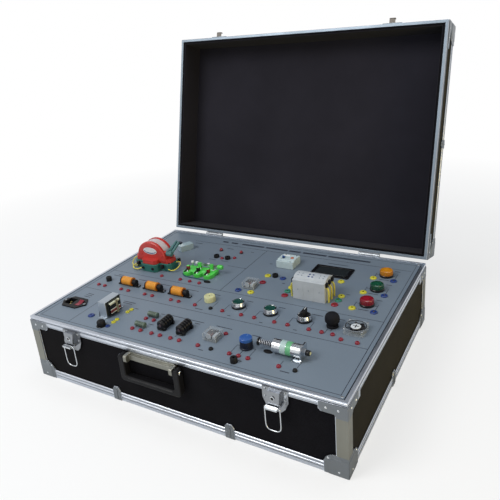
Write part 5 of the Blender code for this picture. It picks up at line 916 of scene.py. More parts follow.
        # A dark sheet of cloth over the inside of the lid's front wall: painted shade on the open lid's
        # upper inner wall.
        shade = Bench.block((-332.6, -244.85, top + 1.2), (332.6, -244.55, lid_top - 6.8), 0.05)
        self.fit(self.lifted(shade), "lid_lining_front", Lining("lid_cloth_shaded", "lining", (17, 16, 20)),
            "lid")
        uprights = [(0, 38), (0, 113), (19.5, 113), (19.5, 38)]
        self.group(self.plated(uprights, 0.15), "base_uprights", UPRIGHT)
        self.armour()
        self.armour(True)
        self.rivets("base_rivets", self.corner_rivets([(33, 31), (15, 8), (34, 126.5), (14, 126.5)]))
        self.rivets("lid_rivets", self.corner_rivets([(33, lid_top - 31), (15, lid_top - 8),
            (34, 2 * top - 126.5), (14, 2 * top - 126.5)]), True)
        self.catches()
        self.hinges()

    def catches(self) -> None:
        """Plates the two lid catches and their hooks in darker steel."""
        low, front = self.height + 0.8, -self.half_depth - 1.5
        for side, way in SIDES:
            x = way * self.latch_x
            outline = [(x - 21.3, low + 0.2), (x + 21.3, low + 0.2), (x + 21.3, low + 12),
                (x + 10.5, low + 23.8), (x - 10.5, low + 23.8), (x - 21.3, low + 12)]
            flange = Bench.plate(outline, front - 0.35, front + 0.2, Axis.Y, 0.15)
            shank = Bench.block((x - 6.4, front - 10.7, low - 0.2), (x + 6.4, front, low + 1.8), 0.2)
            lip = Bench.block((x - 6.4, front - 10.9, low - 0.2), (x + 6.4, front - 8.75, low + 7.6), 0.3)
            self.fit(self.lifted(Bench.joined([flange, shank, lip])), f"lid_catch_{side}", CATCH, "lid")
            seats = [((x + across, front - 0.3, low + up), Axis.Y, -1) for across,
                up in ((-16, 7), (16, 7), (0, 19))]
            self.rivets(f"catch_rivets_{side}", seats, True)

    def hinges(self) -> None:
        """Dresses the two hinges and sets their screws."""
        for side in ("left", "right"):
            self.eased(f"base_hinge_{side}", STEEL, 0.3)
            self.eased(f"lid_hinge_{side}", STEEL, 0.3, "lid")
        places = [((side * 214.9 + step, 257.3, 130.0), Axis.Y, 1) for side in WAYS for step in (-18, 0, 18)]
        self.rivets("hinge_rivets", places)


@dataclass
class Latches(Assembly):
    """The two key latches and the carrying handle."""

    place: float = 225.975
    face: float = -259.2
    lock_face: float = -268.7
    keyhole_z: float = 123.0
    handle_x: float = -24.8

    def build(self) -> None:
        """Dresses plates, levers, bails and the handle."""
        for side, way in SIDES:
            x = way * self.place
            self.eased(f"latch_plate_{side}", NICKEL, 0.5)
            self.eased(f"latch_lever_{side}", CHROME, 0.4, f"lever_{side}")
            self.bail(side, x)
            heads = [Bench.turned([(1.9, 0.3), (1.9, -0.3), (1.3, -0.9), (0, -1.1)],
                (x + across, self.face, up), Axis.Y, 14) for across,
                up in ((-18, 131), (18, 131), (-18, 117), (18, 117))]
            self.group(heads, f"latch_rivets_{side}", STEEL)
            centre = (x, self.lock_face, self.keyhole_z)
            collar = Bench.turned([(4.0, 0.5), (4.0, -0.25), (3.5, -0.6), (2.8, -0.6), (2.7, 0)], centre,
                Axis.Y, 28)
            self.fit(collar, f"lock_collar_{side}", CHROME)
            barrel = Bench.turned([(2.75, 0.5), (2.75, -0.35), (0, -0.4)], centre, Axis.Y, 24)
            self.fit(barrel, f"lock_barrel_{side}", GLOSS_BLACK)
            tongue = Bench.plate([(x - 8.6, 118), (x + 8.6, 118), (x + 8.6, 127.6), (x + 6.6, 130.2),
                (x - 6.6, 130.2), (x - 8.6, 127.6)], self.face - 5.4, self.face - 4.6, Axis.Y, 0.2)
            self.fit(tongue, f"lock_step_{side}", NICKEL)
        self.eased("handle_mount", UPRIGHT, 1.0, segments=3)
        self.grip()
        ridge = Bench.tube([(self.handle_x + across, -272.3, 77.2) for across in range(-52, 53, 8)], 1.3)
        self.fit(ridge, "handle_ridge", GLOSS_BLACK, "handle")
        screws = [Bench.turned([(2.6, 0.4), (2.6, -0.4), (1.9, -1.1), (0, -1.4)],
            (self.handle_x + across, -261.6, 117.0), Axis.Y, 16) for across in (-44, -34, 34, 44)]
        self.group(screws, "handle_screws", CHROME)
        for side, way in SIDES:
            cap = Bench.turned([(4.2, 0), (4.2, way * 0.8), (3.2, way * 1.5), (0, way * 1.8)],
                (self.handle_x + way * 69.2, -265.5, 117.0), Axis.X, 20)
            self.fit(cap, f"handle_pin_{side}", CHROME, "handle")

    def grip(self) -> None:
        """Moulds the handle: two deep legs and a straight grip between them."""
        def bend(across: float, up: float, radius: float, start: int, stop: int) -> list[Spot]:
            """Part of a circle between two angles, in degrees."""
            angles = [math.radians(start + (stop - start) * step / 5) for step in range(6)]
            return [(self.handle_x + across + radius * math.cos(angle), up + radius * math.sin(angle))
                for angle in angles]

        outline = (bend(-63.2, 118, 6.2, 180, 90) + bend(-62.8, 118, 6.2, 90, 0)
            + bend(-52.6, 84, 4, 180, 270) + bend(52.6, 84, 4, 270, 360) + bend(62.8, 118, 6.2, 180, 90)
            + bend(63.2, 118, 6.2, 90, 0) + bend(61.4, 76, 8, 0, -90) + bend(-61.4, 76, 8, -90, -180))
        piece = Bench.soften(Bench.plate(outline, -272.7, -258.6, Axis.Y), 2.2, 4)
        self.fit(piece, "handle_grip", RUBBER, "handle", ["carry_handle"])

    def bail(self, side: str, x: float) -> None:
        """Bends one wire bail in the place of its CAD node."""
        low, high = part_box(f"latch_bail_{side}")
        wire = (high.y - low.y) / 2 / MM
        y = (low.y + high.y) / 2 / MM
        half = (high.x - low.x) / 2 / MM - wire
        foot, top = low.z / MM + wire, high.z / MM - wire
        bend = 9.5
        line = [(x + half - 5.3, y, top), (x + half - 2.6, y, top), (x + half - 0.3, y, top - 0.6),
            (x + half, y, top - 3)]
        line += [(x + half, y, top - 3 - step * 4.4) for step in range(1, 7)]
        line += [(x + half - bend + bend * math.cos(angle), y, foot + bend - bend * math.sin(angle))
            for angle in (0.2, 0.6, 1.0, 1.35)]
        line += [(x, y, foot)] + [(2 * x - point[0], y, point[2]) for point in reversed(line)]
        self.fit(Bench.tube(line, wire, 3), f"latch_bail_{side}_wire", CHROME, f"bail_{side}",
            [f"latch_bail_{side}"])


@dataclass
class Panel(Assembly):
    """The grey panel, its print, its sockets and the small parts fixed on it."""

    socket_radius: float = 7.2
    small_radius: float = 4.6
    line: float = 1.0

    RED_SPOTS: ClassVar[list[Spot]] = [(-102.5, -172.5), (-82.6, -172.5), (-103.6, -212.8), (-83.2, -212.8),
        (-56.2, -212.8), (-36.2, -212.8), (-11.5, -212.8), (8.5, -212.8), (50.1, -213.1), (77.5, -160.5),
        (116.4, -213.3), (134.7, -213.3), (153.3, -213.3), (211.8, -213.3), (-307.9, -90.4), (-289.7, -90.4),
        (-240.3, -90.4), (-219.6, -90.4), (-172.6, -90.4), (-151.9, -90.4), (-101.5, -90.4), (-81.2, -90.4),
        (-39.9, -90.4), (26.7, -90.4), (70, -90.4), (99.2, -90.4), (142.5, -90.4), (170.2, -90.4),
        (212.9, -90.4), (237.9, -90.4), (258.9, -90.4), (277.8, -99.9), (307.6, -99.9), (-192.9, -3),
        (-139.8, -3), (-113.7, -3), (-87.6, -3), (-109.3, 130), (-80.5, 141.7), (44.7, 49.8), (115.4, 12.8),
        (224, 12.5)]
    LARGE_RED: ClassVar[list[Spot]] = [(44.7, 49.8), (115.4, 12.8), (224, 12.5)]
    BLACK_SPOTS: ClassVar[list[Spot]] = [(78.5, -213.6), (241.3, -213.3), (-1.4, -90.4)]
    BLUE_SPOTS: ClassVar[list[Spot]] = [(-220, -205.1), (11.8, -0.8), (78.2, 81.9), (302.9, 149.5),
        (302.9, 81.1), (302.9, 11.5)]
    YELLOW_SPOTS: ClassVar[list[Spot]] = [(42, 0), (40.6, 82.9), (114, 50.1), (224.7, 49.8), (202, 110.7),
        (259.6, 150.2), (259.6, 81.1), (259.6, 12.5)]
    GREEN_SPOTS: ClassVar[list[Spot]] = [(113.4, 31.3), (224.7, 31.6)]
    SMALL_YELLOW: ClassVar[list[Spot]] = [(-156, -208.6), (-156.3, -197.8), (-156.3, -165.5),
        (-155.3, -154.7)]
    SMALL_BLUE: ClassVar[list[Spot]] = [(-156.3, -224.6)]

    LINES: ClassVar[list[tuple[float, float, float, float]]] = [(-329.5, -241, 329.5, -241),
        (-329.5, 241, 329.5, 241), (-329.5, -241, -329.5, 241), (329.5, -241, 329.5, 241),
        (-329.5, -110, 329.5, -110), (-329.5, -15.5, 329.5, -15.5), (-240, 208, 325, 208),
        (-75, 100, -25.5, 100), (-25.5, -15.5, -25.5, 208), (-249, -241, -249, -110), (-43, -84, -43, -60),
        (-1.4, -84, -1.4, -60), *((x, -84, x, -62) for x in (26.7, 68, 97.5, 140, 168.5, 212)),
        (243.5, -90, 243.5, -65), (237, -90, 243.5, -90), (251, -80, 251, -65), (26.7, -62, 33, -62),
        (62, -62, 68, -62), (97.5, -62, 105, -62), (135, -62, 140, -62), (168.5, -62, 176, -62),
        (207, -62, 212, -62), (259.6, 156, 259.6, 178), (302.9, 156, 302.9, 185), (259.6, 87, 259.6, 108),
        (302.9, 87, 302.9, 112), (259.6, 19, 259.6, 40), (302.9, 18, 302.9, 42), (259.6, 171, 267, 171),
        (297, 171, 302.9, 171), (259.6, 102.9, 267, 102.9), (297, 102.9, 302.9, 102.9),
        (259.6, 35.6, 267, 35.6), (297, 35.6, 302.9, 35.6), (35, -165, 35, -150), (115.5, -207, 115.5, -183),
        (152.5, -207, 152.5, -183), (147, -183, 152.5, -183), (115.5, -183, 122, -183),
        (133.5, -207, 133.5, -196), (211.8, -207, 211.8, -195), (241.3, -207, 241.3, -190),
        (-7, -205, -7, -200), (-102.5, -207, -102.5, -200.3), (-83, -207, -83, -200.3),
        (-102.5, -166, -102.5, -160.3), (-83, -166, -83, -160.3)]
    BARS: ClassVar[list[tuple[float, float, float]]] = [(-300, -285, -31), (-310, -280, -37),
        (-235, -208, -35), (-172, -138, -36), (-100, -67, -36), (-28, -12, -35), (-33, -15, -100),
        (52, 67, -35), (125, 140, -35), (196, 220, -36), (250, 262, -35), (288, 300, -35), (44, 51, -100),
        (115, 122, -100), (186, 193, -100), (-300, -283, -132), (-300, -283, -138.5), (-300, -283, -145),
        (-197, -165, -130), (-195, -170, -136), (-152, -143, -147), (-85, -75, -145), (-85, -73, -186),
        (-60, -20, -142), (-18, 17, -142), (0, 12, -149), (45, 80, -142), (57, 67, -222), (125, 145, -145),
        (140, 147, -224), (218, 235, -222), (-140, -120, 119), (-105, -85, 119), (-130, -112, 190),
        (-60, -52, 188), (-232, -210, 195), (-217, -207, 172), (15, 22, 143), (142, 190, 190), (86, 93, 62),
        (231, 239, 62), (293, 305, 197), (293, 305, 130), (293, 305, 60), (272, 293, 150), (270, 290, 82),
        (271, 292, 14)]
    TITLE: ClassVar[list[Spot]] = [(-164, -148), (-138, -119), (-106, -43), (-37, 22), (27, 57), (64, 124),
        (129, 230)]

    def sheet(self) -> None:
        """Takes the panel's sheet, with its holes, from the CAD node, cut off just above its face."""
        piece = Bench.clone("control_panel")
        Bench.take(piece)
        Bench.edit()
        bpy.ops.mesh.bisect(plane_co=(0, 0, (PANEL_Z + 0.05) * MM), plane_no=(0, 0, 1), use_fill=True,
            threshold=MERGE, clear_outer=True)
        Bench.close()
        self.fit(piece, "panel_sheet", PANEL, stands_for=["control_panel"])

    def printing(self) -> None:
        """Lays the printed lines, and a bare bar wherever a caption stood."""
        strips = [(x0, y0, x1, y1, self.line) for x0, y0, x1, y1 in self.LINES]
        strips += [(x0, y, x1, y, 1.9) for x0, x1, y in self.BARS]
        strips += [(x0, 225.5, x1, 225.5, 7.2) for x0, x1 in self.TITLE]
        Bench.take()
        bpy.ops.mesh.primitive_plane_add(size=1, location=(0, 0, 0))
        bpy.ops.object.mode_set(mode="EDIT")
        for index, (x0, y0, x1, y1, wide) in enumerate(strips):
            low, high = (min(x0, x1), min(y0, y1)), (max(x0, x1), max(y0, y1))
            centre = Vector(((x0 + x1) / 2, (y0 + y1) / 2, PANEL_Z + 0.09)) * MM
            bpy.ops.mesh.primitive_cube_add(size=1, location=centre)
            size = ((high[0] - low[0] + (wide if x0 == x1 else 0)) * MM,
                (high[1] - low[1] + (wide if y0 == y1 else 0)) * MM, 0.1 * MM)
            bpy.ops.transform.resize(value=size, center_override=centre)
        bpy.ops.mesh.select_all(action="DESELECT")
        bpy.ops.object.mode_set(mode="OBJECT")
        piece = bpy.context.object
        for vertex in piece.data.vertices[:4]:
            vertex.select = True
        bpy.ops.object.mode_set(mode="EDIT")
        bpy.ops.mesh.delete(type="VERT")
        Bench.close()
        self.fit(piece, "panel_print", INK)

    def sockets(self) -> None:
        """Sets the shrouded sockets, colour by colour, and their sleeves."""
        groups = (("red", self.RED_SPOTS, RED), ("black", self.BLACK_SPOTS, BLACK),
            ("blue", self.BLUE_SPOTS, BLUE), ("yellow", self.YELLOW_SPOTS, YELLOW),
            ("green", self.GREEN_SPOTS, MID_GREEN))
        small = [(4.3, -0.5), (4.3, 1.0), (4.0, 2.5), (3.2, 3.7), (1.9, 4.3), (0.9, 4.3), (0.7, 2.5)]
        wide = self.socket_radius
        large = [(wide, -0.5), (wide, 1.3), (wide - 0.5, 2.1), (wide - 1.5, 2.8), (2.6, 3.1), (1.7, 2.8),
            (1.6, 0.9)]
        for name, spots, finish in groups:
            domed = [spot for spot in spots if name in ("red", "black") and spot not in self.LARGE_RED]
            flat = [spot for spot in spots if spot not in domed]
            for shape, rings, chosen in (("domed", small, domed), ("flat", large, flat)):
                if chosen:
                    pattern = Bench.turned(rings, (0, 0, 0), sides=26)
                    piece = Bench.strewn(pattern, [(x, y, PANEL_Z) for x, y in chosen])
                    self.fit(piece, f"sockets_{name}_{shape}", finish)
        slim = self.small_radius
        rings = [(slim, -0.5), (slim, 1.3), (slim - 0.7, 2.4), (2.6, 2.9), (1.6, 2.9), (1.6, 0.9)]
        for name, spots, finish in (("yellow", self.SMALL_YELLOW, YELLOW), ("blue", self.SMALL_BLUE, BLUE)):
            pattern = Bench.turned(rings, (0, 0, 0), sides=24)
            self.fit(Bench.strewn(pattern, [(x, y, PANEL_Z) for x, y in spots]), f"small_sockets_{name}",
                finish)
        # Black strips along the front and right edges of the panel: a painted shadow in the gap between
        # panel and rim.
        east, north = 338.1, 250.1
        gap = [Bench.block((-east, -north, PANEL_Z - 0.2), (east, 1.3 - north, PANEL_Z + 0.12), 0.02),
            Bench.block((east - 1.5, -north, PANEL_Z - 0.2), (east, north, PANEL_Z + 0.14), 0.02)]
        self.group(gap, "panel_gap", RUBBER)
        every = self.LARGE_RED + self.BLUE_SPOTS[1:] + self.YELLOW_SPOTS + self.GREEN_SPOTS
        sleeve = Bench.turned([(1.7, 0.8), (1.7, 3.0), (1.3, 3.0), (1.25, 1.1)], ORIGIN, sides=14)
        self.fit(Bench.strewn(sleeve, [(x, y, PANEL_Z) for x, y in every]), "socket_sleeves", BRASS)

    def fittings(self) -> None:
        """Sets the caps, indicator diodes, grommets, resistors, clear block and screws."""
        cap = Bench.turned([(6.5, -0.5), (6.5, 8.8), (5.9, 9.8), (3.4, 10), (3.0, 9.2), (2.0, 9.2),
            (2.0, 7)], ORIGIN)
        self.fit(Bench.strewn(cap, [(-299.8, -64.6, PANEL_Z), (136, -230.4, PANEL_Z)]), "tall_caps", BLACK)
        cap = Bench.turned([(6.5, -0.5), (6.7, 5.4), (6.3, 6.6), (5.4, 7), (2.4, 7), (2.2, 5)], ORIGIN)
        spots = [(-126.9, 133.2, PANEL_Z), (-95.1, 133.2, PANEL_Z), (57.9, 85.4, PANEL_Z)]
        self.fit(Bench.strewn(cap, spots), "low_caps", BLACK)
        spots = [(-137.1, 171.8, PANEL_Z), (-79.9, 173.8, PANEL_Z)]
        collar = Bench.turned([(4.8, -0.5), (4.8, 1.2), (4.3, 1.7), (4.0, 1.7)], ORIGIN, sides=24)
        self.fit(Bench.strewn(collar, spots), "diode_collars", GLOSS_BLACK)
        dome = Bench.turned([(4.1, 1), (4.1, 3.2), (3.8, 4.9), (3.0, 6.3), (1.6, 7.1), (0, 7.3)], ORIGIN,
            sides=24)
        self.fit(Bench.strewn(dome, spots), "diode_domes", Moulded("diode_red", "red", (128, 24, 40), 0.2,
            coat=0.5))
        for index, (x, y) in enumerate(((176, -182), (-74.4, 9))):
            base = Bench.plate(oval(17, 9, (x, y)), PANEL_Z - 0.3, PANEL_Z + 2.2, bevel=0.8)
            top = Bench.plate(oval(12.5, 6, (x, y)), PANEL_Z + 1.8, PANEL_Z + 3.5, bevel=0.7)
            self.group([base, top], f"grommet_{index}", RUBBER)
        rings = [(0.5, -12), (4.2, -12), (5.4, -11), (5.5, -9), (5.0, -8), (5.0, 8), (5.5, 9), (5.4, 11),
            (4.2, 12), (0.5, 12)]
        bodies = [Bench.turned(rings, (-92.4, y, PANEL_Z + 6), Axis.X, 28) for y in (-160.3, -200.3)]
        self.group(bodies, "resistor_bodies", Moulded("resistor_glaze", "panel", (88, 104, 92), 0.34))
        bands = [Bench.turned([(5.12, x), (5.12, x + 1.3)], (-92.4, y, PANEL_Z + 6), Axis.X, 28)
            for y in (-160.3, -200.3) for x in (-5.5, -2.2, 1.1, 5.0)]
        self.group(bands, "resistor_bands", Moulded("resistor_bands", "panel", (62, 76, 66), 0.4))
        saddles = [Bench.block((-92.4 - 2.5, y - 3, PANEL_Z - 0.2), (-92.4 + 2.5, y + 3, PANEL_Z + 2.5), 0.4)
            for y in (-160.3, -200.3)]
        self.group(saddles, "resistor_saddles", BLACK)
        cover = Bench.block((-240.5, 130.7, PANEL_Z), (-220.5, 166.7, PANEL_Z + 15.5), 0.7)
        inner = Bench.block((-238, 133.5, PANEL_Z + 0.3), (-223, 164, PANEL_Z + 8), 0.6)
        slant = swung(math.radians(-27), Axis.Z, (-230.5, 148.7, 0))
        for piece, name, finish in ((cover, "terminal_cover", MILKY), (inner, "terminal_strip", GREY_WHITE)):
            piece.data.transform(slant)
            self.fit(piece, name, finish)
        collar = Bench.turned([(11, -0.3), (11, 3.6), (10.2, 4.8), (8.6, 4.8), (8.4, 1)],
            (248.4, -63.1, PANEL_Z))
        self.fit(collar, "mushroom_collar", MATT_BLACK)
        corners = [(x * 332.6, y * 244.6, PANEL_Z) for x in (-1, 1) for y in (-1, 1)]
        head = Bench.turned([(2.6, -0.2), (2.6, 0.4), (2.0, 0.8), (0.8, 0.9), (0.6, 0.5), (0, 0.5)], ORIGIN,
            sides=18)
        self.fit(Bench.strewn(head, corners), "panel_screws", STEEL)
        seat = Bench.turned([(10.4, -0.2), (10.4, 0.9), (9.8, 1.5), (8.5, 1.5)], (-170.9, -227.1, PANEL_Z))
        self.fit(seat, "fuse_seat_ring", GLOSS_BLACK)

    def build(self) -> None:
        """Makes the panel and all that is fixed on it."""
        self.sheet()
        self.printing()
        self.sockets()
        self.fittings()


@dataclass
class PushControl(Assembly):
    """A bezel with its push button or its selector knob."""

    name: str = "button_left"
    x: float = 48.1
    y: float = -61.6
    turning: bool = False
    seat: float = 14.7
    ring: float = 12.6
    bore: float = 10.7

    def build(self) -> None:
        """Makes the seat, the bright ring and what moves in it."""
        at = (self.x, self.y, SEAT_Z)
        bezel = "selector_bezel" if self.turning else f"{self.name}_bezel"
        seat = Bench.turned([(self.bore + 0.1, -24), (self.bore + 0.1, 0), (self.seat, 0), (self.seat, 3.5),
            (self.seat - 0.9, 4.4), (self.bore + 0.6, 4.4)], at, sides=48)
        bore = Bench.turned([(self.bore, -6), (self.bore, 12)], at, sides=48)
        self.fit(Bench.carve(seat, bore), f"{bezel}_seat", GLOSS_BLACK, "case", [bezel])
        ring = Bench.turned([(14.2, 4.1), (14.2, 5.4), (13.6, 6.6), (13.0, 10.6), (self.ring, 11.6),
            (12.0, 11.9), (11.3, 11.8), (self.bore, 11.2)], at, sides=56)
        hole = Bench.turned([(self.bore, -1), (self.bore, 13)], at, sides=56)
        self.fit(Bench.carve(ring, hole), f"{bezel}_ring", CHROME, "case")
        if self.turning:
            disc = Bench.turned([(10.3, 0.4), (10.3, 11.3), (9.8, 11.9), (0, 12.0)], at, sides=40)
            self.fit(disc, "selector_disc", BLACK, "selector", ["selector_knob"])
            half = 3.75
            outline = [(self.x - half, self.y - 9), (self.x - 2.4, self.y - 10.3),
                (self.x + 2.4, self.y - 10.3), (self.x + half, self.y - 9),
                (self.x + half - 0.6, self.y + 9.2), (self.x, self.y + 10.4),
                (self.x - half + 0.6, self.y + 9.2)]
            bar = Bench.plate(outline, SEAT_Z + 11.5, SEAT_Z + 22.2, bevel=1.1)
            self.fit(bar, "selector_grip", BLACK, "selector")
            mark = Bench.block((self.x - 0.7, self.y + 1, SEAT_Z + 22.1),
                (self.x + 0.7, self.y + 9, SEAT_Z + 22.35), 0.1)
            self.fit(mark, "selector_pointer", WHITE, "selector")
        else:
            cap = Bench.turned([(10.3, 0.4), (10.3, 11.8), (9.9, 12.3), (9.0, 12.4), (7.6, 12.0), (0, 11.6)],
                at, sides=48)
            self.fit(cap, f"{self.name}_cap", GREEN, self.body, [self.name])


@dataclass
class Lamp(Assembly):
    """An indicator lamp: black base, moulded lens and ribs."""

    name: str = "lamp_red"
    x: float = 281.9
    y: float = 35.6
    shade: Shade = (165, 30, 45)

    def glass(self, kind: str) -> Lens:
        """The lamp's own coloured glass."""
        return Lens(f"{self.name}_{kind}", self.name.split("_")[1], self.shade, (self.x, self.y))

    def build(self) -> None:
        """Makes the base, the lens and its ribs."""
        at = (self.x, self.y, SEAT_Z)
        base = Bench.turned([(10.8, -24), (10.8, 0), (14.7, 0), (14.7, 3.4), (13.9, 4.4), (13.0, 4.4)], at,
            sides=44)
        self.fit(base, f"{self.name}_base", GLOSS_BLACK, stands_for=[self.name])
        lens = Bench.turned([(13.3, 4.2), (13.4, 5.0), (13.4, 12.2), (12.9, 13.6), (11.6, 14.5), (8.2, 14.8),
            (0, 14.9)], at, sides=48)
        self.fit(lens, f"{self.name}_lens", self.glass("glass"))
        rib = Bench.block((self.x + 13.0, self.y - 0.45, SEAT_Z + 5),
            (self.x + 13.75, self.y + 0.45, SEAT_Z + 12.4), 0.2)
        self.group(Bench.circled(rib, 24, at), f"{self.name}_ribs", self.glass("rib_glass"))


@dataclass
class FrontRow(Assembly):
    """Buzzer, mushroom button, fan, potentiometer and fuse holder."""

    def buzzer(self) -> None:
        """The cream buzzer with its sound hole and vents."""
        at = (-21, -61.6, SEAT_Z)
        body = Bench.turned([(11.8, 0), (11.8, 10.4), (11.2, 11.5), (10.2, 12), (9.0, 12), (8.7, 11.3),
            (3.4, 11.3), (3.0, 11.9), (1.7, 11.9), (1.6, 8)], at, sides=48)
        vents = [Bench.turned([(0.7, 9.5), (0.7, 14)], (at[0] + 6 * math.cos(step / 8 * TURN), at[1]
            + 6 * math.sin(step / 8 * TURN), SEAT_Z), sides=10) for step in range(8)]
        self.fit(Bench.carve(body, Bench.joined(vents)), "buzzer_can", CREAM, stands_for=["buzzer"])

    def mushroom(self) -> None:
        """The black mushroom push button."""
        head = Bench.turned([(8, -14), (8, 9.2), (11.6, 9.6), (13.2, 11), (13.7, 13.2), (13.7, 18),
            (13.1, 21.2), (11.6, 24.2), (9.2, 26.4), (6.2, 27.6), (3, 28), (0, 28.1)],
            (248.4, -63.1, SEAT_Z), sides=48)
        self.fit(head, "mushroom_head", MATT_BLACK, "mushroom", ["mushroom_button"])

    def fan(self) -> None:
        """The cooling fan: clear frame, screws, dark hub with a pale badge, and blades."""
        x, y = 292.4, -61.6
        self.eased("fan_frame", FROSTED, 0.5)
        screws = Bench.turned([(2.4, 0), (2.4, 0.6), (1.6, 1.2), (0, 1.4)], ORIGIN, sides=18)
        spots = [(x + east * 16.6, y + north * 16.6, SEAT_Z + 9.9) for east in WAYS for north in WAYS]
        self.fit(Bench.strewn(screws, spots), "fan_screws", STEEL)
        hub = Bench.turned([(10.2, 2.1), (10.5, 2.6), (10.5, 8.0), (9.8, 8.6), (0, 8.7)], (x, y, SEAT_Z),
            sides=44)
        self.fit(hub, "fan_hub", GLOSS_BLACK, "rotor", ["fan_rotor"])
        badge = Bench.turned([(9.2, 8.5), (9.2, 9.2), (8.6, 9.5), (0, 9.5)], (x, y, SEAT_Z), sides=36)
        self.fit(badge, "fan_badge", WHITE, "rotor")
        cross = [Bench.block((x - 5.4, y - 0.9, SEAT_Z + 9.4), (x + 5.4, y + 0.9, SEAT_Z + 9.6), 0.05),
            Bench.block((x - 0.9, y - 5.4, SEAT_Z + 9.4), (x + 0.9, y + 5.4, SEAT_Z + 9.6), 0.05)]
        self.group(cross, "fan_cross", BLACK, "rotor")
        lip = Bench.turned([(19.4, 9.6), (19.4, 10.2), (18.4, 10.4)], (x, y, SEAT_Z), sides=56)
        hole = Bench.turned([(18.2, 9), (18.2, 11)], (x, y, SEAT_Z), sides=56)
        self.fit(Bench.carve(lip, hole), "fan_lip", CHROME)
        blade = Bench.plate([(x + 9.6, y - 3.6), (x + 13, y - 4.8), (x + 17.4, y - 4.4), (x + 17.6, y + 3.2),
            (x + 13, y + 4.4), (x + 9.6, y + 3.4)], SEAT_Z + 6.2, SEAT_Z + 7.2, bevel=0.2)
        tilted = Bench.twin(blade, spin=math.radians(34), about=(x, y, SEAT_Z + 6.7), axis=Axis.X)
        bpy.data.objects.remove(blade)
        self.group(Bench.circled(tilted, 7, (x, y, 0)), "fan_blades", GLOSS_BLACK, "rotor")

    def dial(self) -> None:
        """The potentiometer: a fluted dark skirt under a blue cap with a pale pointer."""
        x, y = 134.7, -184.04
        skirt = Bench.turned([(9.0, -9), (9.0, 0.5), (12.2, 0.5), (12.2, 2.4), (11.6, 3.0), (11.2, 3.0),
            (10.9, 19.6), (10.2, 20.6), (8.6, 20.9)], (x, y, SEAT_Z), sides=48)
        flute = Bench.block((x + 10.6, y - 0.55, SEAT_Z + 3.2), (x + 11.5, y + 0.55, SEAT_Z + 15.6), 0.25)
        self.group([skirt] + Bench.circled(flute, 26, (x, y, 0)), "dial_grip", NAVY, "dial", ["pot_knob"])
        cap = Bench.turned([(11.3, 15.2), (11.75, 15.6), (11.5, 20.2), (10.6, 21.2), (8.4, 21.4), (0, 21.3)],
            (x, y, SEAT_Z), sides=48)
        self.fit(cap, "dial_cap", CAP_BLUE, "dial")
        mark = Bench.block((x - 0.4, y + 4, SEAT_Z + 21.2), (x + 0.4, y + 9, SEAT_Z + 21.55), 0.1)
        self.fit(mark, "dial_pointer", Moulded("pale_blue_mark", "blue", (120, 150, 196), 0.4), "dial")

    def fuse(self) -> None:
        """The fuse cap, fluted, with its coin slot."""
        x, y = -170.892, -227.113
        cap = Bench.turned([(4.6, -12), (4.6, 1.7), (8.2, 1.7), (8.2, 9.0), (7.5, 10.6), (6.6, 11.2),
            (0, 11.4)], (x, y, SEAT_Z), sides=40)
        slot = Bench.block((x - 6.4, y - 0.8, SEAT_Z + 9.4), (x + 6.4, y + 0.8, SEAT_Z + 13), 0.1)
        cap = Bench.carve(cap, slot)
        flute = Bench.block((x + 7.9, y - 0.5, SEAT_Z + 2.2), (x + 8.5, y + 0.5, SEAT_Z + 8.6), 0.2)
        self.group([cap] + Bench.circled(flute, 18, (x, y, 0)), "fuse_grip", BLACK, "fuse", ["fuse_cap"])

    def build(self) -> None:
        """Makes the round parts."""
        self.buzzer()
        self.mushroom()
        self.fan()
        self.dial()
        self.fuse()


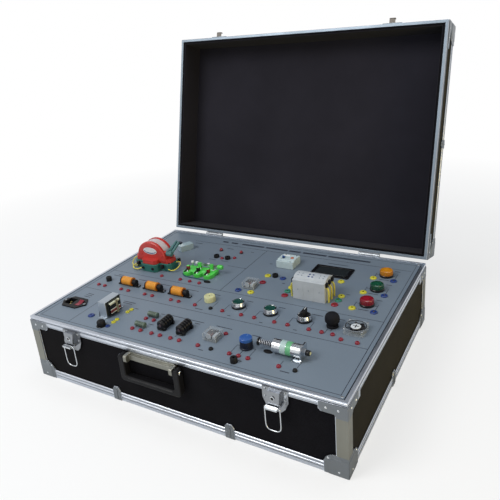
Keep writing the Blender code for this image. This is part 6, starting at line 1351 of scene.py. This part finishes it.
@dataclass
class Windings(Assembly):
    """Three coils, two chokes, two relays and the small transformer."""

    COILS: ClassVar[dict[str, float]] = {"coil_left": -236.9, "coil_middle": -166.5, "coil_right": -96.8}
    CHOKES: ClassVar[dict[str, float]] = {"choke_left": -46.0, "choke_right": -1.7}
    RELAYS: ClassVar[dict[str, Spot]] = {"relay_front": (62.6, -180.3), "relay_back": (29.1, 24.5)}

    def coil(self, name: str, x: float) -> None:
        """One orange coil between black cheeks, on its foot."""
        y = -65.6
        axis = (x, y, SEAT_Z + 9.8)
        winding = Bench.turned([(8.8, -14.6), (9.4, -14.2), (9.6, -8), (9.4, 0), (9.6, 8), (9.4, 11.2),
            (8.8, 11.6)], axis, Axis.X, 36)
        self.fit(winding, f"{name}_winding", Wound("orange_winding", "orange"), stands_for=[name])
        cheeks = [Bench.turned([(9.4, start), (9.9, start + 0.2), (9.9, start + 0.9), (9.4, start + 1.1),
            (4, start + 1.1)], axis, Axis.X, 36) for start in (-15.5, 11.4)]
        self.group(cheeks, f"{name}_cheeks", AMBER)
        ends = [Bench.turned([(5.6, start), (6.4, start + 0.5), (6.4, start + long - 1), (5.6, start + long),
            (0.2, start + long)], axis, Axis.X, 24) for start, long in ((-21.5, 6.2), (12.4, 10.5))]
        foot = Bench.block((x - 29, y - 5, SEAT_Z), (x + 29.6, y + 5, SEAT_Z + 2.6), 0.6)
        lugs = [Bench.block((x + low, y - 3.6, SEAT_Z + 2.2), (x + low + 6.5, y + 3.6, SEAT_Z + 8), 0.8)
            for low in (-25, 18.4)]
        self.group(ends + lugs + [foot], f"{name}_lugs", BLACK)
        screws = [Bench.turned([(1.9, 2.4), (1.9, 3.2), (1.2, 3.6), (0, 3.7)], (x + east, y, SEAT_Z),
            sides=16) for east in (-27.4, 27.8)]
        self.group(screws, f"{name}_screws", STEEL)

    def choke(self, name: str, x: float) -> None:
        """One black choke, ribbed along its length."""
        y = -180.3
        rings: list[Spot] = [(6.6, -16.4), (7.0, -16)]
        for fin in range(5):
            start = -15.8 + fin * 6.5
            rings += [(7.4, start), (8.8, start + 0.5), (9.4, start + 1.4), (9.4, start + 3.6),
                (8.8, start + 4.5), (7.4, start + 5.0)]
        rings += [(7.0, 16.2), (6.6, 16.6)]
        body = Bench.turned(rings, (x, y, SEAT_Z + 10.2), Axis.Y, 36)
        foot = Bench.block((x - 7, y - 17.5, SEAT_Z), (x + 7, y + 17.5, SEAT_Z + 2.4), 0.5)
        feet = [Bench.block((x + east * 7.5 - 2.2, y + north * 13 - 3, SEAT_Z),
            (x + east * 7.5 + 2.2, y + north * 13 + 3, SEAT_Z + 6.5), 0.6) for east in WAYS
            for north in WAYS]
        web = Bench.block((x - 5, y - 15, SEAT_Z + 2), (x + 5, y + 15, SEAT_Z + 6), 0.5)
        self.group([body, foot, web] + feet, f"{name}_body", GLOSS_BLACK, stands_for=[name])
        ends = [Bench.turned([(3.2, low), (3.2, low + 0.8), (2.4, low + 1.2), (0, low + 1.2)],
            (x, y, SEAT_Z + 10.2), Axis.Y, 22) for low in (-17.6, 16.4)]
        self.group(ends, f"{name}_core", NICKEL)

    def relay(self, name: str, spot: Spot) -> None:
        """One relay: clear cover over coil, armature and contact springs."""
        x, y = spot
        self.eased(name, CLEAR, 1.0)
        base = Bench.block((x - 12.6, y - 12.6, SEAT_Z + 0.4), (x + 12.6, y + 12.6, SEAT_Z + 2.4), 0.5)
        self.fit(base, f"{name}_base", Moulded("relay_base", "white", (112, 118, 124), 0.5))
        coil = Bench.turned([(4.4, -9), (4.8, -8.6), (4.8, 1.6), (4.4, 2)], (x - 3.6, y, SEAT_Z + 8), Axis.Y,
            28)
        self.fit(coil, f"{name}_coil", Wound("copper_winding", "orange", (168, 112, 118), Axis.Y, 0.0008))
        cheeks = [Bench.turned([(5.6, low), (5.6, low + 1)], (x - 3.6, y, SEAT_Z + 8), Axis.Y, 24)
            for low in (-10.4, 2)]
        pillar = Bench.block((x + 3.6, y - 9.5, SEAT_Z + 3.2), (x + 10, y + 9, SEAT_Z + 9.6), 0.6)
        self.group(cheeks + [pillar], f"{name}_frame", PALE_GREY)
        # Paler, less clear bars at the cover's upright corners: painted highlight on its edges.
        edges = [Bench.block((x + east * 13.4 - 0.4, y + north * 13.4 - 0.4, SEAT_Z + 1),
            (x + east * 13.4 + 0.4, y + north * 13.4 + 0.4, SEAT_Z + 14.2), 0.1) for east in WAYS
            for north in WAYS]
        self.group(edges, f"{name}_edges", Clear("cover_edge", "clear", (220, 226, 230), 0.6))
        springs = [Bench.block((x - 8 + step * 4.6, y + 4.6, SEAT_Z + 3.2),
            (x - 7 + step * 4.6, y + 9.8, SEAT_Z + 12.6), 0.1) for step in range(4)]
        yoke = Bench.block((x - 8.4, y - 8, SEAT_Z + 12.4), (x + 2, y + 5, SEAT_Z + 13.2), 0.2)
        self.group(springs + [yoke], f"{name}_springs", Metal("relay_spring", "steel", (96, 84, 84), 0.3))

    def transformer(self) -> None:
        """The small transformer: bent sheet, stacked core, wound bobbin."""
        self.eased("transformer_frame", Metal("bent_sheet", "aluminium", (182, 191, 200), 0.42), 0.3)
        self.eased("transformer_core", Wound("stacked_iron", "black", (74, 78, 78), Axis.X, 0.0009, 0.45),
            0.4)
        x = -176.6
        bands = (("bobbin", -0.6, 4.4, 4.6, 29.6, GLOSS_BLACK),
            ("tape", -0.4, 4.7, 26.2, 29.8, Moulded("cream_tape", "cream", (206, 208, 186), 0.5)),
            ("winding", -0.4, 5.0, 9.4, 15.6, Wound("dark_red_winding", "red", (120, 36, 40), Axis.Z,
            0.001)), ("paper", -0.4, 4.8, 15.2, 17.4, WHITE), ("band", -0.4, 4.8, 7.6, 9.8, WHITE))
        for name, low, high, under, over, finish in bands:
            piece = Bench.block((x + low, -194, SEAT_Z + under), (x + high, -166, SEAT_Z + over), 0.7)
            self.fit(piece, f"transformer_{name}", finish)
        leg = Bench.block((x, -178.4, SEAT_Z + 3), (x + 5.3, -172.4, SEAT_Z + 30.2), 0.3)
        self.fit(leg, "transformer_leg", Wound("middle_leg", "cream", (150, 146, 124), Axis.X, 0.0009, 0.5))
        wires = [Bench.tube([(-196.6, y, SEAT_Z + 20), (-199.5, y - 1, SEAT_Z + 18),
            (-201, y - 2, SEAT_Z + 10), (-201.5, y - 3, SEAT_Z + 3), (-201.5, y - 3.4, PANEL_Z - 0.3)], 0.8)
            for y in (-196, -189)]
        self.group(wires, "transformer_wires", GLOSS_BLACK)
        screws = [Bench.turned([(2.6, 0.8), (2.6, 1.6), (1.4, 2.2), (0, 2.3)], (-187.5, y, SEAT_Z), sides=18)
            for y in (-205.4, -154.6)]
        self.group(screws, "transformer_screws", STEEL)

    def build(self) -> None:
        """Makes the wound parts."""
        for name, x in self.COILS.items():
            self.coil(name, x)
        for name, x in self.CHOKES.items():
            self.choke(name, x)
        for name, spot in self.RELAYS.items():
            self.relay(name, spot)
        self.transformer()
        self.dress(BOARD, "power_supply")


@dataclass
class Solenoid(Assembly):
    """The pull solenoid with its plunger and return spring."""

    y: float = -177.033
    axis_z: float = 156.4
    start: float = 186.8
    turns: int = 8

    def build(self) -> None:
        """Makes the can's bands, the plunger and the spring."""
        self.eased("solenoid_body", CHROME, 0.4)
        for name, low, high, finish in (("pale", 201.4, 211.6, PALE_BAND),
                ("green", 212.0, 221.6, GREEN_BAND)):
            band = Bench.turned([(12.0, low), (12.25, low + 0.2), (12.25, high - 0.2), (12.0, high)],
                (0, self.y, self.axis_z), Axis.X, 48)
            hollow = Bench.turned([(11.7, low - 1), (11.7, high + 1)], (0, self.y, self.axis_z), Axis.X, 48)
            self.fit(Bench.carve(band, hollow), f"solenoid_band_{name}", finish)
        self.eased("solenoid_plunger", GLOSS_BLACK, 0.3, "plunger")
        eye = Bench.turned([(3.6, 156.0), (3.6, 155.2), (2.8, 154.9), (0, 154.9)], (0, self.y, self.axis_z),
            Axis.X, 24)
        tail = Bench.turned([(2.9, 252.6), (2.9, 253.7), (2.2, 254.2), (0, 254.3)], (0, self.y, self.axis_z),
            Axis.X, 20)
        self.group([eye, tail], "plunger_centre", CREAM, "plunger")
        knob = Bench.turned([(3.0, 246.8), (4.7, 247.2), (4.9, 248), (4.9, 252), (4.4, 253), (3.2, 253.2)],
            (0, self.y, self.axis_z), Axis.X, 30)
        self.fit(knob, "plunger_knob", GLOSS_BLACK, "plunger")
        low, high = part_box("solenoid_spring")
        first, last = low.x / MM + 0.7, high.x / MM - 0.7
        steps = self.turns * 14
        line = []
        for step in range(steps + 1):
            share = step / steps
            angle = share * self.turns * TURN
            line.append((first + (last - first) * share, self.y + 5.4 * math.cos(angle), self.axis_z
                + 5.4 * math.sin(angle)))
        spring = self.fit(Bench.tube(line, 0.6, 2), "return_spring", EDGE_LINE,
            stands_for=["solenoid_spring"])
        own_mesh(spring)


@dataclass
class Switchgear(Assembly):
    """Inlet, display, residual-current breaker and contactor."""

    contactor_x: float = 170.2
    contactor_y: float = 32.8

    def inlet(self) -> None:
        """The mains inlet: hexagonal flange, three pins, screws and the red rocker."""
        self.eased("inlet_body", BLACK, 0.6)
        pins = [Bench.block((-305.9 + across - 1, -177 + up - 2.4, 130),
            (-305.9 + across + 1, -177 + up + 2.4, 141.5), 0.3) for across,
            up in ((-5, 3.4), (5, 3.4), (0, -4.2))]
        self.group(pins, "inlet_pins", BRASS)
        screws = [Bench.turned([(2.8, 2.3), (2.8, 2.9), (1.8, 3.4), (0, 3.5)], (-295.4 + east, -177, SEAT_Z),
            sides=18) for east in (-27.5, 27.5)]
        self.group(screws, "inlet_screws", STEEL)
        self.eased("inlet_rocker", RED, 0.6, "rocker", 3)

    def display(self) -> None:
        """The dark display behind its black frame."""
        self.eased("display", GLOSS_BLACK, 0.6)
        glass = Bench.plate(rounded(72, 33, 1.5, (167.2, 149)), SEAT_Z + 1.2, SEAT_Z + 1.65, bevel=0.15)
        self.fit(glass, "display_glass", Moulded("display_glass", "black", (34, 40, 43), 0.16, 0.02, 0.5))

    def breaker(self) -> None:
        """The pale breaker with its blue toggle and orange test button."""
        x, y = 59.6, 151.2
        self.eased("breaker_body", GREY_WHITE, 0.8, segments=3)
        self.eased("breaker_toggle", CAP_BLUE, 0.6, "toggle", 3)
        self.eased("test_button", Moulded("test_orange", "orange", (190, 108, 76), 0.4), 0.5, "test", 3)
        low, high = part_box("breaker_body")
        west, south, east, north = (value / MM for value in (low.x, low.y, high.x, high.y))
        steps = [Bench.block((west + 0.2, start, SEAT_Z + 1), (east - 0.2, stop, SEAT_Z + 17), 0.8)
            for start, stop in ((south + 0.2, y - 15.5), (y + 15.5, north - 0.2))]
        self.group(steps, "breaker_shoulders", GREY_WHITE)
        holes = [Bench.turned([(1.7, 16.8), (1.7, 17.15), (0, 17.15)], (x + across, y + along, SEAT_Z),
            sides=16) for across, along in ((13.5, -18.2), (13.5, 18.2), (-13.5, 18.2))]
        self.group(holes, "breaker_screws", BLACK)
        label = Bench.plate(rounded(15, 6, 1, (x - 7.8, y + 10)), SEAT_Z + 18.4, SEAT_Z + 18.65)
        self.fit(label, "breaker_label", Moulded("bare_label", "white", (236, 238, 240), 0.5))

    def contactor(self) -> None:
        """Three arched modules with blue marks, black terminals and yellow leads."""
        x, y, wide, half, tall = self.contactor_x, self.contactor_y, 69.0, 22.5, 42.5
        steps = 12
        crest = 16.0
        arch = [(y + crest * math.cos(step / steps * math.pi), SEAT_Z + tall
            + 6.3 * math.sin(step / steps * math.pi)) for step in range(steps + 1)]
        outline = [(y - half, SEAT_Z - 0.3), (y + half, SEAT_Z - 0.3), (y + half, SEAT_Z + tall - 1),
            (y + half - 2, SEAT_Z + tall), *arch, (y - half + 2, SEAT_Z + tall),
            (y - half, SEAT_Z + tall - 1)]
        pitch = wide / 3
        modules = [Bench.plate(outline, x - wide / 2 + index * pitch + 0.03, x - wide / 2
            + (index + 1) * pitch - 0.03, Axis.X, 0.2) for index in range(3)]
        self.group(modules, "contactor_modules", PALE_GREY, stands_for=["contactor"])
        marks, dots = [], []
        for index in range(3):
            middle = x - wide / 2 + (index + 0.5) * pitch
            for across in (-4, 4):
                for back in (-9, -2):
                    rise = SEAT_Z + tall + 6.3 * math.sqrt(1 - (back / crest) ** 2)
                    size = 2.1 if index == 1 else 1.2
                    mark = Bench.plate(oval(2 * size, 2 * size, (middle + across, y + back), 16), rise - 1.2,
                        rise + 0.3)
                    (marks if index == 1 else dots).append(mark)
            dots.append(Bench.plate(oval(2.4, 1.6, (middle, SEAT_Z + 22), 12), y - half - 0.2, y - half
                + 0.3, Axis.Y))
        self.group(marks, "contactor_marks", BLUE)
        self.group(dots, "contactor_dots", Moulded("grey_marks", "white", (92, 110, 128), 0.5))
        route = [(-1, 31), (2, 31.5), (5.2, 29), (6.2, 20), (6.2, 10), (5.6, 3), (5.4, -0.8)]
        leads, terminals = [], []
        for row in range(3):
            lead_y = y - half + 45 * (row + 0.5) / 3
            for side in WAYS:
                face = x + side * wide / 2
                leads.append(Bench.tube([(face + side * out, lead_y, SEAT_Z + up) for out, up in route],
                    1.9))
                terminals.append(Bench.block((face - 4.2, lead_y - 3, SEAT_Z + 33),
                    (face + 4.2, lead_y + 5, SEAT_Z + 41.4), 0.5))
        self.group(leads, "contactor_leads", WIRE_YELLOW)
        self.group(terminals, "contactor_terminals", BLACK)

    def build(self) -> None:
        """Makes the boxed parts."""
        self.inlet()
        self.display()
        self.breaker()
        self.contactor()


@dataclass
class Generator(Assembly):
    """The red generator on its teal foot, with its arm, label and loops."""

    x: float = -239.9
    y: float = 41.6
    drum: float = 39.5
    axis_z: float = 170.3

    def build(self) -> None:
        """Makes the labels, plugs, arm and wires."""
        self.eased("generator_housing", HOUSING_RED, 1.0, segments=3)
        self.eased("generator_foot", TEAL, 0.9, segments=3)
        slots = [Bench.block((self.x + east - 3.4, self.y + north - 3.4, SEAT_Z + 9),
            (self.x + east + 3.4, self.y + north + 3.4, SEAT_Z + 18.2), 1.0) for east,
            north in ((-36, -25.5), (36, -25.5), (50, -7), (-50, -7), (50, 22), (-50, 22))]
        self.group(slots, "generator_slots", GLOSS_BLACK)
        self.eased("generator_arm", ARM_TEAL, 0.8, "generator_lever", 3)
        strip = Bench.turned([(self.drum, -9.4), (self.drum + 0.35, -9.2), (self.drum + 0.35, 9.2),
            (self.drum, 9.4)], (self.x, self.y, self.axis_z), Axis.Y, 72)
        below = Bench.block((self.x - 60, self.y - 30, 100), (self.x + 60, self.y + 30, self.axis_z + 12),
            0.1)
        self.fit(Bench.carve(strip, below), "generator_strip",
            Moulded("pale_strip", "white", (196, 186, 190), 0.5))
        front = self.y - 18 - 1.0
        label = Bench.plate(oval(40, 17, (self.x, self.axis_z + 19.75)), front - 0.6, front, Axis.Y, 0.15)
        self.fit(label, "generator_label", WHITE)
        edge = Bench.plate([(self.x + 17.5 * math.cos(angle), self.axis_z + 19.75 + 6.8 * math.sin(angle))
            for angle in [math.pi + step / 12 * math.pi for step in range(13)]]
            + [(self.x + 15 * math.cos(angle), self.axis_z + 18.6 + 3.4 * math.sin(angle))
            for angle in [TURN - step / 12 * math.pi for step in range(13)]], front - 0.75, front - 0.5,
            Axis.Y)
        self.fit(edge, "generator_label_edge", BLUE)
        pin = Bench.turned([(2.8, -0.3), (2.8, 8.2), (2.3, 9.2), (0, 9.4)], (-188.4, 70.4, 199.2), Axis.X,
            24)
        self.fit(pin, "arm_pin", NAVY, "generator_lever")
        slope = math.atan2(19.5, 40.5)
        bars = [Bench.turned([(2.4, 0), (3.2, 1), (3.2, 39), (2.4, 41)], (x, 31.5, 183.2), Axis.Y, 18)
            for x in (-186.2, -194.6)]
        for bar in bars:
            bar.data.transform(swung(slope, Axis.X, (0, 31.5, 183.2)))
        collar = Bench.turned([(5.4, -197.6), (6.2, -197), (6.2, -184.2), (5.4, -183.4)], (0, 33.6, 184.6),
            Axis.X, 28)
        self.group(bars + [collar], "arm_fork", ARM_TEAL, "generator_lever")
        plugs = [Bench.turned([(3.6, 1), (3.6, -1.6), (3.0, -2.4), (1.4, -2.4), (1.2, -1)],
            (self.x + east, 6.7, SEAT_Z + 9), Axis.Y, 22) for east in (-14, 14)]
        plugs += [Bench.turned([(3.2, -1), (3.2, 2.2), (2.6, 3)], (x, y, SEAT_Z + 17.6), Axis.Z, 22) for x,
            y in ((-286, 30), (-194, 30), (-286, 54), (-194, 54))]
        self.group(plugs, "generator_plugs", BLACK)
        brace = [Bench.plate([(self.x - 30 + step * 20, self.axis_z + 8),
            (self.x - 26 + step * 20, self.axis_z + 8), (self.x - 26 + step * 20, self.axis_z + 11),
            (self.x - 30 + step * 20, self.axis_z + 11)], front - 0.6, front + 2, Axis.Y, 0.3)
            for step in (0, 3)]
        self.group(brace, "generator_lugs", HOUSING_RED)
        self.loops()

    def loops(self) -> None:
        """Bends the yellow wires that loop round the foot."""
        routes = {"right": [(-186, 48, 158), (-181, 49, 159), (-176, 50, 160), (-172, 46, 158),
            (-170, 42, 156), (-171, 36, 153), (-173, 30, 150), (-177, 25, 148), (-182, 22, 147),
            (-188, 22, 148), (-194, 24, 149)], "left": [(-294, 45, 158), (-299, 46, 158.5), (-304, 44, 158),
            (-308, 38, 154.5), (-306, 30, 151), (-302, 23, 148.4), (-296, 18, 147), (-290, 16.5, 146.5),
            (-284, 19, 147.5), (-278, 24, 149)], "front": [(-284, 23, 152), (-289, 19, 151), (-291, 13, 149),
            (-288, 8, 147), (-282, 5, 146), (-275, 3.4, 146), (-269, 4.4, 146.4), (-265, 8, 147.5),
            (-262, 12, 149)]}
        for name, route in routes.items():
            radius = 1.3
            wire = self.fit(Bench.tube(route, radius, 3), f"generator_wire_{name}", WIRE_YELLOW)
            line = [tuple(Vector(point) * MM) for point in self.sampled(route)]

    @staticmethod
    def sampled(route: Sequence[Point], count: int = 40) -> list[Point]:
        """Points along the same smooth line that a wire is swept on."""
        order = 4
        knots = [0.0] * order + [float(step) for step in range(1, len(route) - order + 1)]
        knots += [float(len(route) - order + 1)] * order

        def basis(index: int, degree: int, where: float) -> float:
            """The weight of one control point."""
            if degree == 0:
                return 1.0 if knots[index] <= where < knots[index + 1] else 0.0
            total = 0.0
            for offset, sign in ((index, 1), (index + 1, -1)):
                span = knots[offset + degree] - knots[offset]
                if span:
                    edge = knots[offset] if sign == 1 else knots[offset + degree]
                    total += sign * (where - edge) / span * basis(offset, degree - 1, where)
            return total

        end = knots[-1] - 1e-9
        points = []
        for step in range(count + 1):
            weights = [basis(index, order - 1, end * step / count) for index in range(len(route))]
            points.append(tuple(sum(weight * knot[axis] for weight, knot in zip(weights, route))
                for axis in range(3)))
        return points


@dataclass
class KnifeSwitch(Assembly):
    """The green knife switch with its posts, clips and lead."""

    x: float = -112.0
    y: float = 44.6
    pitch: float = 27.5

    def build(self) -> None:
        """Makes the posts, clips, screws, blade and lead."""
        self.eased("knife_base", LIME, 0.7, segments=3)
        self.eased("knife_blade", EDGE_LINE, 0.25, "blade")
        knob = Bench.turned([(3.3, -0.4), (5.2, 2.4), (5.25, 11.6), (4.6, 13.2), (0, 13.4)],
            (-71.8, 52.82, 161), Axis.X, 32)
        self.fit(knob, "knife_knob", LIME, "blade")
        for index, (lobe, finish) in enumerate(((-1, MAROON), (0, GLOSS_BLACK), (1, MAROON))):
            lobe_x = self.x + lobe * self.pitch
            post = Bench.turned([(4.4, 8.2), (4.6, 15), (4.0, 17.2), (2.2, 17.8), (0, 17.9)],
                (lobe_x - 3.83, self.y - 7.5, SEAT_Z), sides=26)
            self.fit(post, f"knife_post_{index}", finish)
        screws = [Bench.turned([(3.2, 7.8), (3.2, 8.8), (2.4, 9.6), (0.8, 9.8), (0.6, 9.3)],
            (self.x + lobe * self.pitch, self.y - 17.2, SEAT_Z), sides=20) for lobe in (-1, 0, 1)]
        self.group(screws, "knife_screws", CHROME)
        clips = [Bench.block((clip_x - 4.4, middle - 1, SEAT_Z + 7.8),
            (clip_x + 4.4, middle + 1, SEAT_Z + 9.6), 0.2) for clip_x in (-120.59, -84.7)
            for middle in (50.22, 55.42)]
        self.group(clips, "knife_clip_feet", WHITE)
        spots = [(-143.5, 56.2), (-131, 56.2), (-99, 56.4)]
        stems = [Bench.turned([(1.7, 7.8), (1.7, 17)], (*spot, SEAT_Z), sides=16) for spot in spots]
        self.group(stems, "knife_stems", CHROME)
        horns = [Bench.turned([(3.2, 16.2), (3.9, 16.8), (3.9, 19.6), (3.2, 20.8), (0, 21.2)],
            (*spot, SEAT_Z), sides=20) for spot in spots]
        self.group(horns, "knife_horns", WHITE)
        route = [(-3.8, -8, 13), (-3.8, -12, 12.4), (-4.2, -18, 10.4), (-5, -24, 8.6)]
        straps = [Bench.tube([(self.x + lobe * self.pitch + east, self.y + north, SEAT_Z + up) for east,
            north, up in route], 1.7) for lobe in (-1, 0, 1)]
        self.group(straps, "knife_straps", GLOSS_BLACK)
        lead = Bench.tube([(-150.6, 24, SEAT_Z + 3), (-148, 18, SEAT_Z + 1.6), (-136, 14.6, SEAT_Z + 1.3),
            (-118, 14, SEAT_Z + 1.3), (-98, 13.6, SEAT_Z + 1.3), (-84, 12.6, SEAT_Z + 1.8),
            (-78, 10.6, SEAT_Z + 2.6), (-75, 9.4, PANEL_Z + 2)], 1.2)
        self.fit(lead, "knife_lead", Moulded("teal_lead", "teal", (28, 84, 88), 0.4))


@dataclass
class Studio:
    """The floor, the backdrop, the lamps and the camera."""

    azimuth: float = -31.84
    elevation: float = 20.68
    roll: float = -5.33
    place: Point = (0.572, -0.878, 0.679)

    def camera(self) -> None:
        """Stands the camera where the photograph was taken."""
        a, e, r = (math.radians(angle) for angle in (self.azimuth, self.elevation, self.roll))
        ahead = Vector((math.sin(a) * math.cos(e), math.cos(a) * math.cos(e), -math.sin(e)))
        right = Vector((math.cos(a), -math.sin(a), 0))
        up = right.cross(ahead)
        across = math.cos(r) * right + math.sin(r) * up
        upward = -math.sin(r) * right + math.cos(r) * up
        data = bpy.data.cameras.new("camera")
        data.sensor_width, data.lens = 36.0, 39.07
        data.shift_x, data.shift_y = 0.02302, -0.04526
        data.clip_start, data.clip_end = 0.01, 50
        holder = bpy.data.objects.new("camera", data)
        bpy.context.scene.collection.objects.link(holder)
        stand = Matrix((across, upward, -ahead)).transposed().to_4x4()
        stand.translation = Vector(self.place)
        holder.matrix_world = stand
        bpy.context.scene.camera = holder

    def lamp(self, name: str, spot: Point, aim: Point, size: float, power: float, colour: Point) -> None:
        """Hangs one soft lamp.

        Args:
            name: the lamp's name.
            spot: where it hangs, in metres.
            aim: the point it faces.
            size: the side of its square.
            power: its watts.
            colour: its linear colour.
        """
        data = bpy.data.lights.new(name, "AREA")
        data.shape, data.size, data.energy, data.color = "SQUARE", size, power, colour
        holder = bpy.data.objects.new(name, data)
        holder.location = spot
        holder.rotation_euler = (Vector(aim) - Vector(spot)).to_track_quat("-Z", "Y").to_euler()
        bpy.context.scene.collection.objects.link(holder)

    def world(self) -> None:
        """Whitens what camera and gloss see, darkens the gloss overhead, and dims what lights the object."""
        world = bpy.data.worlds.new("studio")
        world.use_nodes = True
        bpy.context.scene.world = world
        paint = Paint(world.node_tree)
        seen = paint.node("ShaderNodeLightPath", outlet="Is Camera Ray")
        glossy = paint.node("ShaderNodeLightPath", outlet="Is Glossy Ray")
        through = paint.node("ShaderNodeLightPath", outlet="Is Transmission Ray")
        share = (seen + glossy + through) > 0.5
        dim = paint.node("ShaderNodeBackground", inputs={"Color": (0.9, 0.95, 1.0, 1), "Strength": 0.42})
        white = paint.node("ShaderNodeBackground", inputs={"Color": (1, 1, 1, 1), "Strength": 1.0})
        blend = paint.node("ShaderNodeMixShader", inputs={0: share, 1: dim, 2: white})
        ceiling = paint.node("ShaderNodeBackground", inputs={"Color": (0.22, 0.23, 0.26, 1),
            "Strength": 1.0})
        above = paint.reach(Axis.Z).between(0.42, 0.72) * glossy * 0.85
        roofed = paint.node("ShaderNodeMixShader", inputs={0: above, 1: blend, 2: ceiling})
        paint.node("ShaderNodeOutputWorld", inputs={"Surface": roofed})

    def floor(self) -> None:
        """Lays the pale floor, which melts into the backdrop far out."""
        Bench.take()
        bpy.ops.mesh.primitive_grid_add(x_subdivisions=8, y_subdivisions=8, size=9, location=(0, 0, -0.0006))
        piece = bpy.context.object
        bpy.ops.object.transform_apply(location=True, rotation=True, scale=True)
        piece.name = "floor"
        fresh = bpy.data.materials.new("pale_floor")
        fresh.use_nodes = True
        paint = Paint(fresh.node_tree)
        east, north = paint.reach(Axis.X), paint.reach(Axis.Y)
        far = (east * east + north * north).between(0.5, 3.2)
        matt = paint.node("ShaderNodeBsdfDiffuse", inputs={"Color": (0.93, 0.94, 0.95, 1)})
        glow = paint.node("ShaderNodeEmission", inputs={"Color": (1, 1, 1, 1), "Strength": 1.0})
        seen = paint.node("ShaderNodeLightPath", outlet="Is Camera Ray")
        lit = paint.node("ShaderNodeMixShader", inputs={0: seen * (far * 0.35 + 0.65), 1: matt, 2: glow})
        paint.node("ShaderNodeOutputMaterial", inputs={"Surface": lit})
        piece.data.materials.append(fresh)

    def build(self) -> None:
        """Sets up the studio."""
        bpy.context.scene.view_settings.view_transform = "Standard"
        self.camera()
        self.world()
        self.floor()
        self.lamp("key", (-0.9, -1.5, 2.1), (0, 0, 0.1), 1.2, 34, (1.0, 0.99, 0.97))
        self.lamp("warm_side", (2.1, -0.5, 0.35), (0.3, 0, 0.1), 0.9, 13, (1.0, 0.74, 0.24))
        self.lamp("top", (0.1, 0.3, 2.4), (0, 0.05, 0.1), 1.0, 10, (0.95, 0.98, 1.0))


def corners(box: Iterable[Iterable[float]]) -> list[list[float]]:
    """A box as plain lists of numbers."""
    return [[float(value) for value in corner] for corner in box]


def main() -> None:
    """Loads the frame, dresses it assembly by assembly, and reports each piece."""
    logging.basicConfig(level=logging.INFO, format="%(name)s: %(message)s")
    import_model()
    Studio().build()
    Carcass().build()
    Latches().build()
    Panel().build()
    PushControl("push_left", "button_left", 48.053).build()
    PushControl("push_right", "button_right", 120.132).build()
    PushControl("case", "selector", 191.873, turning=True).build()
    for name, y, shade in (("lamp_orange", 171.0, (218, 142, 26)), ("lamp_green", 102.9, (22, 84, 60)),
            ("lamp_red", 35.6, (152, 24, 44))):
        Lamp("case", name, 281.9, y, shade).build()
    FrontRow().build()
    Windings().build()
    Solenoid().build()
    Switchgear().build()
    Generator().build()
    KnifeSwitch().build()


if __name__ == "__main__":
    main()
